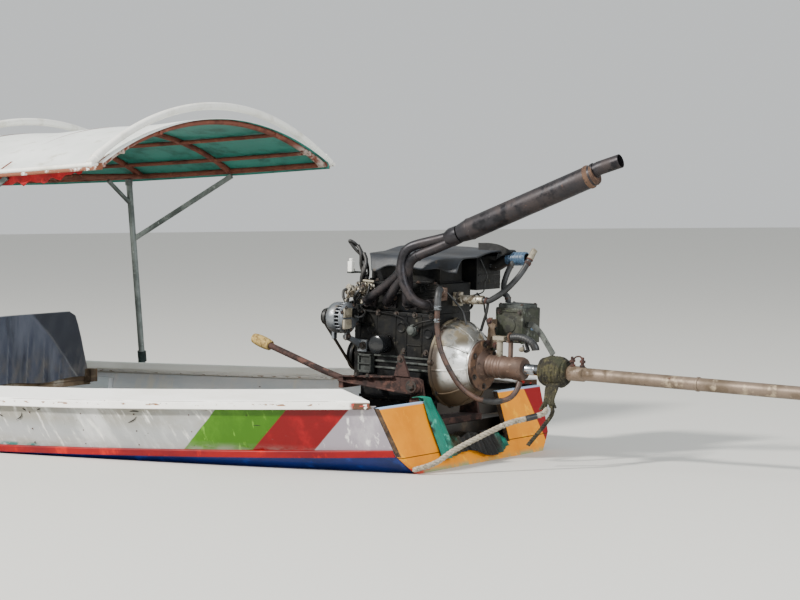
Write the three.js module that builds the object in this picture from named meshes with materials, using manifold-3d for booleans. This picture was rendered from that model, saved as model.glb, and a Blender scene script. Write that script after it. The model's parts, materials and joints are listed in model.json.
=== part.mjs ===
// A wooden longtail boat with a car engine on a swivel at the stern, in millimetres.
// +X points to the bow, +Y to port and +Z up. The origin is on the waterline amidships.
import * as THREE from "three";
import { mergeVertices } from "three/addons/utils/BufferGeometryUtils.js";
import Module from "manifold-3d";

const wasm = await Module();
wasm.setup();

// Gaps between touching pieces
const SEAT_GAP = 0.4;
const PLANK_GAP = 1.2;
const TWIST_GAP = 1.8;

// Hull stations: how far the section leans aft for each millimetre below its sheer is the rake
const STATION_COLUMNS = ["x", "sheerY", "sheerZ", "chineY", "chineZ", "bottomY", "bottomZ", "rake"];
const STATIONS = [
  [-4500, 600, 262, 550, 70, 392, -62, 0.36],
  [-3700, 700, 236, 648, 38, 470, -108, 0.1],
  [-2750, 768, 212, 722, 12, 545, -138, 0],
  [-1400, 822, 200, 775, -4, 600, -155, 0],
  [200, 830, 212, 775, -6, 590, -158, 0],
  [1700, 765, 262, 690, 22, 490, -138, 0],
  [2900, 590, 352, 490, 112, 300, -72, 0.1],
  [3800, 330, 492, 240, 262, 120, 70, 0.45],
  [4330, 105, 640, 66, 450, 34, 290, 0.9],
];
const HULL_SECTION_COUNT = 25;
const PLANK = 22;
const TRANSOM_THICK = 25;
const NOTCH_TOP_Y = 258;
const NOTCH_BOTTOM_Y = 235;
const NOTCH_SILL_Z = 60;
const BOW_TIP_X = 4500;
const BOW_TIP_RISE = 95;

// Gunwale caps and chine rails
const CAP_OUTSIDE = 22;
const CAP_WIDTH = 122;
const CAP_CANT = 0.325;
const CAP_THICK = 36;
const CAP_STERN_CUT = 200;
const CAP_BOW_X = 4300;
const RAIL_OUT = 16;
const RAIL_HIGH = 28;

// Floor timbers, floorboards and risers
const TIMBER_FIRST_X = -3900;
const TIMBER_PITCH = 600;
const TIMBER_COUNT = 11;
const TIMBER_WIDE = 42;
const TIMBER_DEEP = 45;
const TIMBER_BELOW_SHEER = 100;
const KEELSON_WIDE = 90;
const FLOOR_X = [-3960, 2140];
const FLOOR_THICK = 18;
const FLOOR_INSET = 30;
const RISER_X = [-1980, 1760];
const RISER_DEEP = 62;
const RISER_THICK = 30;
const RISER_BELOW_SHEER = 14;
const FOREDECK_X = [2960, 4250];
const FOREDECK_THICK = 20;

// Seats: the places are the back edges of the seat boards
const SEAT_X = [-2040, -940, 160];
const SEAT_TOP_Z = 196;
const SEAT_DEPTH = 380;
const SEAT_HALF = 540;
const SEAT_BOARD = 22;
const SEAT_LEG_Y = 330;
const SEAT_BACK_TOP_Z = 530;
const SEAT_BACK_TOP_HALF = 385;
const SEAT_BACK_LEAN = 30;
const SEAT_BACK_THICK = 18;
const CLOTH_LOW_Z = 203;
const CLOTH_PORT_Y = 430;
const CLOTH_THICK = 6;

// Canopy
const ARCH_FIRST_X = -3270;
const ARCH_PITCH = 540;
const ARCH_COUNT = 10;
const ARCH_HALF = 765;
const ARCH_RISE = 185;
const EAVE_MID_Z = 1152;
const EAVE_END_LIFT = 62;
const PIPE_R = 13;
const FIVE_SIDED_REACH = Math.sin(0.6 * Math.PI);
const PURLIN_Y = [400, 640];
const SHEET_LIFT = 12.4;
const SHEET_THICK = 5;
const HOOP_EVERY = 2;
const HOOP_HALF = 830;
const HOOP_RISE = 250;
const HOOP_R = 16.5;
const HOOP_RAIL_R = 9;
const POST_ARCHES = [2, 5, 8];
const POST_R = 15;
const POST_IN = 48;
const POST_TOP_Y = 668;
const BRACE_R = 9;

// Swivel and engine places: the tilt axis and the steering axis cross here
const SWIVEL_X = -4430;
const TILT_Z = 315;
const REST_SLOPE_DEG = 2.3;
const BEAM_X = [-4480, -4380];
const BEAM_Z = [70, 150];
const PINTLE_R = 24;
const YOKE_ARM_Y = [184, 198];
const YOKE_PLATE = 25;
const TRUNNION_R = 11;
const CRADLE_Y = [208, 232];

// Engine sizes, from the tilt axis: x forward along the crank, y to port, z up
const CRANK_Z = 82;
const BLOCK_X = [-36, 335];
const BLOCK_HALF = 130;
const BLOCK_Z = [-75, 285];
const BLOCK_LEDGES_Z = [50, 76, 98];
const PAN_X = [95, 330];
const PAN_Z = -128;
const HEAD_TOP_Z = 405;
const ROCKER_TOP_Z = 506;
const INTAKE_TOP_Z = 530;
const PORT_FIRST_X = 285;
const PORT_PITCH = 101;
const PORT_Z = 322;
const STUB_END = [-175, -10, 344];
const OUTLET_TOP_Z = 386;
const BELT_X = [424, 436];
const CRANK_PULLEY_R = 66;
const PUMP_PULLEY = { y: 0, z: 262, r: 52 };
const ALTERNATOR = { y: 218, z: 252, r: 64, pulley: 34 };
const BELL_R = 178;
const NECK_END_X = -385;
const NECK_R = 44;
const NECK_RIBS_X = [-218, -246, -274];
const SHAFT_R = 22;
const WRAP_X = [-582, -462];
const WRAP_R = 64;
const TUBE_X = [-3280, -530];
const TUBE_R = 25.5;
const SLEEVE_X = [-586, -660];
const SLEEVE_R = 30;
const PUMP_TOP_Z = 332;
const PROPELLER_R = 150;
const PROPELLER_HUB_R = 24;
const SILENCER_FROM = [-182, 185, 618];
const SILENCER_TO = [-765, 150, 868];
const SILENCER_R = 44;
const COLLECTOR_R = 36;
const HEADER_R = 20;

// Tarpaulin over the notch: flat on the sill, and up over the notch's port edge
const TARP_ROWS_Y = [-190, -120, -40, 60, 130, 175, 210, 238, 262, 300];
const TARP_RISE_Y = [170, 262];
const TARP_RISE = 206;

// Mooring rope from the transom's port corner to the tail of the wrap
const ROPE_R = 12;
const ROPE_POINTS = [
  [-4615.4, 498, 18],
  [-4636, 497, 24.5],
  [-4660, 482, 32],
  [-4694, 450, 50],
  [-4742, 408, 92],
  [-4812, 340, 140],
  [-4890, 262, 188],
  [-4948, 205, 208],
  [-4982, 168, 219],
  [-4994, 144, 229],
  [-4990, 127, 238.5],
];

// Basic solids

function solidFrom(geometry) {
  const plain = geometry.index ? geometry.toNonIndexed() : geometry.clone();
  for (const name of Object.keys(plain.attributes)) {
    if (name !== "position") plain.deleteAttribute(name);
  }
  const merged = mergeVertices(plain, 1e-3);
  const triVerts = new Uint32Array(merged.index.array);
  const vertProperties = new Float32Array(merged.attributes.position.array);
  return new wasm.Manifold(new wasm.Mesh({ numProp: 3, vertProperties, triVerts }));
}

function geometryFrom(solid) {
  const mesh = solid.getMesh();
  const position = new THREE.BufferAttribute(new Float32Array(mesh.vertProperties), 3);
  const geometry = new THREE.BufferGeometry().setAttribute("position", position);
  return geometry.setIndex(new THREE.BufferAttribute(new Uint32Array(mesh.triVerts), 1));
}

function union(geometries) {
  const [first, ...rest] = geometries.map(solidFrom);
  return geometryFrom(rest.reduce((sum, solid) => sum.add(solid), first));
}

function cut(geometry, ...tools) {
  const start = solidFrom(geometry);
  return geometryFrom(tools.reduce((left, tool) => left.subtract(solidFrom(tool)), start));
}

function meshGeometry(points, triangles) {
  // The signed volume says which way the faces point, and they are turned to point out
  const volume = triangles.reduce((sum, [a, b, c]) => {
    const [p, q, r] = [points[a], points[b], points[c]].map((v) => new THREE.Vector3(...v));
    return sum + p.dot(q.cross(r));
  }, 0);
  const faces = volume < 0 ? triangles.map(([a, b, c]) => [a, c, b]) : triangles;
  const geometry = new THREE.BufferGeometry();
  geometry.setAttribute("position", new THREE.Float32BufferAttribute(points.flat(), 3));
  return geometry.setIndex(faces.flat());
}

function flatTriangles(ring) {
  // A cap is cut into triangles in the plane that shows the ring largest
  const area = (i, j) =>
    Math.abs(ring.reduce((sum, p, k) => {
      const q = ring[(k + 1) % ring.length];
      return sum + p[i] * q[j] - p[j] * q[i];
    }, 0));
  const planes = [[1, 2], [0, 2], [0, 1]];
  const [i, j] = planes.sort((a, b) => area(...b) - area(...a))[0];
  const contour = ring.map((p) => new THREE.Vector2(p[i], p[j]));
  return THREE.ShapeUtils.triangulateShape(contour, []);
}

function loft(rings) {
  // Rings of equally many points, joined in order and closed with a cap at both ends
  const count = rings[0].length;
  const triangles = [];
  for (let ring = 0; ring + 1 < rings.length; ring += 1) {
    for (let k = 0; k < count; k += 1) {
      const a = ring * count + k;
      const b = ring * count + ((k + 1) % count);
      triangles.push([a, b, a + count], [b, b + count, a + count]);
    }
  }
  const last = (rings.length - 1) * count;
  for (const [a, b, c] of flatTriangles(rings[0])) triangles.push([c, b, a]);
  for (const [a, b, c] of flatTriangles(rings.at(-1))) triangles.push([last + a, last + b, last + c]);
  const points = rings.flat();
  return windingChecked(points, triangles, count, rings.length);
}

function windingChecked(points, triangles, count, ringCount) {
  // The sides and the caps must agree: a cap whose edge runs the same way as the side's is turned
  const sideEdges = new Set();
  const sideFaces = 2 * count * (ringCount - 1);
  for (const [a, b, c] of triangles.slice(0, sideFaces)) {
    for (const edge of [[a, b], [b, c], [c, a]]) sideEdges.add(edge.join());
  }
  const capSize = (triangles.length - sideFaces) / 2;
  const caps = [triangles.slice(sideFaces, sideFaces + capSize), triangles.slice(sideFaces + capSize)];
  const turned = caps.flatMap((cap) => {
    const clash = cap.some(([a, b, c]) => [[a, b], [b, c], [c, a]].some((e) => sideEdges.has(e.join())));
    return clash ? cap.map(([a, b, c]) => [a, c, b]) : cap;
  });
  return meshGeometry(points, [...triangles.slice(0, sideFaces), ...turned]);
}

function box(x, y, z) {
  const geometry = new THREE.BoxGeometry(x[1] - x[0], y[1] - y[0], z[1] - z[0]);
  return geometry.translate((x[0] + x[1]) / 2, (y[0] + y[1]) / 2, (z[0] + z[1]) / 2);
}

function pipe(points, radius, sides = 6) {
  // A straight-segmented pipe whose rings stand across the mean direction at each point
  const places = points.map((p) => new THREE.Vector3(...p));
  const directions = places.map((p, k) => {
    const before = places[Math.max(k - 1, 0)];
    const after = places[Math.min(k + 1, places.length - 1)];
    return after.clone().sub(before).normalize();
  });
  const first = directions[0];
  let side = new THREE.Vector3(0, 0, 1);
  if (Math.abs(first.z) > 0.9) side.set(0, 1, 0);
  const rings = places.map((place, k) => {
    const along = directions[k];
    side = side.clone().addScaledVector(along, -side.dot(along)).normalize();
    const across = along.clone().cross(side);
    const r = Array.isArray(radius) ? radius[k] : radius;
    return Array.from({ length: sides }, (_, n) => {
      const turn = ((n + 0.5) / sides) * 2 * Math.PI;
      const point = place.clone().addScaledVector(side, r * Math.cos(turn));
      return point.addScaledVector(across, r * Math.sin(turn)).toArray();
    });
  });
  return loft(rings);
}

function bend(points, steps) {
  // Evenly spaced places on a smooth curve through the points
  const places = points.map((p) => new THREE.Vector3(...p));
  const curve = new THREE.CatmullRomCurve3(places, false, "centripetal");
  return curve.getSpacedPoints(steps).map((p) => p.toArray());
}

function hose(points, radius, sides = 8, steps = 16) {
  return pipe(bend(points, steps), radius, sides);
}

function squareEndedHose(points, radius, sides = 8, steps = 12) {
  // A hose whose first and last stretches stay straight, so that its ends stand square
  return pipe([points[0], ...bend(points.slice(1, -1), steps), points.at(-1)], radius, sides);
}

function turnedAlongX(profile, sides = 20) {
  // A lathe profile of [x, radius] pairs from axis to axis, turned about the X axis
  const outline = profile.map(([x, r]) => new THREE.Vector2(r, x));
  const geometry = new THREE.LatheGeometry(outline, sides);
  geometry.rotateZ(-Math.PI / 2);
  const solid = solidFrom(geometry);
  return solid.volume() < 0 ? flipped(geometry) : geometryFrom(solid);
}

function flipped(geometry) {
  const merged = mergeVertices(onlyPositions(geometry), 1e-3);
  const index = Array.from(merged.index.array);
  for (let i = 0; i < index.length; i += 3) [index[i + 1], index[i + 2]] = [index[i + 2], index[i + 1]];
  return merged.setIndex(index);
}

function onlyPositions(geometry) {
  const plain = geometry.index ? geometry.toNonIndexed() : geometry.clone();
  for (const name of Object.keys(plain.attributes)) {
    if (name !== "position") plain.deleteAttribute(name);
  }
  return plain;
}

function mirrored(geometry) {
  return flipped(onlyPositions(geometry).scale(1, -1, 1));
}

function plate(outline, thicknessY) {
  // An outline of [x, z] points, given thickness along Y
  return loft(thicknessY.map((y) => outline.map(([x, z]) => [x, y, z])));
}

// Hull lines

function stationAt(t) {
  // Cubic through the stations, with t counting stations from the transom
  const k = Math.min(Math.floor(t), STATIONS.length - 2);
  const u = t - k;
  const rows = [k - 1, k, k + 1, k + 2].map((i) => STATIONS[Math.min(Math.max(i, 0), STATIONS.length - 1)]);
  const station = {};
  STATION_COLUMNS.forEach((name, c) => {
    const [a, b, d, e] = rows.map((row) => row[c]);
    const edge = k === 0 || k === STATIONS.length - 2;
    const m0 = k === 0 ? d - b : (d - a) / 2;
    const m1 = k === STATIONS.length - 2 ? d - b : (e - b) / 2;
    const cubic = (2 * b - 2 * d + m0 + m1) * u ** 3 + (-3 * b + 3 * d - 2 * m0 - m1) * u ** 2 + m0 * u + b;
    station[name] = edge && name === "rake" ? b + (d - b) * u : cubic;
  });
  return station;
}

const SECTIONS = Array.from({ length: HULL_SECTION_COUNT }, (_, i) =>
  stationAt((i / (HULL_SECTION_COUNT - 1)) * (STATIONS.length - 1)),
);

function offsetCorner(before, corner, after, depth) {
  // The corner of two lines of the section, both moved inwards by the depth
  const first = corner.clone().sub(before).normalize();
  const second = after.clone().sub(corner).normalize();
  const normal = new THREE.Vector2(-first.y, first.x).add(new THREE.Vector2(-second.y, second.x)).normalize();
  const share = normal.dot(new THREE.Vector2(-first.y, first.x));
  return corner.clone().addScaledVector(normal, depth / share);
}

function sectionLine(station, depth) {
  // Centre, bottom corner, chine and sheer on the port side, moved inwards by the depth
  const centre = new THREE.Vector2(0, station.bottomZ);
  const bottom = new THREE.Vector2(station.bottomY, station.bottomZ);
  const chine = new THREE.Vector2(station.chineY, station.chineZ);
  const sheer = new THREE.Vector2(station.sheerY, station.sheerZ);
  const beyond = sheer.clone().add(sheer.clone().sub(chine));
  const before = new THREE.Vector2(-station.bottomY, station.bottomZ);
  return [
    offsetCorner(before, centre, bottom, depth),
    offsetCorner(centre, bottom, chine, depth),
    offsetCorner(bottom, chine, sheer, depth),
    offsetCorner(chine, sheer, beyond, depth),
  ];
}

function onStation(station, point) {
  return [station.x - station.rake * (station.sheerZ - point.y), point.x, point.y];
}

function sectionBetween(x) {
  // The hull section where the unraked station reaches x, straight between the lofted sections
  const k = Math.max(0, Math.min(SECTIONS.findIndex((s) => s.x > x) - 1, SECTIONS.length - 2));
  const at = x >= SECTIONS.at(-1).x ? SECTIONS.length - 2 : k;
  const u = (x - SECTIONS[at].x) / (SECTIONS[at + 1].x - SECTIONS[at].x);
  return Object.fromEntries(
    STATION_COLUMNS.map((name) => {
      const [before, after] = [SECTIONS[at][name], SECTIONS[at + 1][name]];
      return [name, before + u * (after - before)];
    }),
  );
}

function stationThrough(x, z) {
  // The raked station that passes through this x at this height
  let station = sectionBetween(x);
  for (let step = 0; step < 6; step += 1) {
    station = sectionBetween(x + station.rake * (station.sheerZ - z));
  }
  return station;
}

function uprightLine(x, depth) {
  // The section's corners where the hull crosses an upright plane at this x
  return [0, 1, 2, 3].map((corner) => {
    let station = sectionBetween(x);
    for (let step = 0; step < 6; step += 1) {
      const z = sectionLine(station, depth)[corner].y;
      station = sectionBetween(x + station.rake * (station.sheerZ - z));
    }
    return sectionLine(station, depth)[corner];
  });
}

function halfWidth(x, z, depth) {
  const line = sectionLine(stationThrough(x, z), depth);
  for (let k = 0; k + 1 < line.length; k += 1) {
    const [low, high] = [line[k], line[k + 1]];
    if (z <= high.y || k === line.length - 2) {
      const u = high.y === low.y ? 1 : (z - low.y) / (high.y - low.y);
      return low.x + u * (high.x - low.x);
    }
  }
  return line.at(-1).x;
}

// Hull planks

function bilgePlank() {
  const rings = SECTIONS.map((station) => {
    const [, outerLow, outerHigh] = sectionLine(station, 0);
    const [, innerLow, innerHigh] = sectionLine(station, PLANK);
    const along = outerHigh.clone().sub(outerLow).normalize().multiplyScalar(PLANK_GAP / 2);
    const ring = [outerLow.add(along), outerHigh.sub(along), innerHigh.sub(along), innerLow.add(along)];
    return ring.map((point) => onStation(station, point));
  });
  return loft(rings);
}

function sidePlank() {
  // The top edge is planed to the slope of the gunwale cap that lies on it
  const rings = SECTIONS.map((station) => {
    const [, , outerLow, outerHigh] = sectionLine(station, 0);
    const [, , innerLow, innerHigh] = sectionLine(station, PLANK);
    const up = outerHigh.clone().sub(outerLow).normalize();
    const capAt = outerHigh.y + (outerHigh.x - innerHigh.x) * CAP_CANT;
    innerHigh.addScaledVector(up, (capAt - innerHigh.y) / (up.y + up.x * CAP_CANT));
    const along = up.clone().multiplyScalar(PLANK_GAP / 2);
    const ring = [outerHigh.sub(along), outerLow.add(along), innerLow.add(along), innerHigh.sub(along)];
    return ring.map((point) => onStation(station, point));
  });
  return loft(rings);
}

function bottomPlank() {
  const rings = SECTIONS.map((station) => {
    const outer = station.bottomY - 1.3 * PLANK_GAP;
    const inner = sectionLine(station, PLANK)[1].x - 1.3 * PLANK_GAP;
    const z = station.bottomZ;
    const corners = [[-outer, z], [outer, z], [inner, z + PLANK], [-inner, z + PLANK]];
    return corners.map(([y, height]) => onStation(station, new THREE.Vector2(y, height)));
  });
  return loft(rings);
}

function transom() {
  const stern = SECTIONS[0];
  const half = [
    [stern.bottomY, stern.bottomZ],
    [stern.chineY, stern.chineZ],
    [stern.sheerY, stern.sheerZ],
    [NOTCH_TOP_Y, stern.sheerZ],
    [NOTCH_BOTTOM_Y, NOTCH_SILL_Z],
  ];
  const outline = [...half, ...half.map(([y, z]) => [-y, z]).reverse()];
  return loft([SEAT_GAP, TRANSOM_THICK].map((depth) =>
    outline.map(([y, z]) => [transomX(z) - depth, y, z]),
  ));
}

function transomX(z) {
  const stern = SECTIONS[0];
  return stern.x - stern.rake * (stern.sheerZ - z);
}

function bowBlock() {
  const last = SECTIONS.at(-1);
  const rings = [0, 1].map((u) => {
    const shrink = 1 - 0.82 * u;
    const lift = BOW_TIP_RISE * u;
    const half = [
      [last.bottomY * shrink, last.bottomZ + lift * 1.6],
      [last.chineY * shrink, last.chineZ + lift * 1.2],
      [last.sheerY * shrink, last.sheerZ + lift],
    ];
    const outline = [...half, ...half.map(([y, z]) => [-y, z]).reverse()];
    const shift = SEAT_GAP + u * (BOW_TIP_X - last.x);
    return outline.map(([y, z]) => {
      const [x] = onStation(last, new THREE.Vector2(y, z - lift));
      return [x + shift, y, z];
    });
  });
  return loft(rings);
}

// Gunwale caps and chine rails

function capLine(x) {
  // Outer lower edge of the cap above the sheer at this place
  const station = sectionBetween(x);
  const y = station.sheerY + CAP_OUTSIDE;
  return { y, z: station.sheerZ + SEAT_GAP - CAP_OUTSIDE * CAP_CANT };
}

function capRing(x, innerShift) {
  const edge = capLine(x);
  const inner = capLine(x + innerShift);
  const width = Math.min(CAP_WIDTH, inner.y - 12);
  const innerY = inner.y - width;
  const innerZ = inner.z + CAP_WIDTH * CAP_CANT;
  return [
    [x, edge.y, edge.z],
    [x, edge.y, edge.z + CAP_THICK],
    [x + innerShift, innerY, innerZ + CAP_THICK],
    [x + innerShift, innerY, innerZ],
  ];
}

function capTopZ(x, y) {
  const edge = capLine(x);
  return edge.z + CAP_THICK + (edge.y - y) * CAP_CANT;
}

function gunwaleCap() {
  const stern = SECTIONS[0].x;
  const places = SECTIONS.map((station) => station.x).filter((x) => x > stern + 250 && x < CAP_BOW_X - 60);
  const rings = [[stern, CAP_STERN_CUT], ...places.map((x) => [x, 0]), [CAP_BOW_X, 0]];
  return loft(rings.map(([x, shift]) => capRing(x, shift)));
}

function chineRail() {
  const rings = SECTIONS.slice(0, -1).map((station, k) => {
    const [, , chine, sheer] = sectionLine(station, 0);
    const up = sheer.clone().sub(chine).normalize();
    const out = new THREE.Vector2(up.y, -up.x);
    const low = chine.clone().addScaledVector(up, 1).addScaledVector(out, PLANK_GAP);
    const width = k === 0 ? RAIL_OUT * 0.4 : RAIL_OUT;
    const ring = [
      low,
      low.clone().addScaledVector(out, width),
      low.clone().addScaledVector(out, width).addScaledVector(up, RAIL_HIGH),
      low.clone().addScaledVector(up, RAIL_HIGH),
    ];
    return ring.map((point) => onStation(station, point));
  });
  return loft(rings);
}

// Inside of the hull

function floorTimber(x) {
  const rings = [x - TIMBER_WIDE / 2, x + TIMBER_WIDE / 2].map((place) => {
    const outer = uprightLine(place, PLANK + TWIST_GAP);
    const inner = uprightLine(place, PLANK + TWIST_GAP + TIMBER_DEEP);
    const top = sectionBetween(place).sheerZ - TIMBER_BELOW_SHEER;
    const cutLine = (line) => {
      const u = (top - line[2].y) / (line[3].y - line[2].y);
      return [line[1], line[2], line[2].clone().lerp(line[3], u)];
    };
    const half = [...cutLine(outer), ...cutLine(inner).reverse()];
    const points = half.map((p) => [place, p.x, p.y]);
    return [...points, ...points.map(([px, y, z]) => [px, -y, z]).reverse()];
  });
  return loft(rings);
}

function floorFrames() {
  const places = Array.from({ length: TIMBER_COUNT }, (_, k) => TIMBER_FIRST_X + k * TIMBER_PITCH);
  const keelsonX = [places[0], ...SECTIONS.map((s) => s.x), places.at(-1)]
    .filter((x) => x >= places[0] && x <= places.at(-1))
    .sort((a, b) => a - b);
  const keelson = loft(keelsonX.map((x) => {
    const z = uprightLine(x, PLANK + TWIST_GAP)[0].y;
    const half = KEELSON_WIDE / 2;
    return [[x, -half, z], [x, half, z], [x, half, z + TIMBER_DEEP - 2], [x, -half, z + TIMBER_DEEP - 2]];
  }));
  return union([keelson, ...places.map(floorTimber)]);
}

function floorZ(x) {
  return uprightLine(x, PLANK + TWIST_GAP + TIMBER_DEEP)[0].y + SEAT_GAP;
}

function floorboards() {
  const inside = SECTIONS.map((s) => s.x).filter((x) => x > FLOOR_X[0] && x < FLOOR_X[1]);
  return loft([FLOOR_X[0], ...inside, FLOOR_X[1]].map((x) => {
    const half = uprightLine(x, 0)[1].x - FLOOR_INSET;
    const z = floorZ(x);
    return [[x, -half, z], [x, half, z], [x, half, z + FLOOR_THICK], [x, -half, z + FLOOR_THICK]];
  }));
}

function riser() {
  const inside = SECTIONS.map((s) => s.x).filter((x) => x > RISER_X[0] && x < RISER_X[1]);
  return loft([RISER_X[0], ...inside, RISER_X[1]].map((x) => {
    const top = sectionBetween(x).sheerZ - RISER_BELOW_SHEER;
    const low = top - RISER_DEEP;
    return [
      [x, halfWidth(x, low, PLANK) - TWIST_GAP, low],
      [x, halfWidth(x, top, PLANK) - TWIST_GAP, top],
      [x, halfWidth(x, top, PLANK) - TWIST_GAP - RISER_THICK, top],
      [x, halfWidth(x, low, PLANK) - TWIST_GAP - RISER_THICK, low],
    ];
  }));
}

function foredeck() {
  const inside = SECTIONS.map((s) => s.x).filter((x) => x > FOREDECK_X[0] && x < FOREDECK_X[1]);
  return loft([FOREDECK_X[0], ...inside, FOREDECK_X[1]].map((x) => {
    const top = sectionBetween(x).sheerZ - 6;
    const low = top - FOREDECK_THICK;
    const half = halfWidth(x, low, PLANK) - 2 * PLANK_GAP;
    return [[x, -half, low], [x, half, low], [x, half, top], [x, -half, top]];
  }));
}

function engineBeam() {
  const gap = 1;
  const rings = [-1, 1].map((side) =>
    [[0, 0], [1, 0], [1, 1], [0, 1]].map(([i, j]) => {
      const [x, z] = [BEAM_X[i], BEAM_Z[j]];
      return [x, side * (halfWidth(x, z, PLANK) - gap), z];
    }),
  );
  const bore = new THREE.CylinderGeometry(PINTLE_R + 1, PINTLE_R + 1, 200, 20);
  bore.rotateX(Math.PI / 2).translate(SWIVEL_X, 0, BEAM_Z[0]);
  return cut(loft(rings), bore);
}

// Seats

function seat(x) {
  const floor = Math.max(floorZ(x), floorZ(x + SEAT_DEPTH)) + FLOOR_THICK + SEAT_GAP;
  const boardLow = SEAT_TOP_Z - SEAT_BOARD;
  const board = box([x, x + SEAT_DEPTH], [-SEAT_HALF, SEAT_HALF], [boardLow, SEAT_TOP_Z]);
  const legs = [-1, 1].map((side) => {
    const y = [side * SEAT_LEG_Y - SEAT_BOARD / 2, side * SEAT_LEG_Y + SEAT_BOARD / 2];
    return box([x + 30, x + SEAT_DEPTH - 40], y, [floor, boardLow + 2]);
  });
  const back = loft([seatBackRing(x, boardLow), seatBackRing(x + SEAT_BACK_THICK, boardLow)]);
  return union([board, ...legs, back]);
}

function seatBackRing(x, low, grow = 0) {
  // The back's outline from its low edge up: narrower at the top, its corners cut, leaning aft
  const foot = SEAT_TOP_Z - SEAT_BOARD;
  const top = SEAT_BACK_TOP_Z;
  const half = [[SEAT_HALF, low], [SEAT_BACK_TOP_HALF + 42, top - 60], [SEAT_BACK_TOP_HALF + 20, top - 16],
    [SEAT_BACK_TOP_HALF - 15, top + grow]];
  const outline = [...half, ...half.map(([y, z]) => [-y, z]).reverse()];
  return outline.map(([y, z]) => {
    const lean = (SEAT_BACK_LEAN * (z - foot)) / (top - foot);
    return [x - lean, y + Math.sign(y) * grow, z];
  });
}

function seatCloth() {
  // A cloth over the back of the rear seat and around its starboard corner, lying close on both faces
  const aft = SEAT_X[0];
  const front = aft + SEAT_BACK_THICK;
  const gap = 2 * SEAT_GAP;
  const reach = gap + CLOTH_THICK;
  const around = (grow) => loft([aft - grow, front + grow].map((x) => seatBackRing(x, CLOTH_LOW_Z, grow)));
  const outer = around(reach);
  const inner = around(gap);
  const below = inner.clone().translate(0, 0, -CLOTH_THICK);
  const portSide = box([aft - 200, front + 200], [CLOTH_PORT_Y, SEAT_HALF + 100], [0, SEAT_BACK_TOP_Z + 100]);
  return cut(outer, inner, below, portSide);
}

// Canopy

function archX(k) {
  return ARCH_FIRST_X + k * ARCH_PITCH;
}

function eaveZ(x) {
  const middle = (archX(0) + archX(ARCH_COUNT - 1)) / 2;
  const share = (x - middle) / (archX(0) - middle);
  return EAVE_MID_Z + EAVE_END_LIFT * share * share;
}

function arcHeight(y, half, rise) {
  // Height above the eave of a circle's arc with this half width and rise
  const radius = (half * half + rise * rise) / (2 * rise);
  return Math.sqrt(radius * radius - y * y) - (radius - rise);
}

function archPoints(x, half, rise, base, steps) {
  return Array.from({ length: steps + 1 }, (_, k) => {
    const y = half * Math.sin(((k / steps) * 2 - 1) * (Math.PI / 2) * 0.999);
    return [x, y, base + arcHeight(Math.min(Math.max(y, -half), half), half, rise)];
  });
}

function alongCanopy(y, z, radius, sides = 5) {
  const places = Array.from({ length: ARCH_COUNT }, (_, k) => archX(k));
  places[0] -= 22;
  places[ARCH_COUNT - 1] += 22;
  return pipe(places.map((x) => [x, y, eaveZ(x) + z]), radius, sides);
}

function canopyFrame() {
  const arches = Array.from({ length: ARCH_COUNT }, (_, k) =>
    pipe(archPoints(archX(k), ARCH_HALF, ARCH_RISE, eaveZ(archX(k)), 8), PIPE_R, 5),
  );
  const rails = [-1, 1].map((side) => alongCanopy(side * ARCH_HALF, 0, PIPE_R));
  const purlins = PURLIN_Y.flatMap((y) =>
    [-y, y].map((place) => alongCanopy(place, arcHeight(y, ARCH_HALF, ARCH_RISE) - 6, PIPE_R * 0.7, 4)),
  );
  const ties = POST_ARCHES.map((k) => {
    const x = archX(k);
    return pipe([[x, -ARCH_HALF, eaveZ(x)], [x, ARCH_HALF, eaveZ(x)]], PIPE_R);
  });
  return union([...arches, ...rails, ...purlins, ...ties]);
}

function canopySheet() {
  const steps = 14;
  const places = Array.from({ length: ARCH_COUNT }, (_, k) => archX(k));
  places[0] -= 30;
  places[ARCH_COUNT - 1] += 30;
  const rings = places.map((x) => {
    const layer = (lift) =>
      archPoints(x, ARCH_HALF + 4, ARCH_RISE, eaveZ(x) + lift, steps);
    return [...layer(SHEET_LIFT), ...layer(SHEET_LIFT + SHEET_THICK).reverse()];
  });
  return loft(rings);
}

function canopyHoops() {
  const stations = Array.from({ length: ARCH_COUNT }, (_, k) => k).filter((k) => k % HOOP_EVERY === 0);
  const hoops = stations.map((k) =>
    pipe(archPoints(archX(k), HOOP_HALF, HOOP_RISE, eaveZ(archX(k)) + 2, 10), HOOP_R, 6),
  );
  const rails = [-1, 1].map((side) => alongCanopy(side * HOOP_HALF, 0, HOOP_RAIL_R, 4));
  const spacers = stations.flatMap((k) =>
    [-1, 1].map((side) => {
      const x = archX(k);
      const inner = side * (ARCH_HALF + PIPE_R * FIVE_SIDED_REACH + SEAT_GAP);
      return pipe([[x, inner, eaveZ(x)], [x, side * HOOP_HALF, eaveZ(x)]], 7, 4);
    }),
  );
  return union([...hoops, ...rails, ...spacers]);
}

function post(k) {
  // A post on the port gunwale with a knee to the tie above it and a brace along the eave
  const x = archX(k);
  const footY = sectionBetween(x).sheerY - POST_IN;
  const foot = capTopZ(x, footY - POST_R) + SEAT_GAP + PLANK_GAP;
  const top = eaveZ(x) - PIPE_R - SEAT_GAP;
  const yAt = (z) => footY + ((POST_TOP_Y - footY) * (z - foot)) / (top - foot);
  const kneeZ = top - 120;
  const braceZ = top - 290;
  const braceX = x - 560;
  const braceTop = eaveZ(braceX) - PIPE_R - BRACE_R;
  const shaft = pipe([[x, footY, foot], [x, POST_TOP_Y, top]], POST_R, 8);
  const knee = pipe([[x, yAt(kneeZ), kneeZ], [x, POST_TOP_Y - 150, top - BRACE_R * 0.7]], BRACE_R);
  const brace = pipe([[x, yAt(braceZ), braceZ], [braceX, ARCH_HALF - 8, braceTop]], BRACE_R);
  return union([shaft, knee, brace]);
}

// Swivel

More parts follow.
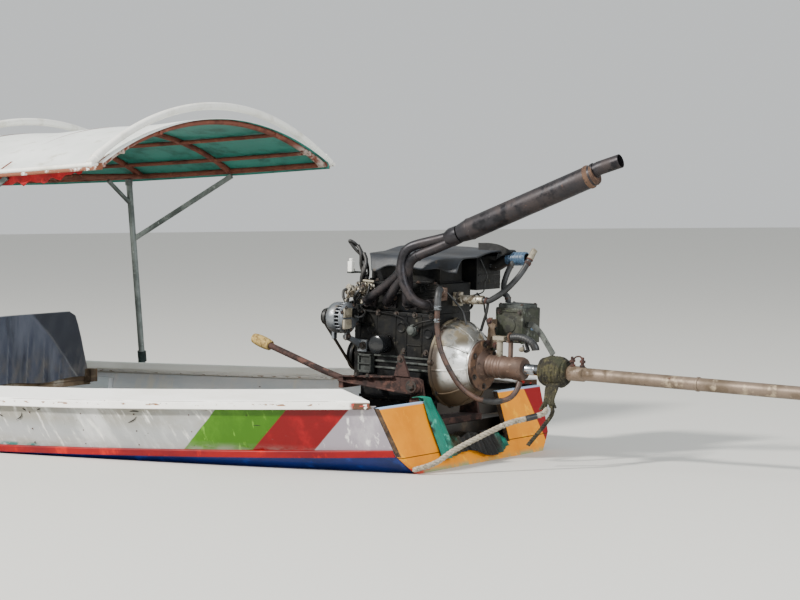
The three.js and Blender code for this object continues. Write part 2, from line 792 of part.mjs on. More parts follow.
function swivelYoke() {
  const base = BEAM_Z[1] + SEAT_GAP - TILT_Z;
  const plateTop = base + YOKE_PLATE;
  const bottom = box([-55, 55], [-YOKE_ARM_Y[1], YOKE_ARM_Y[1]], [base, plateTop]);
  const pintle = new THREE.CylinderGeometry(PINTLE_R, PINTLE_R, 110, 20).rotateX(Math.PI / 2);
  pintle.translate(0, 0, plateTop - 56);
  const arms = [-1, 1].map((side) => {
    const y = YOKE_ARM_Y.map((v) => v * side);
    return plate([[-50, base], [50, base], [24, 22], [0, 32], [-24, 22]], y);
  });
  const pins = [-1, 1].map((side) => {
    const pin = new THREE.CylinderGeometry(TRUNNION_R, TRUNNION_R, 44, 16);
    return pin.translate(0, side * (YOKE_ARM_Y[1] + 20), 0);
  });
  return union([bottom, pintle, ...arms, ...pins]);
}

// Engine

function engineBlock() {
  const body = box(BLOCK_X, [-BLOCK_HALF, BLOCK_HALF], [0, BLOCK_Z[1]]);
  const skirt = box([BLOCK_X[0], BLOCK_X[1]], [-112, 112], [BLOCK_Z[0], 2]);
  const pan = box(PAN_X, [-100, 100], [PAN_Z, BLOCK_Z[0] + 2]);
  const timing = box([BLOCK_X[1] - 2, 375], [-105, 105], [-4, 300]);
  const nose = new THREE.CylinderGeometry(18, 18, 60, 12).rotateZ(Math.PI / 2).translate(390, 0, CRANK_Z);
  const pumpNose = new THREE.CylinderGeometry(16, 16, 60, 12).rotateZ(Math.PI / 2);
  pumpNose.translate(390, PUMP_PULLEY.y, PUMP_PULLEY.z);
  const ear = box([300, 345], [BLOCK_HALF - 2, 152], [232, 272]);
  const sides = [-1, 1].flatMap((side) => {
    const across = (reach) => [side * (BLOCK_HALF - 2), side * reach].sort((a, b) => a - b);
    const ledges = BLOCK_LEDGES_Z.map((z) => box([BLOCK_X[0], 254], across(BLOCK_HALF + 8), [z, z + 8]));
    return [...ledges, box([255, 320], across(BLOCK_HALF + 28), [28, 105])];
  });
  const fuelPump = new THREE.CylinderGeometry(22, 22, 34, 14).translate(66, BLOCK_HALF + 15, 215);
  return union([body, skirt, pan, timing, nose, pumpNose, ear, fuelPump, ...sides]);
}

function cylinderHead() {
  const low = BLOCK_Z[1] + SEAT_GAP;
  const head = box([BLOCK_X[0] - 6, BLOCK_X[1] - 4], [-118, 118], [low, HEAD_TOP_Z]);
  const rocker = plate([[-20, HEAD_TOP_Z - 2], [315, HEAD_TOP_Z - 2], [315, ROCKER_TOP_Z - 18],
    [295, ROCKER_TOP_Z], [0, ROCKER_TOP_Z], [-20, ROCKER_TOP_Z - 18]], [-85, 78]);
  const outlet = pipe([[-38, 96, 366], [-62, 118, 372], [-74, 152, 384]], 17, 8);
  const [stubX, stubY, stubZ] = STUB_END;
  const stub = pipe([[-40, stubY, stubZ - 4], [stubX + 12, stubY, stubZ], STUB_END], 18, 12);
  return union([head, rocker, outlet, stub]);
}

function intake() {
  // Intake box on the starboard side of the head, with a carburettor below it
  const side = -118 - SEAT_GAP;
  const runners = box([40, 290], [side - 70, side], [318, 372]);
  const top = INTAKE_TOP_Z;
  const [aft, front, floor] = [-60, 300, 372];
  const lid = [[front, top - 12], [front - 30, top], [aft + 20, top], [aft, top - 20]];
  const plenum = plate([[aft, floor], [front, floor], ...lid], [-318, -135]);
  const bowl = box([110, 200], [-300, -195], [262, 380]);
  return union([runners, plenum, bowl]);
}

function engineCover() {
  // A rubber sheet lying on the rocker cover and the intake box, its port edge hanging down
  const top = ROCKER_TOP_Z + 2;
  const thick = 8;
  const rows = [-132, -20, 80, 170, 250, 328];
  return loft(rows.map((x, k) => {
    const wave = 9 * Math.sin(k * 1.9);
    const drop = 50 + 12 * Math.sin(k * 2.3);
    const line = [
      [-336, INTAKE_TOP_Z - 44 + wave],
      [-322, INTAKE_TOP_Z + 2],
      [-150, INTAKE_TOP_Z + 3],
      [0, top + 4],
      [92, top],
      [126, top - drop],
    ];
    const upper = line.map(([y, z]) => [x, y + (y < -320 ? -thick : y > 90 ? thick : 0), z + thick]);
    return [...line.map(([y, z]) => [x, y, z]), ...upper.reverse()];
  }));
}

function portX(k) {
  return PORT_FIRST_X - k * PORT_PITCH;
}

function exhaustHeader() {
  // Four port pipes run together in pairs, and the two pairs run aft into the silencer
  const face = 118 + SEAT_GAP;
  const [mergeX, mergeY, mergeZ] = SILENCER_FROM;
  const upper = [[mergeX + 12, mergeY - 2, mergeZ - 4], [-90, 190, 592], [40, 212, 552], [62, 216, 528]];
  const lower = [[mergeX + 14, mergeY + 2, mergeZ - 24], [-80, 196, 556], [20, 206, 512], [44, 206, 486]];
  const elbow = (k) => [[portX(k), 150, PORT_Z], [portX(k), face + 5, PORT_Z]];
  const aftElbow = [[44, 222, 385], [10, 210, 340], [-22, 168, PORT_Z], [portX(3), face + 5, PORT_Z]];
  const tubes = [
    hose([[72, 218, 498], [92, 206, 450], [150, 190, 405], [250, 172, 340], ...elbow(0)], HEADER_R - 1, 6, 9),
    hose([[54, 200, 462], [92, 196, 420], [140, 186, 362], [170, 168, 335], ...elbow(1)], HEADER_R - 1, 6, 8),
    hose([...lower, [54, 200, 452], [66, 178, 400], [80, 166, 350], ...elbow(2)], HEADER_R, 6, 14),
    hose([...upper, [72, 218, 490], [66, 222, 440], ...aftElbow], HEADER_R, 6, 16),
  ];
  const flanges = [0, 1, 2, 3].map((k) => {
    const x = portX(k);
    const middle = k === 3 ? x + 3 : x;
    return box([middle - 26, middle + 26], [face, face + 9], [PORT_Z - 24, PORT_Z + 24]);
  });
  const collector = pipe([silencerAt(-0.1), silencerAt(-0.04), silencerAt(0)], [30, 38, COLLECTOR_R], 12);
  return union([...tubes, ...flanges, collector]);
}

function silencerAt(u, lift = 0) {
  const [from, to] = [SILENCER_FROM, SILENCER_TO].map((p) => new THREE.Vector3(...p));
  return from.lerp(to, u).add(new THREE.Vector3(0, 0, lift)).toArray();
}

function silencer() {
  const at = silencerAt;
  const radii = [COLLECTOR_R, SILENCER_R, SILENCER_R, SILENCER_R - 2];
  const body = pipe([at(0.0008), at(0.07), at(0.95), at(1)], radii, 14);
  const tail = pipe([at(0.97, 14), at(1.03, 17), at(1.18, 9)], 27, 12);
  const bore = pipe([at(1.04, 16), at(1.12, 12), at(1.25, 5)], 23, 12);
  return cut(union([body, tail]), bore);
}

function bellHousing() {
  const front = BLOCK_X[0] - SEAT_GAP;
  return turnedAlongX([[front, 0], [front, BELL_R], [-78, BELL_R], [-112, 168], [-146, 140], [-172, 104],
    [-178, 104], [-178, 0]], 28).translate(0, 0, CRANK_Z);
}

function shaftHousing() {
  const front = -178 - SEAT_GAP;
  const [rib, flange, end] = [NECK_R + 3, 102, -520];
  const ribs = NECK_RIBS_X.flatMap((x) => [[x, NECK_R], [x - 3, rib], [x - 12, rib], [x - 15, NECK_R]]);
  const profile = [[front, 0], [front, flange], [-190, flange], [-190, 62], [-208, 50], ...ribs,
    [-330, NECK_R], [-336, rib], [-372, rib], [NECK_END_X, NECK_R - 2],
    [NECK_END_X, SHAFT_R], [end, SHAFT_R], [end, 0]];
  const turned = turnedAlongX(profile, 14).translate(0, 0, CRANK_Z);
  const low = CRANK_Z + NECK_R - 8;
  const stem = pipe([[-264, 0, low], [-264, 0, 190]], 13, 10);
  const cap = box([-292, -240], [-19, 19], [188, 206]);
  const upright = box([-322, -308], [-9, 9], [low, 189]);
  const shelf = box([-322, -297], [-9, 9], [182, 189]);
  return union([turned, stem, cap, upright, shelf]);
}

function gearPump() {
  // Raw-water pump and its bracket on top of the shaft housing's flange, to starboard
  const face = -190 - SEAT_GAP;
  const body = box([-330, -205], [-190, -60], [176, PUMP_TOP_Z - 8]);
  const lid = box([-324, -211], [-184, -66], [PUMP_TOP_Z - 10, PUMP_TOP_Z]);
  const foot = box([-204, face], [-85, -45], [140, 215]);
  const arm = box([-230, face], [-85, -61], [206, 232]);
  const cap = new THREE.CylinderGeometry(34, 34, 40, 14).translate(-265, -205, 262);
  const gusset = plate([[face, 150], [face, 186], [-198, 276], [-212, 276], [-246, 160]], [-24, -12]);
  const link = box([-212, -198], [-62, -12], [236, 268]);
  const strapLine = [[-328, -92, 250], [-372, -70, 252], [-430, -32, 229], [-480, -10, 184], [-512, -2, 151]];
  const strap = pipe(strapLine, 10, 6);
  return union([body, lid, arm, foot, cap, gusset, link, strap]);
}

function oilFilter() {
  const barrel = new THREE.CylinderGeometry(38, 38, 70, 16);
  return barrel.translate(205, BLOCK_HALF + SEAT_GAP + 35, 150);
}

function pulleyWheel(x, y, z, radius) {
  const [low, high] = [x[0] - 8, x[1] + 8];
  const profile = [[low, 0], [low, radius + 7], [x[0] - 1, radius + 7], [x[0] - 1, radius],
    [x[1] + 1, radius], [x[1] + 1, radius + 7], [high, radius + 7], [high, 0]];
  return turnedAlongX(profile, 14).translate(0, y, z);
}

function crankPulley() {
  const disc = pulleyWheel(BELT_X, 0, CRANK_Z, CRANK_PULLEY_R - 8);
  const bore = new THREE.CylinderGeometry(18.5, 18.5, 30, 12).rotateZ(Math.PI / 2);
  return cut(disc, bore.translate(405.5, 0, CRANK_Z));
}

function pumpPulley() {
  const disc = pulleyWheel(BELT_X, PUMP_PULLEY.y, PUMP_PULLEY.z, PUMP_PULLEY.r - 8);
  const bore = new THREE.CylinderGeometry(16.5, 16.5, 30, 12).rotateZ(Math.PI / 2);
  return cut(disc, bore.translate(405.5, PUMP_PULLEY.y, PUMP_PULLEY.z));
}

function alternator() {
  const { y, z, r, pulley } = ALTERNATOR;
  const body = turnedAlongX([[318, 0], [318, 40], [326, r - 8], [336, r], [396, r], [406, r - 10], [406, 20],
    [BELT_X[0] - 8, 20], [BELT_X[0] - 8, pulley], [BELT_X[0] - 1, pulley], [BELT_X[0] - 1, pulley - 8],
    [BELT_X[1] + 1, pulley - 8], [BELT_X[1] + 1, pulley], [BELT_X[1] + 8, pulley], [BELT_X[1] + 8, 0]], 14);
  body.translate(0, y, z);
  const lug = box([322, 345], [152 + SEAT_GAP, 176], [236, 268]);
  const low = z - r;
  const ears = [[328, 340], [390, 402]].map((across) => box(across, [y - 10, y + 12], [low - 24, low + 12]));
  return union([body, lug, ...ears]);
}

function hullOfPoints(points) {
  // Convex outline of points in a plane, walked round once
  const sorted = [...points].sort((a, b) => a.x - b.x || a.y - b.y);
  const turn = (o, a, b) => (a.x - o.x) * (b.y - o.y) - (a.y - o.y) * (b.x - o.x);
  const half = (list) => list.reduce((chain, p) => {
    while (chain.length > 1 && turn(chain.at(-2), chain.at(-1), p) <= 0) chain.pop();
    chain.push(p);
    return chain;
  }, []);
  return [...half(sorted).slice(0, -1), ...half(sorted.reverse()).slice(0, -1)];
}

function fanBelt() {
  const wheels = [
    { y: 0, z: CRANK_Z, r: CRANK_PULLEY_R - 8 },
    { y: PUMP_PULLEY.y, z: PUMP_PULLEY.z, r: PUMP_PULLEY.r - 8 },
    { y: ALTERNATOR.y, z: ALTERNATOR.z, r: ALTERNATOR.pulley - 8 },
  ];
  const loop = (extra) => hullOfPoints(wheels.flatMap(({ y, z, r }) =>
    Array.from({ length: 22 }, (_, k) => {
      const turn = (k / 22) * 2 * Math.PI;
      return new THREE.Vector2(y + (r + extra) * Math.cos(turn), z + (r + extra) * Math.sin(turn));
    }),
  ));
  const shape = new THREE.Shape(loop(10));
  shape.holes.push(new THREE.Path(loop(1.2)));
  const belt = new THREE.ExtrudeGeometry(shape, { depth: BELT_X[1] - BELT_X[0], bevelEnabled: false });
  const turned = new THREE.Matrix4().set(0, 0, 1, BELT_X[0], 1, 0, 0, 0, 0, 1, 0, 0, 0, 0, 0, 1);
  return belt.applyMatrix4(turned);
}

function coolantHose() {
  return hose([[-76, 157.4, 385.8], [-80, 168.6, 389.6], [-88, 190, 372], [-90, 197, 320], [-90, 195, 235],
    [-112, 197, 150], [-148, 194, 82], [-196, 168, 4], [-252, 134, -38], [-312, 100, -46],
    [-356, 62, -30], [-372, 34, 4], [-375, 22, 30]], 11, 8, 22);
}

function fillerNeck() {
  // Ribbed hose fitting behind the intake box, with a hose down to the pump's lid
  const y = -250;
  const start = [[-60 - SEAT_GAP, y, 470], [-76, y, 470]];
  const rest = [[-92, y, 474], [-118, y, 490], [-140, y, 501], [-228, y, 506]];
  const body = pipe([...start, ...rest], [22, 22, 24, 26, 28, 28], 12);
  const drop = squareEndedHose([[-174, -238, 494], [-168, -228, 480], [-158, -210, 440], [-160, -186, 400],
    [-186, -150, 368], [-212, -130, 356], [-218, -128, 344], [-218, -128, PUMP_TOP_Z + SEAT_GAP]], 12);
  return union([body, drop]);
}

function ventHose() {
  // Hose pushed on the head's stub and turned up, its end open
  const [x, y, z] = STUB_END;
  const start = [[x - SEAT_GAP, y, z], [x - 10, y, z]];
  const rise = [[-205, -16, 346], [-250, -50, 385], [-288, -90, 442], [-310, -120, 495], [-322, -144, 540]];
  return squareEndedHose([...start, ...rise, [-325, -150, 549]], 12);
}

function waterOutlet() {
  // Thermostat housing on the front of the head, with its neck to port and a thin hose standing up
  const face = BLOCK_X[1] - 4 + SEAT_GAP;
  const flange = box([face, face + 12], [38, 116], [306, 396]);
  const body = box([face + 10, face + 44], [48, 106], [316, OUTLET_TOP_Z]);
  const neck = pipe([[face + 26, 96, 352], [face + 34, 132, 358], [face + 52, 158, 366]], [24, 22, 20], 10);
  const stub = pipe([[face + 40, 76, 346], [face + 84, 84, 342]], 17, 10);
  const rise = [[352, 94, 420], [352, 98, 452], [370, 100, 505], [402, 104, 552]];
  const thin = hose([[352, 88, OUTLET_TOP_Z - 4], ...rise], 8, 6, 8);
  return union([flange, body, neck, stub, thin]);
}

function reservoir() {
  // Small plastic bottle on a bracket above the water outlet
  const riser = box([354, 368], [56, 72], [OUTLET_TOP_Z + SEAT_GAP, 434]);
  const shelf = box([354, 414], [56, 72], [427, 434]);
  const arm = box([392, 414], [56, 114], [427, 434]);
  const bottle = box([393, 413], [92, 112], [432, 478]);
  const neck = box([397, 409], [96, 108], [476, 489]);
  return union([riser, shelf, arm, bottle, neck]);
}

function alternatorBracket() {
  // Foot on the block's side and an arm that tapers to the alternator's lower ear
  const face = BLOCK_HALF + SEAT_GAP;
  const foot = box([286, 332], [face, face + 18], [112, 162]);
  const end = 340 + SEAT_GAP;
  const arm = loft([
    [[314, 140, 118], [330, 140, 118], [330, 140, 158], [314, 140, 158]],
    [[end, 205, 164], [end + 10, 205, 164], [end + 10, 205, 184], [end, 205, 184]],
    [[end, 226, 166], [end + 10, 226, 166], [end + 10, 226, 182], [end, 226, 182]],
  ]);
  return union([foot, arm]);
}

function starterMotor() {
  // Starter along the block's starboard side, its nose on the bell, with the solenoid above it
  const radius = 44;
  const y = -(BLOCK_HALF + SEAT_GAP + radius);
  const nose = BLOCK_X[0];
  const motor = turnedAlongX([[nose, 0], [nose, 40], [nose + 16, radius], [112, radius], [118, 38], [150, 38],
    [154, 18], [154, 0]], 16);
  const solenoid = turnedAlongX([[-12, 0], [-12, 21], [84, 21], [90, 10], [90, 0]], 12).translate(0, -4, 60);
  const saddle = box([0, 60], [-14, 8], [30, 50]);
  return union([motor, solenoid, saddle]).translate(0, y, 156);
}

// Cradle, tiller and tail

function cradle() {
  const rails = [-1, 1].map((side) => {
    const y = CRADLE_Y.map((v) => v * side);
    const rail = plate([[366, -8], [366, 16], [150, 30], [96, 34], [73, 122], [60, 120], [22, 34], [-20, 32],
      [-34, 12], [-32, -22], [0, -34], [60, -32], [250, -16]], y);
    const bore = new THREE.CylinderGeometry(TRUNNION_R + 1, TRUNNION_R + 1, 80, 16);
    return cut(rail, bore.translate(0, side * 220, 0));
  });
  const low = CRADLE_Y[0];
  const crossbar = box([342, 364], [-low - 2, low + 2], [-34, -12]);
  const corners = [-1, 1].map((side) => {
    const y = [low, low + 20].map((v) => v * side).sort((a, b) => a - b);
    return box([342, 364], y, [-34, 10]);
  });
  const brackets = [-1, 1].flatMap((side) => [70, 240].map((x) => {
    const y = [BLOCK_HALF + SEAT_GAP, low + 2].map((v) => v * side).sort((a, b) => a - b);
    return box([x, x + 26], y, [4, 22]);
  }));
  return union([...rails, crossbar, ...corners, ...brackets]);
}

function tiller() {
  const start = [367, 196, 2];
  const bar = pipe([start, [470, 190, 26], [820, 150, 118]], 13, 8);
  const gripLine = [[770, 155.5, 105], [785, 154, 109], [850, 146.5, 126], [866, 144.5, 130]];
  const grip = pipe(gripLine, [14, 24, 26, 15], 8);
  return union([bar, grip]);
}

function ropeWrap() {
  const overTube = TUBE_R + 0.6;
  const overShaft = SHAFT_R + 0.6;
  const [aft, fore] = WRAP_X;
  const coils = [[fore, 44], [fore - 20, 60], [-520, WRAP_R], [-560, WRAP_R - 4], [aft, 40]];
  const bore = [[aft, overTube], [-526, overTube], [-524, overShaft]];
  const ring = turnedRing([[fore, overShaft], ...coils, ...bore], 14);
  ring.translate(0, 0, CRANK_Z);
  const tail = hose([[-530, 30, 40], [-545, 62, 10], [-556, 96, -38], [-562, 122, -52]], 17, 8, 6);
  return union([ring, tail]);
}

function turnedRing(profile, sides) {
  const closed = [...profile, profile[0]].map(([x, r]) => new THREE.Vector2(r, x));
  const geometry = new THREE.LatheGeometry(closed, sides).rotateZ(-Math.PI / 2);
  const solid = solidFrom(geometry);
  return solid.volume() < 0 ? flipped(geometry) : geometryFrom(solid);
}

function tailTube() {
  const [aft, fore] = TUBE_X;
  const [sleeveFore, sleeveAft] = SLEEVE_X;
  const [sleeveStart, sleeveEnd] = [[sleeveFore, TUBE_R], [sleeveAft, TUBE_R]];
  const sleeve = [sleeveStart, [sleeveFore - 4, SLEEVE_R], [sleeveAft + 4, SLEEVE_R], sleeveEnd];
  const tube = turnedAlongX([[fore, 0], [fore, TUBE_R], ...sleeve,
    [aft + 90, TUBE_R], [aft + 84, 34], [aft, 32], [aft, 0]], 14);
  tube.translate(0, 0, CRANK_Z);
  const knobs = [sleeveFore - 20, sleeveAft + 12].map((x) =>
    pipe([[x, 4, CRANK_Z + SLEEVE_R - 8], [x, 4, CRANK_Z + SLEEVE_R + 38]], 9, 8));
  const skeg = plate([[aft + 70, CRANK_Z - 20], [aft + 420, CRANK_Z - 20], [aft + 160, CRANK_Z - 150],
    [aft + 50, CRANK_Z - 160]], [-4, 4]);
  const bore = new THREE.CylinderGeometry(13, 13, 60, 16).rotateZ(Math.PI / 2).translate(aft, 0, CRANK_Z);
  return cut(union([tube, skeg, ...knobs]), bore);
}

function propeller() {
  const aft = TUBE_X[0] - 6;
  const hub = turnedAlongX([[aft - 70, 0], [aft - 70, 8], [aft - 52, 18], [aft, PROPELLER_HUB_R], [aft, 12],
    [aft + 30, 12], [aft + 30, 0]], 16);
  const blade = (turn) => {
    const rings = [14, 60, 105, PROPELLER_R].map((r, k) => {
      const chord = [22, 46, 50, 16][k];
      const pitch = [1.0, 0.75, 0.55, 0.42][k];
      const thick = [7, 5, 4, 3][k];
      const c = Math.cos(pitch);
      const s = Math.sin(pitch);
      return [[-chord, -thick], [chord, -thick], [chord, thick], [-chord, thick]].map(([u, v]) => {
        const along = (u / 2) * s + (v / 2) * c;
        const across = (u / 2) * c - (v / 2) * s;
        return [aft - 28 + along, across, r];
      });
    });
    return loft(rings).rotateX(turn);
  };
  const blades = [0, 1, 2].map((k) => blade((k * 2 * Math.PI) / 3));
  return union([hub, ...blades]).translate(0, 0, CRANK_Z);
}

// Soft pieces at the stern

function motorTarp() {
  // A tarpaulin over the notch's sill and the port edge of the notch, hanging outside
  const thick = 5;
  const [riseFrom, riseTo] = TARP_RISE_Y;
  return loft(TARP_ROWS_Y.map((y) => {
    const share = Math.min(Math.max((y - riseFrom) / (riseTo - riseFrom), 0), 1);
    const top = NOTCH_SILL_Z + 2 + TARP_RISE * share * share * (3 - 2 * share);
    const hem = 24 + 16 * Math.sin(y / 60) + 0.1 * Math.abs(y);
    const aft = (z) => transomX(z) - TRANSOM_THICK - SEAT_GAP;
    return [
      [aft(top) + 44, y, top],
      [aft(top) + 44, y, top + thick],
      [aft(top) - thick, y, top + thick],
      [aft(hem) - thick, y, hem],
      [aft(hem), y, hem],
      [aft(top), y, top],
    ];
  }));
}

function sternRope() {
  return hose(ROPE_POINTS, ROPE_R, 8, 22);
}

// Materials: colour, roughness, metalness

const MATERIALS = {
  white_paint: [0xe8e6df, 0.6, 0],
  blue_paint: [0x1c3f9c, 0.5, 0],
  red_paint: [0xc01f1c, 0.5, 0],
  orange_paint: [0xf0930f, 0.5, 0],
  bare_wood: [0x8d7355, 0.8, 0],
  canopy_sheet: [0xe9ebe6, 0.6, 0],
  brown_steel: [0x6e4436, 0.7, 0.4],
  grey_steel: [0x8c9090, 0.5, 0.7],
  white_plastic: [0xeeeeea, 0.4, 0],
  black_iron: [0x1c1d20, 0.6, 0.6],
  rubber_sheet: [0x24272c, 0.7, 0],
  exhaust_steel: [0x3d302e, 0.6, 0.6],
  cast_alloy: [0xb9b5a8, 0.4, 0.8],
  brown_alloy: [0x8a6a4c, 0.6, 0.6],
  rusty_steel: [0x7a3a2a, 0.85, 0.3],
  beige_steel: [0x9c8a72, 0.6, 0.5],
  old_rope: [0x6b6a3c, 0.9, 0],
  white_rope: [0xcfcabd, 0.9, 0],
  green_tarp: [0x1f7a5c, 0.6, 0],
  blue_cloth: [0x1d2a44, 0.9, 0],
  rubber_hose: [0x3a3532, 0.7, 0],
  bronze: [0xa07a40, 0.4, 0.9],
};

function material(name) {
  const [color, roughness, metalness] = MATERIALS[name];
  return new THREE.MeshStandardMaterial({ color, roughness, metalness });
}

function add(group, name, geometry, materialName) {
  const mesh = new THREE.Mesh(geometry, material(materialName));
  mesh.name = name;
  group.add(mesh);
  return mesh;
}

// The boat

const boat = new THREE.Group();

function addPair(group, name, geometry, materialName) {
  add(group, name + "_port", geometry, materialName);
  add(group, name + "_starboard", mirrored(geometry), materialName);
}

addPair(boat, "side_plank", sidePlank(), "white_paint");
addPair(boat, "bilge_plank", bilgePlank(), "blue_paint");
add(boat, "bottom_plank", bottomPlank(), "blue_paint");
add(boat, "transom", transom(), "orange_paint");
add(boat, "bow_block", bowBlock(), "white_paint");
addPair(boat, "gunwale_cap", gunwaleCap(), "white_paint");
addPair(boat, "chine_rail", chineRail(), "red_paint");
add(boat, "floor_frames", floorFrames(), "bare_wood");
add(boat, "floorboards", floorboards(), "bare_wood");
addPair(boat, "riser", riser(), "white_paint");
add(boat, "foredeck", foredeck(), "bare_wood");
add(boat, "engine_beam", engineBeam(), "bare_wood");
SEAT_X.forEach((x, k) => add(boat, "seat_" + (k + 1), seat(x), "bare_wood"));
add(boat, "seat_cloth", seatCloth(), "blue_cloth");
add(boat, "motor_tarp", motorTarp(), "green_tarp");
add(boat, "stern_rope", sternRope(), "white_rope");

add(boat, "canopy_frame", canopyFrame(), "brown_steel");
add(boat, "canopy_sheet", canopySheet(), "canopy_sheet");
add(boat, "canopy_hoops", canopyHoops(), "white_plastic");
POST_ARCHES.forEach((k, n) => addPair(boat, "post_" + (n + 1), post(k), "grey_steel"));

const swivel = new THREE.Group();
swivel.position.set(SWIVEL_X, 0, TILT_Z);
boat.add(swivel);
add(swivel, "swivel_yoke", swivelYoke(), "rusty_steel");

const engine = new THREE.Group();
engine.position.copy(swivel.position);
engine.rotation.y = -THREE.MathUtils.degToRad(REST_SLOPE_DEG);
boat.add(engine);
add(engine, "engine_block", engineBlock(), "black_iron");
add(engine, "cylinder_head", cylinderHead(), "black_iron");
add(engine, "intake", intake(), "black_iron");
add(engine, "engine_cover", engineCover(), "rubber_sheet");
add(engine, "exhaust_header", exhaustHeader(), "exhaust_steel");
add(engine, "silencer", silencer(), "exhaust_steel");
add(engine, "bell_housing", bellHousing(), "cast_alloy");
add(engine, "shaft_housing", shaftHousing(), "brown_alloy");
add(engine, "gear_pump", gearPump(), "cast_alloy");
add(engine, "oil_filter", oilFilter(), "black_iron");
add(engine, "crank_pulley", crankPulley(), "black_iron");
add(engine, "pump_pulley", pumpPulley(), "black_iron");
add(engine, "alternator", alternator(), "cast_alloy");
add(engine, "fan_belt", fanBelt(), "rubber_hose");
add(engine, "alternator_bracket", alternatorBracket(), "cast_alloy");
add(engine, "water_outlet", waterOutlet(), "cast_alloy");
add(engine, "reservoir", reservoir(), "white_plastic");
add(engine, "starter_motor", starterMotor(), "black_iron");
add(engine, "coolant_hose", coolantHose(), "rubber_hose");
add(engine, "vent_hose", ventHose(), "rubber_hose");
add(engine, "filler_neck", fillerNeck(), "rubber_hose");
add(engine, "cradle", cradle(), "rusty_steel");
add(engine, "tiller", tiller(), "rusty_steel");
add(engine, "rope_wrap", ropeWrap(), "old_rope");
add(engine, "tail_tube", tailTube(), "beige_steel");
add(engine, "propeller", propeller(), "bronze");

export default boat;
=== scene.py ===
# %% [markdown]
# # A wooden longtail boat
#
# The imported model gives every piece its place: planks, canopy, and a car engine on a swivel at the
# stern. This notebook dresses it. Each step says what the real piece or finish is, and then makes it.

# %% The frame
import json
import math

import bmesh
import bpy
import numpy as np
from mathutils import Matrix, Vector

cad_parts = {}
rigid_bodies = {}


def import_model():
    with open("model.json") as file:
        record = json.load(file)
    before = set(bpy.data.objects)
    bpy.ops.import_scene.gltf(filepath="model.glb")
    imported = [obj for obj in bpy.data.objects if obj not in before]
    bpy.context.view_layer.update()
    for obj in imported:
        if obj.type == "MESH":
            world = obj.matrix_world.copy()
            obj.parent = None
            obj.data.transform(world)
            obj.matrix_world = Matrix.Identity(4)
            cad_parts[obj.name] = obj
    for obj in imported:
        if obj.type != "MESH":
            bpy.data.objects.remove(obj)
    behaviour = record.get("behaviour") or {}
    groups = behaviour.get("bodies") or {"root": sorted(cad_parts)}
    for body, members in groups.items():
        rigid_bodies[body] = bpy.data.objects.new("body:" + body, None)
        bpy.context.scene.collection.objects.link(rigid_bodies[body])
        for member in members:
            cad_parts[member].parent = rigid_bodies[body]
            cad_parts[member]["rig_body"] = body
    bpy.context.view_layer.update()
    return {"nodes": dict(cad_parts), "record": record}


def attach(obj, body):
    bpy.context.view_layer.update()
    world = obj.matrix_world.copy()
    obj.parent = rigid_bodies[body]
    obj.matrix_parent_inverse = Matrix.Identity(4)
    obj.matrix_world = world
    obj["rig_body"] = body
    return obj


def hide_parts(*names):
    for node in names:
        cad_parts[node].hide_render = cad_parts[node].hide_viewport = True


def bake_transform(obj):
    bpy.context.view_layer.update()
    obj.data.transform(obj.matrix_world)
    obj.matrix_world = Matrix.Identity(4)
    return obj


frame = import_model()

# %% [markdown]
# ## Camera
#
# The photographer stood low on the bank, off the port quarter, and used a long lens. The place and the
# three angles below come from lining up the transom, the gunwale, the canopy's arches and the engine.

# %% Camera
IMAGE_WIDTH = 800
FOCAL_PIXELS = 2412.0
SENSOR_WIDTH = 36.0
CAMERA_PLACE = (-9.813, 8.18, 1.129)
CAMERA_YAW, CAMERA_PITCH, CAMERA_ROLL = (math.radians(a) for a in (34.371, 2.793, -0.596))


def camera_turn(yaw, pitch, roll):
    """The camera's axes: yaw 0 looks along -Y, pitch looks down, roll turns the picture."""
    forward = Vector((math.sin(yaw) * math.cos(pitch), -math.cos(yaw) * math.cos(pitch), -math.sin(pitch)))
    right = forward.cross(Vector((0, 0, 1))).normalized()
    up = right.cross(forward)
    rolled_right = right * math.cos(roll) + up * math.sin(roll)
    rolled_up = up * math.cos(roll) - right * math.sin(roll)
    return Matrix((rolled_right, rolled_up, -forward)).transposed()


camera = bpy.data.objects.new("camera", bpy.data.cameras.new("camera"))
camera.data.sensor_width = SENSOR_WIDTH
camera.data.lens = FOCAL_PIXELS * SENSOR_WIDTH / IMAGE_WIDTH
camera.data.clip_end = 300
camera.matrix_world = camera_turn(CAMERA_YAW, CAMERA_PITCH, CAMERA_ROLL).to_4x4()
camera.location = CAMERA_PLACE
bpy.context.scene.collection.objects.link(camera)
bpy.context.scene.camera = camera
print("lens", round(camera.data.lens, 1), "mm")

# %% [markdown]
# ## Shapes from numpy
#
# Nearly every piece here is a surface over a grid: rows of points, each row joined to the next. A shape
# is kept as three arrays (points, four-sided faces, the faces' own map) and a list of end caps, so that
# many shapes can be added up into one piece before Blender sees them.

# %% Grids and joined shapes
def grid(points, wrap=True, caps=True, scale=(1.0, 1.0)):
    """A shape from an array of rows by columns of points. The map runs along the rows and the columns."""
    rows, columns = points.shape[:2]
    across = columns if wrap else columns - 1
    i, j = np.meshgrid(np.arange(rows - 1), np.arange(across), indexing="ij")
    i, j = i.ravel(), j.ravel()
    after = (j + 1) % columns
    quads = np.stack([i * columns + j, i * columns + after, (i + 1) * columns + after,
            (i + 1) * columns + j], 1)
    corners = np.stack([np.stack([i, j], 1), np.stack([i, j + 1], 1), np.stack([i + 1, j + 1], 1),
                        np.stack([i + 1, j], 1)], 1)
    share = corners / np.array([rows - 1, across]) * np.array(scale)
    ends = []
    if caps and wrap:
        ends = [np.arange(columns)[::-1], (rows - 1) * columns + np.arange(columns)]
    return points.reshape(-1, 3), quads, share, ends


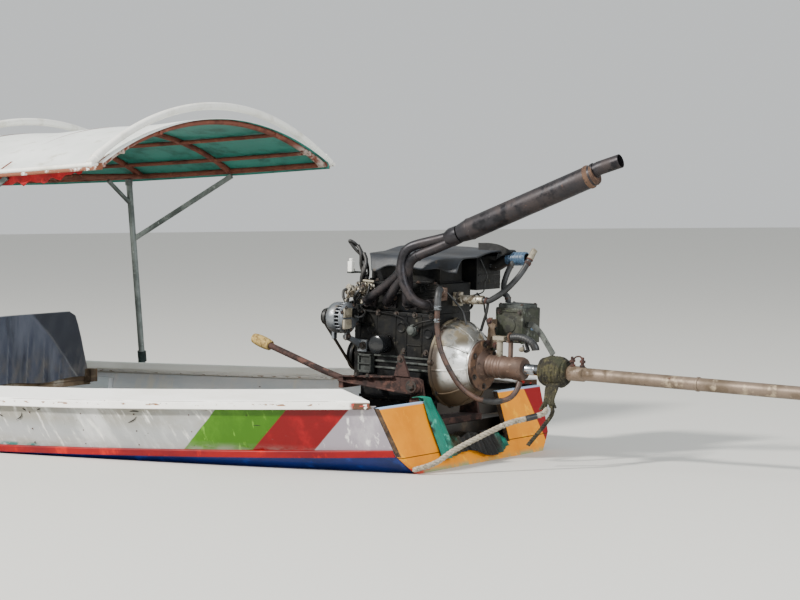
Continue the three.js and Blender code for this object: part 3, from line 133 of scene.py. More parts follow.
def added(shapes):
    """Several shapes as one: each one's faces count on from the points before it."""
    starts = np.cumsum([0] + [len(s[0]) for s in shapes[:-1]])
    points = np.concatenate([s[0] for s in shapes])
    quads = np.concatenate([s[1] + start for s, start in zip(shapes, starts)])
    share = np.concatenate([s[2] for s in shapes])
    ends = [end + start for s, start in zip(shapes, starts) for end in s[3]]
    return points, quads, share, ends


def moved(shape, change):
    """The shape with its points passed through a function of the whole array."""
    return (change(shape[0]), *shape[1:])


def spun(points, axis, angle):
    """Points turned about a coordinate axis by the right-hand rule."""
    a, b = [(1, 2), (2, 0), (0, 1)][axis]
    out = points.copy()
    out[..., a] = points[..., a] * np.cos(angle) - points[..., b] * np.sin(angle)
    out[..., b] = points[..., a] * np.sin(angle) + points[..., b] * np.cos(angle)
    return out


# %% [markdown]
# A piece also needs a body to ride on, the solid of the model that it stands for, and a finish. One
# function does that for all of them. Corners are softened by a Bevel modifier, because no real edge is
# sharp and a softened one catches the light.

# %% Pieces
SMOOTH_ANGLE = math.radians(32)
made_faces = {}


def piece(name, shape, body, slot, bevel=0.0, stands_for=(), outward=True, weld=0.0):
    """A mesh object from a shape, finished with the material of a slot and riding on a body."""
    points, quads, share, ends = shape
    mesh = bpy.data.meshes.new(name)
    mesh.from_pydata(points.tolist(), [], quads.tolist() + [end.tolist() for end in ends])
    flat_map = np.zeros((len(mesh.loops), 2), np.float32)
    flat_map[:len(quads) * 4] = share.reshape(-1, 2)
    mesh.uv_layers.new(name="map").data.foreach_set("uv", flat_map.ravel())
    return finished(name, mesh, body, slot, bevel, stands_for, outward, weld)


def finished(name, mesh, body, slot, bevel=0.0, stands_for=(), outward=True, weld=0.0):
    """The object of a mesh: points closer than the weld merged, faces turned outwards, smooth between
    soft edges, bevelled at hard ones."""
    if outward or weld:
        work = bmesh.new()
        work.from_mesh(mesh)
        if weld:
            bmesh.ops.remove_doubles(work, verts=work.verts, dist=weld)
        if outward:
            bmesh.ops.recalc_face_normals(work, faces=work.faces)
        work.to_mesh(mesh)
        work.free()
    mesh.shade_smooth()
    mesh.set_sharp_from_angle(angle=SMOOTH_ANGLE)
    mesh.materials.append(materials[slot])
    made = bpy.data.objects.new(name, mesh)
    bpy.context.scene.collection.objects.link(made)
    if bevel:
        soft = made.modifiers.new("softened edges", "BEVEL")
        soft.width, soft.segments = bevel, 2
        soft.limit_method, soft.angle_limit = "ANGLE", SMOOTH_ANGLE
    if body:
        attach(made, body)
    if stands_for:
        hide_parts(*stands_for)
    made_faces[name] = len(mesh.polygons)
    return made


def from_frame(node, bevel, slot=None):
    """A copy of a solid of the model with its doubled points merged, flat faces joined and edges softened."""
    body = frame["nodes"][node]["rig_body"]
    slots = {row["node"]: row["material_slot"] for row in frame["record"]["subparts"]}
    mesh = frame["nodes"][node].data.copy()
    mesh.materials.clear()
    work = bmesh.new()
    work.from_mesh(mesh)
    bmesh.ops.remove_doubles(work, verts=work.verts, dist=2e-5)
    bmesh.ops.dissolve_limit(work, angle_limit=math.radians(1), verts=work.verts, edges=work.edges)
    work.to_mesh(mesh)
    work.free()
    return finished(node + "_fine", mesh, body, slot or slots[node], bevel, (node,))


def thickened(made, thick, offset=1.0, skin=None):
    """A sheet made thick. A skin is the finish of the side that this adds, and of the rim."""
    change = made.modifiers.new("thickness", "SOLIDIFY")
    change.thickness, change.offset = thick, offset
    if skin:
        made.data.materials.append(materials[skin])
        change.material_offset = change.material_offset_rim = 1


# %% [markdown]
# ## Paths, tubes and turned parts
#
# Pipes, hoses and ropes are all a ring carried along a path. Chosen points become a smooth path, the
# path gets two directions across it at each point, and a ring of points is set out in those directions.

# %% Paths and tubes
def unit(vectors):
    """The same directions with length 1."""
    return vectors / np.linalg.norm(vectors, axis=-1, keepdims=True)


def cubic(a, b, c, d, u):
    """A cubic from a to b with the slopes c and d at its ends, at a share u of the way."""
    return (2 * a - 2 * b + c + d) * u**3 + (3 * b - 3 * a - 2 * c - d) * u**2 + c * u + a


def smooth_path(points, count=60):
    """A path through the points: between two of them a cubic, whose slope at a point is half the step
    between its neighbours. The places on it are then spaced evenly by length."""
    points = np.array(points, float)
    slope = np.gradient(points, axis=0)
    t = np.linspace(0, len(points) - 1, count * 8)
    k = np.minimum(t.astype(int), len(points) - 2)
    return evenly(cubic(points[k], points[k + 1], slope[k], slope[k + 1], (t - k)[:, None]), count)


def centripetal(points, count):
    """A smooth path through points whose steps differ much in length: the places are spaced by the
    square root of the step before the cubic is drawn through them."""
    points = np.array(points, float)
    knots = np.concatenate([[0], np.cumsum(np.linalg.norm(np.diff(points, axis=0), axis=1) ** 0.5)])
    slope = np.gradient(points, knots, axis=0)
    t = np.linspace(0, knots[-1], count * 10)
    k = np.clip(np.searchsorted(knots, t, side="right") - 1, 0, len(points) - 2)
    h = (knots[k + 1] - knots[k])[:, None]
    u = (t - knots[k])[:, None] / h
    return evenly(cubic(points[k], points[k + 1], slope[k] * h, slope[k + 1] * h, u), count)


def evenly(path, count):
    """The same path with its places spaced evenly by length."""
    run = np.concatenate([[0], np.cumsum(np.linalg.norm(np.diff(path, axis=0), axis=1))])
    return np.stack([np.interp(np.linspace(0, run[-1], count), run, path[:, k]) for k in range(3)], 1)


def length_of(path):
    return float(np.linalg.norm(np.diff(path, axis=0), axis=1).sum())


def sideways(along):
    """Two directions across each direction, from the coordinate axis that they all run least along."""
    reference = np.eye(3)[np.argmin(np.abs(along).max(axis=0))]
    side = unit(np.cross(along, reference))
    return side, np.cross(along, side)


def across(path):
    """Two directions across the path at each place."""
    return sideways(unit(np.gradient(path, axis=0)))


def circles(side, up, sides):
    """A circle of radius 1 for each pair of directions."""
    turn = np.linspace(0, 2 * np.pi, sides, endpoint=False)[None, :, None]
    return np.cos(turn) * side[:, None] + np.sin(turn) * up[:, None]


def tube(path, radius, sides=20):
    """A ring of the given radius carried along the path. The radius may change along it."""
    radius = np.broadcast_to(np.asarray(radius, float), len(path))[:, None, None]
    return grid(path[:, None] + radius * circles(*across(path), sides), scale=(length_of(path), 1.0))


def hose_with_bore(path, radius, wall, deep, sides=20):
    """A tube whose far end is open: its rings run out along the path, over the lip and back inside."""
    last = len(path) - 1
    places = np.concatenate([np.arange(last + 1), [last, last - deep]])
    radii = np.concatenate([np.full(last + 1, radius), [radius - wall] * 2])[:, None, None]
    rings = circles(*across(path), sides)[places]
    return grid(path[places, None] + radii * rings, scale=(length_of(path), 1.0))


def pipe(start, end, radius, sides=20, steps=2):
    """A straight round bar or pipe from one point to another."""
    start, end = np.array(start, float), np.array(end, float)
    return tube(start + np.linspace(0, 1, steps)[:, None] * (end - start), radius, sides)


def helix_on(path, radius, turns, phase, count):
    """A path that winds round another: at each place it stands off across it by the radius."""
    core = evenly(path, count)
    side, up = across(core)
    turn = (phase + np.linspace(0, 2 * np.pi * turns, count))[:, None]
    return core + radius * (np.cos(turn) * side + np.sin(turn) * up)


def laid_rope(path, radius, lay):
    """A laid rope: three strands of a little over half its radius, wound round the path side by side."""
    turns = length_of(path) / lay
    count = max(int(turns * 10), 8)
    thick = radius * STRAND_SHARE
    return added([tube(helix_on(path, radius - thick, turns, phase, count), thick, 7)
                  for phase in np.arange(3) * 2 * np.pi / 3])


def turned(profile, start, end, sides=48):
    """A lathe part. The profile's [distance, radius] pairs are set out from start towards end."""
    profile, start = np.array(profile, float), np.array(start, float)
    along = unit(np.array(end, float) - start)
    rings = circles(*sideways(along[None]), sides)
    points = start + profile[:, :1, None] * along + profile[:, 1:, None] * rings
    return grid(points, scale=(profile[-1, 0] - profile[0, 0], 1.0))


def ring_round(path, share, radius, width, thick, sides=28):
    """A band or bead round a tube, at a share of its path."""
    place = min(max(int(share * (len(path) - 1)), 1), len(path) - 2)
    along = unit(path[place + 1] - path[place - 1])
    half, inner, outer = width / 2, radius * 0.9, radius + thick
    profile = [[-half, inner], [-half, outer], [half, outer], [half, inner]]
    return turned(profile, path[place], path[place] + along, sides)


# %% [markdown]
# Boards, brackets and castings start as plain prisms: an outline and a thickness. Bolt heads are one
# small hexagonal shape that numpy copies to a whole list of places at once.

# %% Prisms and bolts
FLATS_TO_RADIUS = 0.577
STRAND_SHARE = 0.54


def prism(outline, y_low, y_high):
    """An outline of (x, z) points given thickness along Y."""
    outline = np.array(outline, float)
    return grid(np.stack([np.insert(outline, 1, y, axis=1) for y in (y_low, y_high)]))


def block(x, y, z):
    """A box between two places along each axis."""
    return prism([(x[0], z[0]), (x[1], z[0]), (x[1], z[1]), (x[0], z[1])], y[0], y[1])


def side_limits(side, near, far):
    """Two places across the boat, on its port side (1) or starboard side (-1), the lower one first."""
    return sorted((side * near, side * far))


def squared(path, width, thick, face):
    """A bar of rectangular section along a path, its broad side turned towards a direction."""
    along = unit(np.gradient(path, axis=0))
    side = unit(np.cross(along, np.array(face, float)))
    corners = np.array([(-1, -1), (1, -1), (1, 1), (-1, 1)]) / 2 * (width, thick)
    rings = corners[:, :1] * side[:, None] + corners[:, 1:] * np.cross(side, along)[:, None]
    return grid(path[:, None] + rings, scale=(length_of(path), 1.0))


def strap_along(points, width, thick, face, count=24):
    """A flat strap along a smooth path."""
    return squared(smooth_path(points, count), width, thick, face)


def bolts(places, direction, across_flats, high):
    """Hexagonal bolt heads on round washers: first all heads, then all washers."""
    radius = across_flats * FLATS_TO_RADIUS
    head = [[0, radius], [high * 0.8, radius], [high, radius * 0.82]]
    washer = [[0, radius * 1.7], [high * 0.22, radius * 1.7]]
    return added([turned(profile, place, place + direction, sides)
                  for profile, sides in ((head, 6), (washer, 14)) for place in np.array(places, float)])


def ripple(points, size, seed):
    """Smooth irregular numbers from -1 to 1 over space: a sum of waves in seeded directions."""
    draw = np.random.default_rng(seed)
    waves = unit(draw.normal(size=(9, 3)))
    stretch = draw.uniform(0.5, 1.9, 9)
    phase = draw.uniform(0, 2 * np.pi, 9)
    return np.sin(points @ (waves * stretch[:, None]).T * (2 * np.pi / size) + phase).mean(axis=-1) * 1.7


def node_points(node):
    """The corners of a solid of the model, each once."""
    mesh = frame["nodes"][node].data
    co = np.empty(len(mesh.vertices) * 3, np.float32)
    mesh.vertices.foreach_get("co", co)
    return np.unique(co.reshape(-1, 3).round(5), axis=0)


def face_normals(made):
    """The three parts of every face's normal, as three arrays."""
    normals = np.empty(len(made.data.polygons) * 3, np.float32)
    made.data.polygons.foreach_get("normal", normals)
    return normals.reshape(-1, 3).T


def more_finishes(made, kinds, *slots):
    """Faces of kind 1, 2 and on take these finishes instead of the first one."""
    for slot in slots:
        made.data.materials.append(materials[slot])
    made.data.polygons.foreach_set("material_index", kinds.astype(np.int32))


# %% [markdown]
# ## Finishes
#
# Everything on this boat is worn in layers: paint on wood, rust on steel, oil and dust on top. So a
# finish here is a base and a list of layers, and each layer shows through its own mask. The mask, the
# layering and the relief are node groups, built once and placed in every material with other numbers.

# %% Node helpers
def node(tree, kind, inputs=None, **settings):
    """A node with its settings and inputs; an input is a number, a colour or another node's output."""
    made = tree.nodes.new(kind)
    for key, value in settings.items():
        setattr(made, key, value)
    for key, value in (inputs or {}).items():
        if isinstance(value, bpy.types.NodeSocket):
            tree.links.new(value, made.inputs[key])
        else:
            made.inputs[key].default_value = value
    return made


def group(name, inputs, outputs):
    """An empty node group with named sockets, and its input and output nodes."""
    tree = bpy.data.node_groups.new(name, "ShaderNodeTree")
    for label, kind, value in inputs:
        sock = tree.interface.new_socket(label, in_out="INPUT", socket_type="NodeSocket" + kind)
        if value is not None:
            sock.default_value = value
    for label, kind in outputs:
        tree.interface.new_socket(label, in_out="OUTPUT", socket_type="NodeSocket" + kind)
    return tree, tree.nodes.new("NodeGroupInput").outputs, tree.nodes.new("NodeGroupOutput").inputs


def placed(tree, group_tree, inputs):
    """The outputs of a node group placed in a tree."""
    return node(tree, "ShaderNodeGroup", inputs, node_tree=group_tree).outputs


def maths(tree, operation, a, b=0.0):
    """The output of a Math node."""
    return node(tree, "ShaderNodeMath", {0: a, 1: b}, operation=operation).outputs[0]


def smooth_step(tree, value, low, high, start=0.0, end=1.0):
    """From start to end as a value passes from low to high."""
    limits = {"Value": value, "From Min": low, "From Max": high, "To Min": start, "To Max": end}
    return node(tree, "ShaderNodeMapRange", limits, interpolation_type="SMOOTHSTEP").outputs[0]


# %% Node groups: patches, layer, relief
def noise_in(tree, given, detail, rough):
    """The noise of a group, read at its own place, stretch and scale."""
    place = node(tree, "ShaderNodeVectorMath", {0: given["Vector"], 1: given["Stretch"]},
        operation="MULTIPLY")
    return node(tree, "ShaderNodeTexNoise", {"Vector": place.outputs[0], "Scale": given["Scale"],
            "Detail": detail, "Roughness": rough}).outputs["Fac"]


patches, given, out = group(
    "Patches",
    [("Vector", "Vector", None), ("Stretch", "Vector", (1, 1, 1)), ("Scale", "Float", 5.0),
     ("Amount", "Float", 0.5), ("Softness", "Float", 0.05), ("Detail", "Float", 6.0)],
    [("Mask", "Float"), ("Noise", "Float")],
)
noise = noise_in(patches, given, given["Detail"], 0.62)
level = maths(patches, "SUBTRACT", 1.0, given["Amount"])
mask = smooth_step(patches, noise, maths(patches, "SUBTRACT", level, given["Softness"]),
                   maths(patches, "ADD", level, given["Softness"]))
patches.links.new(mask, out["Mask"])
patches.links.new(noise, out["Noise"])

layer, given, out = group(
    "Layer",
    [("Colour", "Color", (1, 1, 1, 1)), ("Roughness", "Float", 0.5), ("Metallic", "Float", 0.0),
     ("Top Colour", "Color", (1, 1, 1, 1)), ("Top Roughness", "Float", 0.5), ("Top Metallic", "Float", 0.0),
     ("Mask", "Float", 0.0)],
    [("Colour", "Color"), ("Roughness", "Float"), ("Metallic", "Float")],
)
mix = node(layer, "ShaderNodeMix", {0: given["Mask"], 6: given["Colour"], 7: given["Top Colour"]},
    data_type="RGBA")
layer.links.new(mix.outputs[2], out["Colour"])
for label in ("Roughness", "Metallic"):
    mix = node(layer, "ShaderNodeMix", {0: given["Mask"], 2: given[label], 3: given["Top " + label]},
               data_type="FLOAT")
    layer.links.new(mix.outputs[0], out[label])

relief, given, out = group(
    "Relief",
    [("Vector", "Vector", None), ("Stretch", "Vector", (1, 1, 1)), ("Scale", "Float", 20.0),
     ("Depth", "Float", 1.0), ("Before", "Float", 0.0)],
    [("Height", "Float")],
)
depth = maths(relief, "MULTIPLY", noise_in(relief, given, 5.0, 0.55), given["Depth"])
relief.links.new(maths(relief, "ADD", depth, given["Before"]), out["Height"])

# %% [markdown]
# A woven cloth is two sets of threads that pass over and under each other: two waves of the
# piece's own map, one across the other. It gives both a height and a slight change of tone.

# %% Node group: weave
weave, given, out = group(
    "Weave",
    [("Map", "Vector", None), ("Threads", "Float", 400.0)],
    [("Height", "Float")],
)
waves = []
for along in node(weave, "ShaderNodeSeparateXYZ", {0: given["Map"]}).outputs[:2]:
    angle = maths(weave, "MULTIPLY", maths(weave, "MULTIPLY", along, given["Threads"]), 2 * math.pi)
    waves.append(maths(weave, "SINE", angle))
height = node(weave, "ShaderNodeMath", {0: maths(weave, "MULTIPLY", *waves), 1: 0.5, 2: 0.5},
              operation="MULTIPLY_ADD")
weave.links.new(height.outputs[0], out["Height"])


# %% [markdown]
# A finish is begun as a Coat and worn in layers. A layer has its colour, roughness and metal, then its
# mask's scale, amount, softness and stretch. A region is an optional extra mask, such as only the low
# part of the hull, made in the material's own nodes.

# %% The finish function
materials = {}


def rgb(value):
    """A colour as it is seen, from #rrggbb, turned into the linear numbers that a shader wants."""
    parts = np.array([int(value[k:k + 2], 16) for k in (1, 3, 5)]) / 255
    linear = np.where(parts <= 0.04045, parts / 12.92, ((parts + 0.055) / 1.055) ** 2.4)
    return (*linear.tolist(), 1.0)


class Coat:
    """A material in the making: its node tree, where its patterns are read, and what it shows so far."""

    def __init__(self, slot, base, rough, metal=0.0):
        self.material = bpy.data.materials.new(slot)
        self.material.use_nodes = True
        self.tree = self.material.node_tree
        self.shader = self.tree.nodes["Principled BSDF"]
        coordinates = self.tree.nodes.new("ShaderNodeTexCoord").outputs
        self.place, self.map = coordinates["Object"], coordinates["UV"]
        self.xyz = node(self.tree, "ShaderNodeSeparateXYZ", {0: self.place}).outputs
        self.shown = [rgb(base), rough, metal]
        self.height = None
        materials[slot] = self.material

    def times(self, a, b):
        """The product of two values."""
        return maths(self.tree, "MULTIPLY", a, b)

    def plus(self, a, b):
        """The sum of two values."""
        return maths(self.tree, "ADD", a, b)

    def lean(self, x=0.0, y=0.0, z=0.0, start=0.0):
        """Shares of the coordinates added up: a value that grows in one slanted direction."""
        for axis, share in zip(self.xyz, (x, y, z)):
            if share:
                start = self.plus(self.times(axis, share), start)
        return start

    def within(self, value, low, high, soft):
        """1 where a value lies between two limits, with a soft edge."""
        up = smooth_step(self.tree, value, low - soft, low + soft)
        return self.times(up, smooth_step(self.tree, value, high - soft, high + soft, 1.0, 0.0))

    def box(self, **limits):
        """1 inside the limits along x, y and z, each given as (low, high, softness)."""
        parts = [self.within(self.xyz["xyz".index(axis)], *three) for axis, three in limits.items()]
        return parts[0] if len(parts) == 1 else self.times(*parts)

    def mask(self, scale, amount, soft=0.05, stretch=(1, 1, 1), region=None, shift=0.0):
        """Where a layer shows: irregular patches, inside a region if one is given."""
        place = self.place
        if shift:
            place = node(self.tree, "ShaderNodeVectorMath", {0: place, 1: (shift, shift, shift)},
                         operation="ADD").outputs[0]
        patch = placed(self.tree, patches, {"Vector": place, "Stretch": stretch, "Scale": scale,
                                            "Amount": amount, "Softness": soft})["Mask"]
        return patch if region is None else self.times(patch, region)

    def layer(self, colour, rough, metal, mask):
        """A layer that shows where its mask does."""
        names = ("Colour", "Roughness", "Metallic")
        inputs = dict(zip(names, self.shown))
        inputs.update({"Top " + key: value for key, value in zip(names, (rgb(colour), rough, metal))})
        inputs["Mask"] = mask
        outputs = placed(self.tree, layer, inputs)
        self.shown = [outputs[key] for key in names]
        return self

    def worn(self, colour, rough, metal, scale, amount, soft=0.05, stretch=(1, 1, 1), region=None, shift=0.0):
        """A layer that shows in patches."""
        return self.layer(colour, rough, metal, self.mask(scale, amount, soft, stretch, region, shift))

    def chipped(self, colour, depth_mm, *where, **more):
        """Patches where the paint is gone: another colour, and a lower surface. Returns their mask."""
        chip = self.mask(*where, **more)
        self.layer(colour, 0.85, 0, chip).lower(chip, depth_mm)
        return chip

    def relief(self, scale, depth_mm, stretch=(1, 1, 1)):
        """Uneven height, in millimetres from low to high."""
        before = self.height if self.height is not None else 0.0
        self.height = placed(self.tree, relief, {"Vector": self.place, "Stretch": stretch, "Scale": scale,
                                                 "Depth": depth_mm, "Before": before})["Height"]
        return self

    def lower(self, mask, depth_mm):
        """The surface stands lower, or higher with a depth below zero, where a mask shows."""
        cut = self.times(mask, -depth_mm)
        self.height = cut if self.height is None else self.plus(self.height, cut)
        return self

    def done(self, **constants):
        """Joins what is shown to the shader's sockets; what is the same all over is set on the socket."""
        for key, value in zip(("Base Color", "Roughness", "Metallic"), self.shown):
            if isinstance(value, bpy.types.NodeSocket):
                self.tree.links.new(value, self.shader.inputs[key])
            else:
                self.shader.inputs[key].default_value = value
        if self.height is not None:
            bump = node(self.tree, "ShaderNodeBump", {"Height": self.height, "Distance": 0.001,
                    "Strength": 1.0})
            self.tree.links.new(bump.outputs[0], self.shader.inputs["Normal"])
        for key, value in constants.items():
            self.shader.inputs[key.replace("_", " ")].default_value = value


# %% [markdown]
# ### Paint on wood
#
# The outer side is grey-white with slanting scuffs; its grey is partly painted shade over white paint.
# Two stripes, green and red, cross it near the stern, and aft of them it turns lilac grey. The stripes
# lean forward as they go down, so they are bands of x plus a share of z. The inner faces are old white
# paint, darkened with oil round the engine.

# %% Painted wood
STRIPE_LEAN = 1.06
STRIPE_FOOT_Z = 0.06
STRIPE_EDGES = (-4.183, -3.915, -3.602)
SCUFF_ACROSS, SCUFF_ALONG = {"x": 0.85, "z": -0.5}, {"x": 0.5, "z": 0.85}


def hull_paint():
    """White with scuffs and stains, chipped, and dark near the engine."""
    coat = Coat("white_paint", "#f4f7fa", 0.55)
    coat.worn("#d3dee8", 0.6, 0, 3.0, 0.5, 0.2, (0.4, 1, 1.6))
    coat.worn("#f4f3ee", 0.5, 0, 9.0, 0.42, 0.12, (1, 1, 0.35))
    coat.worn("#b4b5b0", 0.7, 0, 26.0, 0.27, 0.06, (0.5, 1, 1))
    coat.worn("#6f6757", 0.8, 0, 60.0, 0.22, 0.03, (0.25, 1, 1.5))
    coat.chipped("#5b4a38", 0.5, 34.0, 0.27, 0.01, (0.5, 1, 1.4))
    bay = coat.box(x=(-5.0, -4.14, 0.05), z=(-1.0, 0.4, 0.03))
    coat.worn("#15110c", 0.5, 0, 5.0, 0.84, 0.12, region=bay, shift=3.0)
    oily = coat.box(x=(-5.0, -3.8, 0.2), z=(-1.0, 0.19, 0.03))
    coat.worn("#17120d", 0.5, 0, 6.0, 0.78, 0.14, (1, 1, 0.6), oily, 6.0)
    coat.relief(14.0, 0.9, (0.2, 1, 1)).relief(160.0, 0.15)
    coat.done(Specular_IOR_Level=0.2)


def striped_paint():
    """The outer side: scuffs read in slanted directions, then the lilac part and the two stripes."""
    # The grey base and the darker layers on it are partly painted shade over white paint.
    coat = Coat("side_paint", "#a3a4a4", 0.5)
    coat.worn("#919494", 0.55, 0, 2.6, 0.5, 0.2, (0.5, 1, 1.2))
    coat.worn("#8b8980", 0.6, 0, 5.0, 0.5, 0.14, (0.4, 1, 1), coat.box(z=(0.145, 0.3, 0.03)), 6.0)
    straight = coat.place
    coat.place = node(coat.tree, "ShaderNodeCombineXYZ", {0: coat.lean(**SCUFF_ACROSS),
                                                          2: coat.lean(**SCUFF_ALONG)}).outputs[0]
    coat.worn("#bfc0be", 0.5, 0, 9.0, 0.42, 0.1, (1, 1, 0.28), shift=4.0)
    coat.worn("#dddcd6", 0.5, 0, 34.0, 0.4, 0.06, (1, 1, 0.25), coat.mask(5.0, 0.52, 0.1), 2.0)
    coat.place = straight
    coat.worn("#76756f", 0.65, 0, 70.0, 0.31, 0.04)
    wobble = coat.times(placed(coat.tree, patches, {"Vector": coat.place, "Scale": 9.0})["Noise"], 0.012)
    along = coat.plus(coat.lean(x=1.0, z=STRIPE_LEAN, start=-STRIPE_FOOT_Z * STRIPE_LEAN), wobble)
    red_aft, red_fore, green_fore = STRIPE_EDGES
    lilac = coat.within(along, -9.0, red_aft, 0.003)
    coat.layer("#8d868e", 0.5, 0, lilac)
    coat.worn("#a9a4a8", 0.5, 0, 7.0, 0.44, 0.1, (1, 1, 0.6), lilac, 5.0)
    coat.worn("#d3cfcd", 0.5, 0, 30.0, 0.39, 0.05, (1, 1, 0.5), lilac, 8.0)
    green = coat.within(along, (red_aft + red_fore) / 2, green_fore, 0.003)
    coat.layer("#356204", 0.45, 0, green)
    coat.worn("#4a7c14", 0.45, 0, 6.0, 0.42, 0.12, (1, 1, 0.5), green, 3.0)
    coat.worn("#5f9228", 0.5, 0, 26.0, 0.37, 0.05, (1, 1, 0.4), green, 14.0)
    red = coat.within(along, red_aft, red_fore, 0.003)
    coat.layer("#6a0006", 0.4, 0, red)
    coat.worn("#92040f", 0.45, 0, 8.0, 0.4, 0.12, region=red, shift=6.0)
    coat.worn("#8f8e86", 0.7, 0, 18.0, 0.5, 0.14, (0.4, 1, 1.4), coat.box(z=(-0.05, 0.075, 0.03)))
    coat.worn("#3c6f69", 0.6, 0, 7.0, 0.42, 0.03, (0.6, 1, 1), coat.box(z=(-0.05, 0.052, 0.006)), 1.0)
    scratch = coat.mask(42.0, 0.285, 0.012, (0.22, 1, 1.7))
    coat.layer("#4d463d", 0.8, 0, scratch).lower(scratch, 0.4)
    coat.relief(9.0, 1.4, (0.15, 1, 1)).relief(200.0, 0.12)
    coat.done(Specular_IOR_Level=0.25)


def plain_paint(slot, colour, dark, light):
    """One colour of paint on a board, faded in places, rubbed through at a few spots."""
    coat = Coat(slot, colour, 0.42)
    coat.worn(dark, 0.5, 0, 5.0, 0.45, 0.15, (0.6, 1, 1))
    coat.worn(light, 0.45, 0, 16.0, 0.36, 0.08, (1, 1, 0.6), shift=2.0)
    coat.chipped("#4a3a2a", 0.4, 46.0, 0.27, 0.012, (0.5, 1, 1.3))
    coat.relief(12.0, 1.0, (0.2, 1, 1)).relief(220.0, 0.12)
    coat.done(Specular_IOR_Level=0.25)


def cap_paint():
    """The caps: sunlit white with dirt in the low places and chips in a row along the outer edge. The
    row follows the sheer, which is a parabola of x, and the broken stern end shows wood and red."""
    coat = Coat("cap_paint", "#fdfcf8", 0.5)
    coat.worn("#e8e6dd", 0.55, 0, 4.0, 0.42, 0.16, (0.4, 1, 1))
    coat.worn("#b7ae9a", 0.75, 0, 20.0, 0.3, 0.06, (0.3, 1, 1.4), shift=2.0)
    coat.chipped("#6b4c34", 0.6, 30.0, 0.29, 0.012, (0.6, 1, 1.6), shift=1.0)
    coat.chipped("#2f2822", 0.3, 90.0, 0.27, 0.01, (0.5, 1, 1), shift=4.0)
    middle = coat.lean(x=1.0, start=1.2)
    rise = coat.plus(coat.lean(z=1.0, start=-0.2), coat.times(coat.times(middle, middle), -0.0057))
    edge = coat.within(rise, 0.010, 0.0185, 0.002)
    row = coat.chipped("#8a5f3a", 0.5, 52.0, 0.42, 0.012, (0.4, 0.6, 1.3), edge, 7.0)
    coat.worn("#2c231b", 0.85, 0, 60.0, 0.4, 0.012, (0.5, 0.5, 0.3), row, 9.0)
    line = coat.within(rise, 0.0262, 0.0285, 0.0008)
    coat.worn("#8d8a84", 0.7, 0, 6.0, 0.52, 0.05, (0.3, 1, 1), line, 3.0)
    broken = coat.times(coat.box(x=(-5.0, -4.415, 0.012)), coat.within(rise, -1.0, 0.022, 0.003))
    coat.worn("#4a3220", 0.85, 0, 30.0, 0.66, 0.02, (1, 1, 1.6), broken, 3.0)
    coat.worn("#b01f16", 0.6, 0, 40.0, 0.42, 0.012, (1, 1, 1.6), broken, 8.0)
    coat.relief(12.0, 1.0, (0.2, 1, 1)).relief(180.0, 0.12)
    coat.done()


hull_paint()
striped_paint()
cap_paint()
plain_paint("blue_paint", "#052069", "#04184e", "#0f3384")
plain_paint("red_paint", "#8c0307", "#660410", "#b01408")

# %% [markdown]
# The transom is orange with a red wedge at the starboard edge, a small red corner to port and a pale
# blue strip along its top edge. A crease runs across it where its two boards meet.

# %% Transom paint
TOP_STRIP_Z = 0.2565
SEAM_Z, SEAM_HALF = 0.066, 0.0015
RED_WEDGE_Y, RED_WEDGE_LEAN = -0.52, -0.22


def transom_paint():
    coat = Coat("orange_paint", "#ee9400", 0.5)
    coat.worn("#de8200", 0.5, 0, 5.0, 0.46, 0.14)
    coat.worn("#ffb000", 0.4, 0, 13.0, 0.38, 0.08, shift=2.0)
    wedge = coat.lean(y=1.0, z=RED_WEDGE_LEAN)
    coat.layer("#8a0208", 0.45, 0, coat.within(wedge, -2.0, RED_WEDGE_Y, 0.004))
    coat.layer("#d8231a", 0.45, 0, coat.box(y=(0.385, 2.0, 0.004), z=(-2.0, 0.022, 0.004)))
    coat.layer("#9fb9d6", 0.5, 0, coat.box(z=(TOP_STRIP_Z, 2.0, 0.003)))
    seam = coat.box(z=(SEAM_Z - SEAM_HALF, SEAM_Z + SEAM_HALF, 0.001))
    coat.layer("#5a3408", 0.8, 0, seam).lower(seam, 1.5)
    coat.worn("#8f9a70", 0.8, 0, 11.0, 0.5, 0.1, (1, 1, 0.4), coat.box(z=(-0.1, 0.012, 0.012)))
    coat.chipped("#4a3a2a", 0.4, 52.0, 0.265, 0.012)
    coat.relief(10.0, 1.2, (1, 0.2, 1)).relief(200.0, 0.12)
    coat.done(Specular_IOR_Level=0.2)


transom_paint()

# %% [markdown]
# ### Bare boards
#
# Weathered boards are grey-brown with long dark grain. The grain is noise stretched twenty to one along
# the board; boards that lie across the boat take the same finish with the stretch turned.

# %% Bare wood
def bare_wood(slot, stretch):
    coat = Coat(slot, "#7d6a52", 0.8)
    coat.worn("#5b4a38", 0.85, 0, 30.0, 0.48, 0.12, stretch)
    coat.worn("#9b8a70", 0.8, 0, 44.0, 0.4, 0.1, stretch, shift=5.0)
    coat.worn("#3d3227", 0.9, 0, 4.0, 0.42, 0.15)
    coat.worn("#a8a294", 0.85, 0, 9.0, 0.36, 0.1, shift=3.0)
    near_engine = coat.box(x=(-5.0, -3.85, 0.2), y=(-0.42, 0.42, 0.1))
    coat.worn("#1d1813", 0.4, 0, 6.0, 0.68, 0.14, region=near_engine, shift=8.0)
    coat.relief(60.0, 0.9, stretch).relief(200.0, 0.2, stretch)
    coat.done()


bare_wood("bare_wood", (0.06, 1, 1))
bare_wood("cross_wood", (1, 0.06, 1))
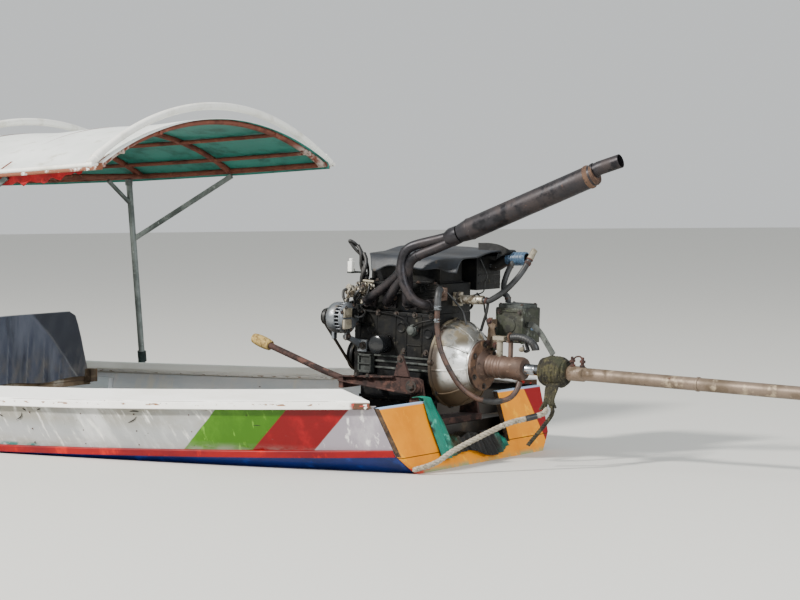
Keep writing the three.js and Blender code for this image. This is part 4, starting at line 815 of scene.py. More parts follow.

# %% [markdown]
# ### Steel, iron and alloy
#
# Metals share one recipe: a base, rust or oil in patches of two sizes, and a fine rough relief; the pale
# alloy also has light flecks that are painted highlights. What differs is only the numbers, so they sit
# in a table. Each layer row is colour, roughness, metal, scale, amount and softness. A second table adds
# marks that keep to one place: a painted highlight in the middle of the bell, painted shade with grime
# along its front rim, grime low on the bell, and the pale worn paint of the rear arch.

# %% Metals
METALS = {
    "brown_steel": ("#7a4434", 0.7, 0.2, [
        ("#5c2f24", 0.8, 0.1, 14, 0.46, 0.1), ("#96604a", 0.7, 0.1, 30, 0.36, 0.06),
        ("#3a2a24", 0.85, 0.0, 60, 0.27, 0.03)], 0.25),
    "grey_steel": ("#7f8684", 0.45, 0.7, [
        ("#59605e", 0.55, 0.6, 12, 0.48, 0.14), ("#a9afac", 0.4, 0.8, 40, 0.34, 0.06),
        ("#6b4a38", 0.8, 0.2, 25, 0.26, 0.04)], 0.15),
    "dusty_iron": ("#484c49", 0.7, 0.3, [
        ("#656963", 0.8, 0.1, 18, 0.42, 0.1), ("#242725", 0.6, 0.3, 12, 0.48, 0.1),
        ("#151716", 0.5, 0.3, 36, 0.4, 0.06)], 0.5),
    "moss_metal": ("#35362d", 0.75, 0.2, [
        ("#252a1c", 0.9, 0.0, 13, 0.47, 0.1), ("#686b64", 0.6, 0.3, 24, 0.38, 0.07),
        ("#171812", 0.7, 0.1, 34, 0.46, 0.07), ("#464f2a", 0.95, 0.0, 60, 0.32, 0.05),
        ("#858982", 0.5, 0.4, 80, 0.3, 0.04)], 1.1),
    "filter_paint": ("#1e2022", 0.18, 0.2, [
        ("#141517", 0.3, 0.2, 9, 0.46, 0.14), ("#36383a", 0.35, 0.2, 26, 0.33, 0.08),
        ("#3a362e", 0.8, 0.0, 60, 0.28, 0.04)], 0.1),
    "black_iron": ("#0f1012", 0.5, 0.3, [
        ("#1c1b18", 0.65, 0.3, 16, 0.46, 0.12), ("#060608", 0.24, 0.4, 9, 0.44, 0.1),
        ("#4a463c", 0.8, 0.1, 38, 0.33, 0.06), ("#4f3828", 0.85, 0.1, 60, 0.26, 0.03),
        ("#18243a", 0.4, 0.2, 7, 0.3, 0.06)], 0.6),
    "exhaust_steel": ("#27262a", 0.4, 0.6, [
        ("#352e2e", 0.6, 0.5, 10, 0.48, 0.15), ("#19191d", 0.35, 0.7, 18, 0.42, 0.1),
        ("#563c32", 0.8, 0.2, 34, 0.29, 0.05), ("#6d6968", 0.5, 0.5, 70, 0.27, 0.05)], 0.35),
    "cast_alloy": ("#b9b6ad", 0.38, 0.85, [
        ("#8f8b80", 0.5, 0.7, 9, 0.47, 0.14), ("#6b5a3c", 0.75, 0.2, 14, 0.38, 0.1),
        ("#3a3226", 0.7, 0.1, 30, 0.32, 0.06)], 0.35),
    # pale_alloy's last layer, small light flecks, is painted highlights.
    "pale_alloy": ("#7f8388", 0.32, 0.75, [
        ("#5b5f64", 0.45, 0.65, 10, 0.46, 0.14), ("#4c4234", 0.75, 0.2, 22, 0.37, 0.08),
        ("#24211e", 0.75, 0.1, 44, 0.36, 0.05), ("#b9bbba", 0.35, 0.7, 60, 0.3, 0.05)], 0.45),
    "outlet_alloy": ("#b3ab9a", 0.45, 0.5, [
        ("#5f5444", 0.7, 0.3, 20, 0.48, 0.06), ("#241f1a", 0.7, 0.1, 34, 0.45, 0.04),
        ("#e2ddd0", 0.4, 0.4, 52, 0.38, 0.04), ("#6b4a33", 0.85, 0.1, 70, 0.33, 0.04)], 0.9),
    "bell_alloy": ("#a9a8a2", 0.28, 0.85, [
        ("#7d7a72", 0.42, 0.7, 8, 0.46, 0.14), ("#52422a", 0.75, 0.2, 11, 0.36, 0.1),
        ("#1f1b15", 0.75, 0.1, 18, 0.35, 0.06), ("#dcdad4", 0.25, 0.85, 30, 0.28, 0.05)], 0.4),
    "brown_alloy": ("#5f4c42", 0.55, 0.4, [
        ("#47362c", 0.65, 0.3, 12, 0.48, 0.12), ("#7f6a5c", 0.45, 0.5, 26, 0.36, 0.06),
        ("#2b2019", 0.8, 0.1, 50, 0.34, 0.05)], 0.4),
    "rusty_steel": ("#3c2823", 0.85, 0.15, [
        ("#573a31", 0.85, 0.1, 12, 0.44, 0.08), ("#231613", 0.9, 0.1, 24, 0.47, 0.06),
        ("#7c5343", 0.9, 0.0, 60, 0.31, 0.03), ("#150f0d", 0.9, 0.1, 90, 0.34, 0.04),
        ("#8b847c", 0.7, 0.2, 46, 0.25, 0.02)], 1.2),
    "dark_rust": ("#3b2a26", 0.85, 0.2, [
        ("#553229", 0.9, 0.1, 30, 0.46, 0.1), ("#1f1917", 0.85, 0.1, 50, 0.42, 0.08)], 0.6),
    "brown_rust": ("#5c4433", 0.8, 0.2, [
        ("#3f2b20", 0.85, 0.1, 20, 0.47, 0.1), ("#7d634b", 0.8, 0.1, 50, 0.36, 0.06),
        ("#261e19", 0.8, 0.1, 34, 0.38, 0.06)], 0.7),
    "dirty_white": ("#878070", 0.6, 0.1, [
        ("#5f5748", 0.7, 0.1, 16, 0.47, 0.12), ("#352b20", 0.85, 0.0, 40, 0.4, 0.05),
        ("#bab39f", 0.6, 0.0, 30, 0.34, 0.08)], 0.4),
    "end_wood": ("#3a2a1c", 0.9, 0.0, [
        ("#57442f", 0.9, 0.0, 40, 0.45, 0.1), ("#20160f", 0.9, 0.0, 60, 0.42, 0.08)], 0.5),
    "dark_gap": ("#15110e", 0.9, 0.0, [
        ("#2c231b", 0.9, 0.0, 60, 0.4, 0.1)], 0.2),
    "beige_steel": ("#78685a", 0.5, 0.4, [
        ("#574939", 0.6, 0.3, 8, 0.47, 0.14), ("#a09078", 0.5, 0.2, 20, 0.37, 0.08),
        ("#4f2f20", 0.85, 0.1, 34, 0.33, 0.04), ("#352f26", 0.8, 0.1, 70, 0.31, 0.03)], 0.3),
    "bronze": ("#9c7a42", 0.35, 0.95, [
        ("#6f5a34", 0.5, 0.8, 14, 0.46, 0.12), ("#5b7a60", 0.7, 0.3, 30, 0.3, 0.06)], 0.2),
    "clean_steel": ("#989da3", 0.25, 1.0, [
        ("#6c6f73", 0.35, 0.95, 30, 0.42, 0.1), ("#5e4030", 0.7, 0.3, 24, 0.38, 0.05)], 0.1),
    "bolt_steel": ("#3d3a37", 0.5, 0.6, [
        ("#3d2b22", 0.85, 0.1, 60, 0.46, 0.08), ("#1b1816", 0.7, 0.2, 90, 0.4, 0.06)], 0.3),
}
STAINS_AND_PAINTED_LIGHT = {
    # finish: (limits along X, limits along Z, softness, then a layer row)
    # bell_alloy's first row is a painted highlight in the middle of the bell.
    "bell_alloy": [((-4.62, -4.52), (0.33, 0.47), 0.015, ("#efeeea", 0.3, 0.75, 22, 0.56, 0.08)),
                   # This row is painted shade with grime along the bell's front rim.
                   ((-4.512, -4.3), (-1, 1), 0.012, ("#33291f", 0.7, 0.2, 12, 0.68, 0.1)),
                   ((-5, -4), (-1, 0.325), 0.04, ("#443420", 0.75, 0.1, 9, 0.72, 0.1)),
                   ((-5, -4), (0.475, 1), 0.02, ("#6d6350", 0.7, 0.2, 16, 0.5, 0.08))],
    "brown_steel": [((-3.3, -3.24), (1.1, 1.29), 0.02, ("#b3a196", 0.8, 0.0, 26, 0.5, 0.06))],
    "brown_alloy": [((-5, -4), (-1, 0.355), 0.02, ("#2f231b", 0.7, 0.1, 14, 0.5, 0.1))],
    "beige_steel": [((-5.2, -4), (0.36, 1), 0.01, ("#4c3d2c", 0.8, 0.1, 18, 0.5, 0.08))],
}

for slot, (base, rough, metal, layers, depth) in METALS.items():
    coat = Coat(slot, base, rough, metal)
    for number, (colour, top_rough, top_metal, scale, amount, soft) in enumerate(layers):
        coat.worn(colour, top_rough, top_metal, scale, amount, soft, shift=1.7 * number)
    for along_x, along_z, edge, (colour, top_rough, top_metal, scale, amount, soft) in STAINS_AND_PAINTED_LIGHT.get(slot, []):
        place = coat.box(x=(*along_x, edge), z=(*along_z, edge))
        coat.worn(colour, top_rough, top_metal, scale, amount, soft, region=place, shift=9.0)
    coat.relief(90.0, depth).relief(320.0, depth * 0.4)
    coat.done(Specular_IOR_Level=0.25 if slot == "black_iron" else 0.5)

# %% [markdown]
# ### Plastic, rubber, rope and cloth
#
# The hoops are white water pipe. The sheets and cloths use their own map for the weave, so that it
# follows the folds; the ropes are modelled strand by strand and only need fibres.

# %% Soft finishes
SOFT_STAINS = {
    # finish: an axis, its limits, softness, then a layer row
    "canopy_sheet": [(1, 0.776, 2.0, 0.003, ("#7b4a33", 0.8, 22, 0.6, 0.05)),
                     (1, -2.0, -0.776, 0.003, ("#8a6247", 0.8, 22, 0.5, 0.05))],
    "green_tarp": [(1, -0.13, 0.2, 0.035, ("#38301a", 0.4, 12, 0.6, 0.1)),
                   (1, -0.13, 0.15, 0.035, ("#0f0d09", 0.28, 9, 0.8, 0.1)),
                   (1, -0.12, 0.1, 0.03, ("#463120", 0.35, 26, 0.34, 0.06))],
}


def soft_finish(slot, base, rough, layers, depth, threads=0.0, fibre=(1, 1, 1), **constants):
    coat = Coat(slot, base, rough)
    for number, (colour, top_rough, scale, amount, soft) in enumerate(layers):
        coat.worn(colour, top_rough, 0, scale, amount, soft, fibre, shift=2.3 * number)
    coat.relief(120.0, depth, fibre)
    if threads:
        cloth = placed(coat.tree, weave, {"Map": coat.map, "Threads": threads})["Height"]
        coat.lower(cloth, -0.25)
        coat.layer(layers[0][0], rough, 0, coat.times(cloth, 0.35))
    for axis, low, high, edge, (colour, top_rough, scale, amount, soft) in SOFT_STAINS.get(slot, []):
        coat.worn(colour, top_rough, 0, scale, amount, soft,
            region=coat.within(coat.xyz[axis], low, high, edge))
    coat.done(**constants)


soft_finish("white_plastic", "#ecebe4", 0.35, [
    ("#cfccc0", 0.5, 9, 0.42, 0.12), ("#8d8778", 0.7, 50, 0.28, 0.04)], 0.1)
soft_finish("canopy_sheet", "#f1f3f0", 0.5, [
    ("#d3d8d4", 0.55, 2.5, 0.5, 0.2), ("#b9b8aa", 0.7, 12, 0.36, 0.1),
    ("#8a8371", 0.8, 40, 0.27, 0.05)], 0.3, threads=260.0)
soft_finish("canopy_lining", "#237a6d", 0.55, [
    ("#318f81", 0.55, 3.0, 0.48, 0.2), ("#12483f", 0.65, 8, 0.42, 0.12),
    ("#5f9486", 0.7, 26, 0.3, 0.08)], 0.3, threads=260.0)
soft_finish("rubber_sheet", "#15181d", 0.58, [
    ("#20252d", 0.55, 6, 0.5, 0.16), ("#0c0d10", 0.5, 12, 0.44, 0.1),
    ("#4c453d", 0.8, 30, 0.32, 0.06)], 0.7)
soft_finish("rubber_hose", "#131211", 0.5, [
    ("#24211f", 0.6, 20, 0.44, 0.12), ("#0a0a0a", 0.4, 34, 0.42, 0.08),
    ("#4f463b", 0.8, 80, 0.28, 0.05)], 0.4)
soft_finish("grey_hose", "#212223", 0.5, [
    ("#343537", 0.55, 14, 0.44, 0.12), ("#131313", 0.5, 30, 0.42, 0.08),
    ("#4f4a42", 0.8, 70, 0.3, 0.05)], 0.35)
soft_finish("brown_hose", "#38261f", 0.5, [
    ("#523a2e", 0.6, 16, 0.46, 0.12), ("#1f1613", 0.6, 34, 0.44, 0.08),
    ("#7a634d", 0.8, 60, 0.31, 0.05)], 0.4)
soft_finish("old_rope", "#312e1d", 0.9, [
    ("#474327", 0.9, 34, 0.44, 0.1), ("#17140c", 0.9, 20, 0.48, 0.1),
    ("#615a3c", 0.9, 110, 0.36, 0.06), ("#262a18", 0.9, 9, 0.38, 0.1)], 1.2)
soft_finish("white_rope", "#928a7a", 0.85, [
    ("#6f6759", 0.9, 60, 0.46, 0.1), ("#b9b1a0", 0.8, 140, 0.4, 0.08),
    ("#484238", 0.9, 24, 0.34, 0.08)], 0.8)
soft_finish("yellow_rope", "#b59a5c", 0.88, [
    ("#7a6236", 0.9, 70, 0.46, 0.1), ("#d3bf88", 0.85, 150, 0.38, 0.08)], 0.7)
soft_finish("dark_rope", "#22302e", 0.85, [
    ("#12191a", 0.9, 60, 0.46, 0.1), ("#3f5a56", 0.8, 120, 0.36, 0.08)], 0.5)
# The tarp's first two layers, darker and lighter teal, are painted shade and painted light of its folds, in
# patches.
soft_finish("green_tarp", "#15806b", 0.42, [("#0a4d40", 0.5, 9, 0.46, 0.1),
        ("#5cc9ac", 0.4, 22, 0.38, 0.06), ("#3a3a1c", 0.6, 6, 0.44, 0.1), ("#15140f", 0.4, 8, 0.38, 0.06)],
    0.5, threads=420.0, Specular_IOR_Level=0.25)
soft_finish("red_cloth", "#b0121a", 0.85, [
    ("#820d15", 0.85, 12, 0.46, 0.12), ("#cf2a22", 0.85, 30, 0.36, 0.08)], 0.3, threads=600.0)
soft_finish("blue_plastic", "#3c566f", 0.45, [
    ("#2a3f55", 0.5, 30, 0.46, 0.1), ("#6f8aa3", 0.4, 50, 0.34, 0.08)], 0.2)
soft_finish("black_tape", "#141414", 0.4, [
    ("#242424", 0.5, 40, 0.46, 0.1)], 0.2)


def blue_cloth():
    """Navy cloth with dust on it: pale to port of one long slanting fold, dust with painted light, and
    dark beyond it as painted shade, brownish at the foot."""
    coat = Coat("blue_cloth", "#161c2c", 0.92)
    coat.worn("#121727", 0.92, 0, 6.0, 0.48, 0.16)
    slant = coat.lean(y=0.705, z=-0.709)
    # Port of the fold the navy is painted paler, dust with painted light; beyond it the dark base is left as
    # painted shade.
    dust_and_painted_light = coat.within(slant, -0.452, 2.0, 0.012)
    coat.layer("#3a4154", 0.95, 0, coat.times(dust_and_painted_light, 0.85))
    coat.worn("#565b6a", 0.95, 0, 9.0, 0.48, 0.16, (1, 1, 0.4), dust_and_painted_light, 3.0)
    coat.worn("#1b2030", 0.95, 0, 12.0, 0.42, 0.1, (1, 1, 0.2), dust_and_painted_light, 9.0)
    coat.worn("#5d5a58", 0.95, 0, 14.0, 0.46, 0.14, (1, 1, 0.6), coat.box(z=(0.1, 0.34, 0.06)), 1.0)
    cloth = placed(coat.tree, weave, {"Map": coat.map, "Threads": 520.0})["Height"]
    coat.relief(120.0, 0.5).lower(cloth, -0.25)
    coat.done(Sheen_Weight=0.4)


blue_cloth()
print("finishes:", len(materials))

# %% [markdown]
# ## Floor and light
#
# The boat floats, so the pale floor is its waterline, and the hull goes down through a hole in it. The
# hole is the hull's own outline at z = 0, worked out from the same table of stations that shaped the
# hull, and drawn in by a few millimetres so that the planks close it.

# %% The hull's lines
STATIONS = np.array([
    # x, sheer y, sheer z, chine y, chine z, bottom y, bottom z (mm), rake
    [-4500, 600, 262, 550, 70, 392, -62, 0.36],
    [-3700, 700, 236, 648, 38, 470, -108, 0.1],
    [-2750, 768, 212, 722, 12, 545, -138, 0],
    [-1400, 822, 200, 775, -4, 600, -155, 0],
    [200, 830, 212, 775, -6, 590, -158, 0],
    [1700, 765, 262, 690, 22, 490, -138, 0],
    [2900, 590, 352, 490, 112, 300, -72, 0.1],
    [3800, 330, 492, 240, 262, 120, 70, 0.45],
    [4330, 105, 640, 66, 450, 34, 290, 0.9],
], float)
STATIONS[:, :7] /= 1000


def stations_at(count):
    """Rows of the table at even steps: a cubic in the row number through all nine stations."""
    t = np.linspace(0, len(STATIONS) - 1, count)
    k = np.minimum(t.astype(int), len(STATIONS) - 2)
    u = (t - k)[:, None]
    slope = np.gradient(STATIONS, axis=0)
    rows = cubic(STATIONS[k], STATIONS[k + 1], slope[k], slope[k + 1], u)
    rake = STATIONS[k, 7] + (STATIONS[k + 1, 7] - STATIONS[k, 7]) * u[:, 0]
    rows[:, 7] = np.where((k == 0) | (k == len(STATIONS) - 2), rake, rows[:, 7])
    return rows


HULL_ROWS = stations_at(161)


def waterline(inset):
    """The hull's outline at z = 0: on each station, straight between the corners above and below."""
    x, sheer_y, sheer_z, chine_y, chine_z, bottom_y, bottom_z, rake = HULL_ROWS.T
    low = bottom_y + (chine_y - bottom_y) * (0 - bottom_z) / (chine_z - bottom_z)
    high = chine_y + (sheer_y - chine_y) * (0 - chine_z) / (sheer_z - chine_z)
    wet = bottom_z < 0
    return (x - rake * sheer_z)[wet], np.where(chine_z > 0, low, high)[wet] - inset


def hull_line(x, *columns):
    """Columns of the table read at a place along the hull."""
    return [np.interp(x, HULL_ROWS[:, 0], HULL_ROWS[:, k]) for k in columns]


HOLE_INSET = 0.006
STERN_REACH = 0.012
FLOOR_REACH = 45.0

place, half = waterline(HOLE_INSET)
place[0] -= STERN_REACH
port = np.stack([place, half, 0 * place], 1)
starboard = port[::-1] * (1, -1, 1)
rim = np.concatenate([port, starboard])
aim = np.arctan2(rim[:, 1], rim[:, 0])
far = np.stack([np.cos(aim), np.sin(aim), 0 * aim], 1) * FLOOR_REACH
floor_mesh = bpy.data.meshes.new("floor")
floor_points, floor_quads, _, _ = grid(np.stack([rim, rim * 1.6, far]), caps=False)
floor_mesh.from_pydata(floor_points.tolist(), [], floor_quads[:, ::-1].tolist())
floor = bpy.data.objects.new("floor", floor_mesh)
bpy.context.scene.collection.objects.link(floor)
floor_finish = bpy.data.materials.new("floor")
floor_finish.use_nodes = True
floor_finish.node_tree.nodes["Principled BSDF"].inputs["Base Color"].default_value = rgb("#cfcec8")
floor_finish.node_tree.nodes["Principled BSDF"].inputs["Roughness"].default_value = 0.6
floor_mesh.materials.append(floor_finish)
print("waterline:", round(float(place[-1] - place[0]), 2), "m long")


# %% Lights
def soft_light(name, place, target, size, watts, colour=(1, 1, 1)):
    lamp = bpy.data.lights.new(name, "AREA")
    lamp.shape = "DISK"
    lamp.size, lamp.energy, lamp.color = size, watts, colour
    made = bpy.data.objects.new(name, lamp)
    made.matrix_world = (Vector(target) - Vector(place)).to_track_quat("-Z", "Y").to_matrix().to_4x4()
    made.location = place
    bpy.context.scene.collection.objects.link(made)


soft_light("key", (1.5, 11.0, 9.5), (-3.8, 0.0, 0.5), 1.6, 4600, (1.0, 0.97, 0.92))
soft_light("fill", (-13.0, 3.0, 5.0), (-3.8, 0.0, 0.7), 6.0, 750, (0.92, 0.96, 1.0))
world = bpy.data.worlds.new("studio")
world.use_nodes = True
world.node_tree.nodes["Background"].inputs["Color"].default_value = rgb("#eef1f2")
world.node_tree.nodes["Background"].inputs["Strength"].default_value = 0.85
bpy.context.scene.world = world

# %% [markdown]
# ## The stern rope
#
# A ribbed white rope is made fast to the transom's corner and to the tail. It is three strands laid
# together, wound with black tape near its upper end. It crosses the swivel; its tape rides on the
# swivel, and the rope itself on no body.

# %% Stern rope
ROPE_PATH = smooth_path(np.array([
    [-4615.4, 498, 18], [-4636, 497, 24.5], [-4660, 482, 32], [-4694, 450, 50], [-4742, 408, 92],
    [-4812, 340, 140], [-4890, 262, 188], [-4948, 205, 208], [-4982, 168, 219], [-4994, 144, 229],
    [-4990, 127, 238.5]]) / 1000, 120)
ROPE_RADIUS = 0.0118

rope = piece("stern_rope_laid", laid_rope(ROPE_PATH, ROPE_RADIUS, lay=0.05), None, "white_rope",
             stands_for=("stern_rope",))
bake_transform(rope)
tape_path = ROPE_PATH[98:108]
tape = piece("stern_rope_tape", tube(tape_path, ROPE_RADIUS + 0.0008, 16), "swivel", "black_tape")

# %% [markdown]
# ## The hull
#
# The planks, caps and rails have their real shape in the model already, so they are copied, cleaned and
# given soft edges and their paint. What is too small for the model is added after: nails, the joints
# between floorboards, and the splintered end of the port cap.
# Faces that look inwards and sawn ends take finishes of their own.

# %% Planks, caps and rails
HULL_COPIES = [
    # node, softened edge in metres, finish
    ("side_plank_port", 0.003, "side_paint"), ("side_plank_starboard", 0.003, "side_paint"),
    ("bilge_plank_port", 0.003, "blue_paint"), ("bilge_plank_starboard", 0.003, "blue_paint"),
    ("bottom_plank", 0.003, None), ("transom", 0.003, None), ("bow_block", 0.008, None),
    ("chine_rail_port", 0.004, None), ("chine_rail_starboard", 0.004, None),
    ("gunwale_cap_port", 0.005, "cap_paint"), ("gunwale_cap_starboard", 0.005, "cap_paint"),
    ("floor_frames", 0.003, None), ("riser_port", 0.003, None), ("riser_starboard", 0.003, None),
    ("foredeck", 0.003, None), ("engine_beam", 0.004, None),
]


def finish_inside(made, side, slot):
    """Faces that look towards the middle of the boat take a second finish, and sawn aft ends a third."""
    x, y, _ = face_normals(made)
    more_finishes(made, np.where(x < -0.6, 2, np.where(y * side < -0.2, 1, 0)), slot, "dark_gap")


for name, soft, finish in HULL_COPIES:
    made = from_frame(name, soft, finish)
    if name.startswith(("side_plank", "bilge_plank")):
        finish_inside(made, 1 if name.endswith("port") else -1, "white_paint")
    if name in ("transom", "bottom_plank"):
        x, y, z = face_normals(made)
        inside = x > 0.5 if name == "transom" else z > 0.5
        kinds = np.where(inside, 1, np.where((np.abs(y) > 0.7) & (name == "transom"), 2, 0))
        more_finishes(made, kinds, "white_paint" if name == "transom" else "bare_wood", "end_wood")
print("hull pieces:", len(HULL_COPIES))

# %% [markdown]
# The floor is a row of narrow boards laid lengthways on the timbers. Their height and the width they
# fill are read from the model's one-piece floor, so they stay exactly in its place.

# %% Floorboards
BOARDS_ACROSS = 9
BOARD_GAP = 0.004

corners = node_points("floorboards")
xs = np.unique(corners[:, 0])
xs = xs[np.insert(np.diff(xs) > 0.01, 0, True)]
tops = np.array([corners[np.abs(corners[:, 0] - x) < 0.01][:, 2].max() for x in xs])
lows = np.array([corners[np.abs(corners[:, 0] - x) < 0.01][:, 2].min() for x in xs])
halves = np.array([np.abs(corners[np.abs(corners[:, 0] - x) < 0.01][:, 1]).max() for x in xs])
boards = []
for number in range(BOARDS_ACROSS):
    left = -halves + 2 * halves * number / BOARDS_ACROSS + BOARD_GAP / 2
    right = -halves + 2 * halves * (number + 1) / BOARDS_ACROSS - BOARD_GAP / 2
    drop = 0.0015 * math.sin(number * 2.4)
    rings = np.stack([np.stack([xs, left, lows], 1), np.stack([xs, right, lows], 1),
                      np.stack([xs, right, tops - 0.001 + drop * 0.5], 1),
                      np.stack([xs, left, tops - 0.001 - drop * 0.5], 1)], 1)
    boards.append(grid(rings))
piece("floorboards_laid", added(boards), "hull", "bare_wood", 0.002, ("floorboards",))
print("floorboards:", len(boards))

# %% [markdown]
# The planks are nailed to timbers every so often, and the old paint has opened in a few cracks near the
# stern. Nail heads and cracks lie on the side plank's face, which runs straight from chine to sheer.

# %% Nails and cracks
CRACKS = [
    # (x, z) points on the port side
    [(-2.681, 0.170), (-2.702, 0.162)], [(-2.815, 0.199), (-2.835, 0.191)],
    [(-2.808, 0.182), (-2.800, 0.164), (-2.771, 0.149)], [(-2.894, 0.197), (-2.914, 0.202)],
    [(-3.374, 0.208), (-3.392, 0.2105), (-3.420, 0.209)],
    [(-3.402, 0.188), (-3.387, 0.1745), (-3.355, 0.160)],
    [(-3.946, 0.173), (-3.974, 0.1745), (-4.006, 0.172)],
    [(-4.112, 0.1736), (-4.126, 0.168), (-4.113, 0.157)],
]
SPLINTERS = [
    # x, z and length of a splinter at the broken end of the port cap
    (-4.492, 0.259, 0.034), (-4.476, 0.262, 0.052), (-4.458, 0.256, 0.04), (-4.436, 0.26, 0.03),
]


def on_side(x, z):
    """The outer face of the side plank: places across at these x and z."""
    sheer_y, sheer_z, chine_y, chine_z = hull_line(x, 1, 2, 3, 4)
    return chine_y + (sheer_y - chine_y) * (z - chine_z) / (sheer_z - chine_z)


heads = []
for x in np.arange(-4.2, 2.5, 0.27):
    sheer_z, chine_z = hull_line(x, 2, 4)
    for z in (chine_z + 0.042, (sheer_z + chine_z) / 2, sheer_z - 0.03):
        y = float(on_side(x, z))
        heads += [turned([[-0.002, 0.003], [0.0004, 0.003], [0.001, 0.0015]], (x, side * y, z),
                         (x, side * (y + 0.01), z - 0.0026), 8) for side in (-1, 1)]
piece("side_nails", added(heads), "hull", "dark_rust")
cracks = []
for crack in CRACKS:
    x, z = np.array(crack).T
    path = smooth_path(np.stack([x, on_side(x, z), z], 1), 20)
    cracks.append(tube(path, 0.0023 * np.sin(np.linspace(0.3, 2.9, 20)), 6))
piece("side_cracks", added(cracks), "hull", "dark_gap")
chips = [moved(prism([(0, 0), (long, 0.004), (long * 0.7, 0.012), (0.004, 0.01)], 0.6, 0.611),
               lambda p: p + (x, float(on_side(x, z)) - 0.6, z)) for x, z, long in SPLINTERS]
piece("cap_splinters", added(chips), "hull", "bare_wood", 0.001)
print("nails:", len(heads), "cracks:", len(cracks))

# %% [markdown]
# Each seat is planks on two legs, with a back of three planks that leans aft. The shapes come from the
# same few sizes as the model's seats.

# %% Seats
SEAT_AFT = (-2.04, -0.94, 0.16)
SEAT_TOP, SEAT_DEPTH, SEAT_HALF, SEAT_BOARD = 0.196, 0.38, 0.54, 0.022
BACK_THICK, BACK_LEAN = 0.018, 0.03
BACK_OUTLINE = np.array([[0.174, 0.54], [0.47, 0.427], [0.514, 0.405], [0.53, 0.37]])
BACK_LOW, BACK_TOP = BACK_OUTLINE[0, 0], BACK_OUTLINE[-1, 0]


def back_half(z):
    """Half the back's width at a height: it narrows upwards, and its top corners are cut."""
    return np.interp(z, BACK_OUTLINE[:, 0], BACK_OUTLINE[:, 1])


def back_shift(z):
    """How far the back leans aft at a height."""
    return -BACK_LEAN * (z - BACK_LOW) / (BACK_TOP - BACK_LOW)


def back_plank(x, low, high):
    """One plank of the back: the outline between two heights, set out at its aft and its fore face."""
    corners = BACK_OUTLINE[:, 0]
    z = np.concatenate([[low], corners[(corners > low) & (corners < high)], [high]])
    half = np.stack([back_half(z), z], 1)
    ring = np.concatenate([half, half[::-1] * (-1, 1)])
    faces = [np.insert(ring, 0, x + back_shift(ring[:, 1]) + step, axis=1) for step in (0, BACK_THICK)]
    return grid(np.stack(faces))


def seat_boards(x):
    """Three planks for the top, three for the leaning back, two legs and a cleat behind each end."""
    low = SEAT_TOP - SEAT_BOARD
    third = SEAT_DEPTH / 3
    top = [block((x + k * third + 0.002, x + (k + 1) * third - 0.002), (-SEAT_HALF, SEAT_HALF),
            (low, SEAT_TOP)) for k in range(3)]
    edges = np.linspace(SEAT_TOP + 0.0005, BACK_TOP, 4)
    back = [back_plank(x, z + 0.002 * (k > 0), edges[k + 1] - 0.001) for k, z in enumerate(edges[:3])]
    floor_low = np.interp(x, xs, tops) + 0.001
    legs = [block((x + 0.03, x + SEAT_DEPTH - 0.04), (y - 0.011, y + 0.011), (floor_low, low + 0.001))
            for y in (-0.33, 0.33)]
    cleats = [block((x - 0.05, x - 0.002), side_limits(side, 0.488, 0.532), (0.19, 0.252))
        for side in (-1, 1)]
    return added(top + back + legs + cleats)


for number, x in enumerate(SEAT_AFT):
    piece(f"seat_{number + 1}_planks", seat_boards(x), "hull", "cross_wood", 0.002, (f"seat_{number + 1}",))
print("seats:", len(SEAT_AFT))

# %% [markdown]
# ## The canopy
#
# Ten pipe arches stand on two eave rails, four purlins run along them, and three straight ties cross at
# the posts. A painted sheet lies over them and dips a little between one arch and the next.

# %% Canopy lines
ARCH_X = -3.27 + 0.54 * np.arange(10)
ARCH_HALF, ARCH_RISE = 0.765, 0.185
EAVE_MID, EAVE_LIFT = 1.152, 0.062
PIPE_RADIUS = 0.013
HOOP_HALF, HOOP_RISE, HOOP_RADIUS = 0.83, 0.25, 0.0165
POST_ARCHES = (2, 5, 8)


def eave_z(x):
    """The eave rises towards both ends: a parabola along the canopy."""
    middle = (ARCH_X[0] + ARCH_X[-1]) / 2
    return EAVE_MID + EAVE_LIFT * ((x - middle) / (ARCH_X[0] - middle)) ** 2


def arc_height(y, half, rise):
    """Height of a circle's arc above its ends, for an arc of this half width and rise."""
    radius = (half**2 + rise**2) / (2 * rise)
    return np.sqrt(radius**2 - np.clip(y, -half, half) ** 2) - (radius - rise)


def arch_path(x, half, rise, lift=0.0, count=49):
    y = half * np.linspace(-1, 1, count)
    return np.stack([0 * y + x, y, eave_z(x) + lift + arc_height(y, half, rise)], 1)


def along_canopy(y, lift, overhang=0.022, count=40):
    x = np.linspace(ARCH_X[0] - overhang, ARCH_X[-1] + overhang, count)
    return np.stack([x, 0 * x + y, eave_z(x) + lift], 1)


# %% Canopy frame
arches = [tube(arch_path(x, ARCH_HALF, ARCH_RISE), PIPE_RADIUS, 16) for x in ARCH_X]
rails = [tube(along_canopy(side * ARCH_HALF, 0.0), PIPE_RADIUS, 16) for side in (-1, 1)]
purlins = [tube(along_canopy(side * y, arc_height(y, ARCH_HALF, ARCH_RISE) - 0.006), PIPE_RADIUS * 0.7, 12)
           for y in (0.4, 0.64) for side in (-1, 1)]
ties = [pipe((ARCH_X[k], -ARCH_HALF, eave_z(ARCH_X[k])), (ARCH_X[k], ARCH_HALF, eave_z(ARCH_X[k])),
        PIPE_RADIUS) for k in POST_ARCHES]
welds = []
for x in ARCH_X:
    for side in (-1, 1):
        foot = arch_path(x, ARCH_HALF, ARCH_RISE)[:6] * (1, -side, 1)
        welds.append(tube(foot[:3], PIPE_RADIUS + 0.002, 14))
piece("canopy_frame_pipes", added(arches + rails + purlins + ties + welds), "hull", "brown_steel",
      stands_for=("canopy_frame",))
print("frame:", len(arches), "arches,", len(purlins), "purlins")

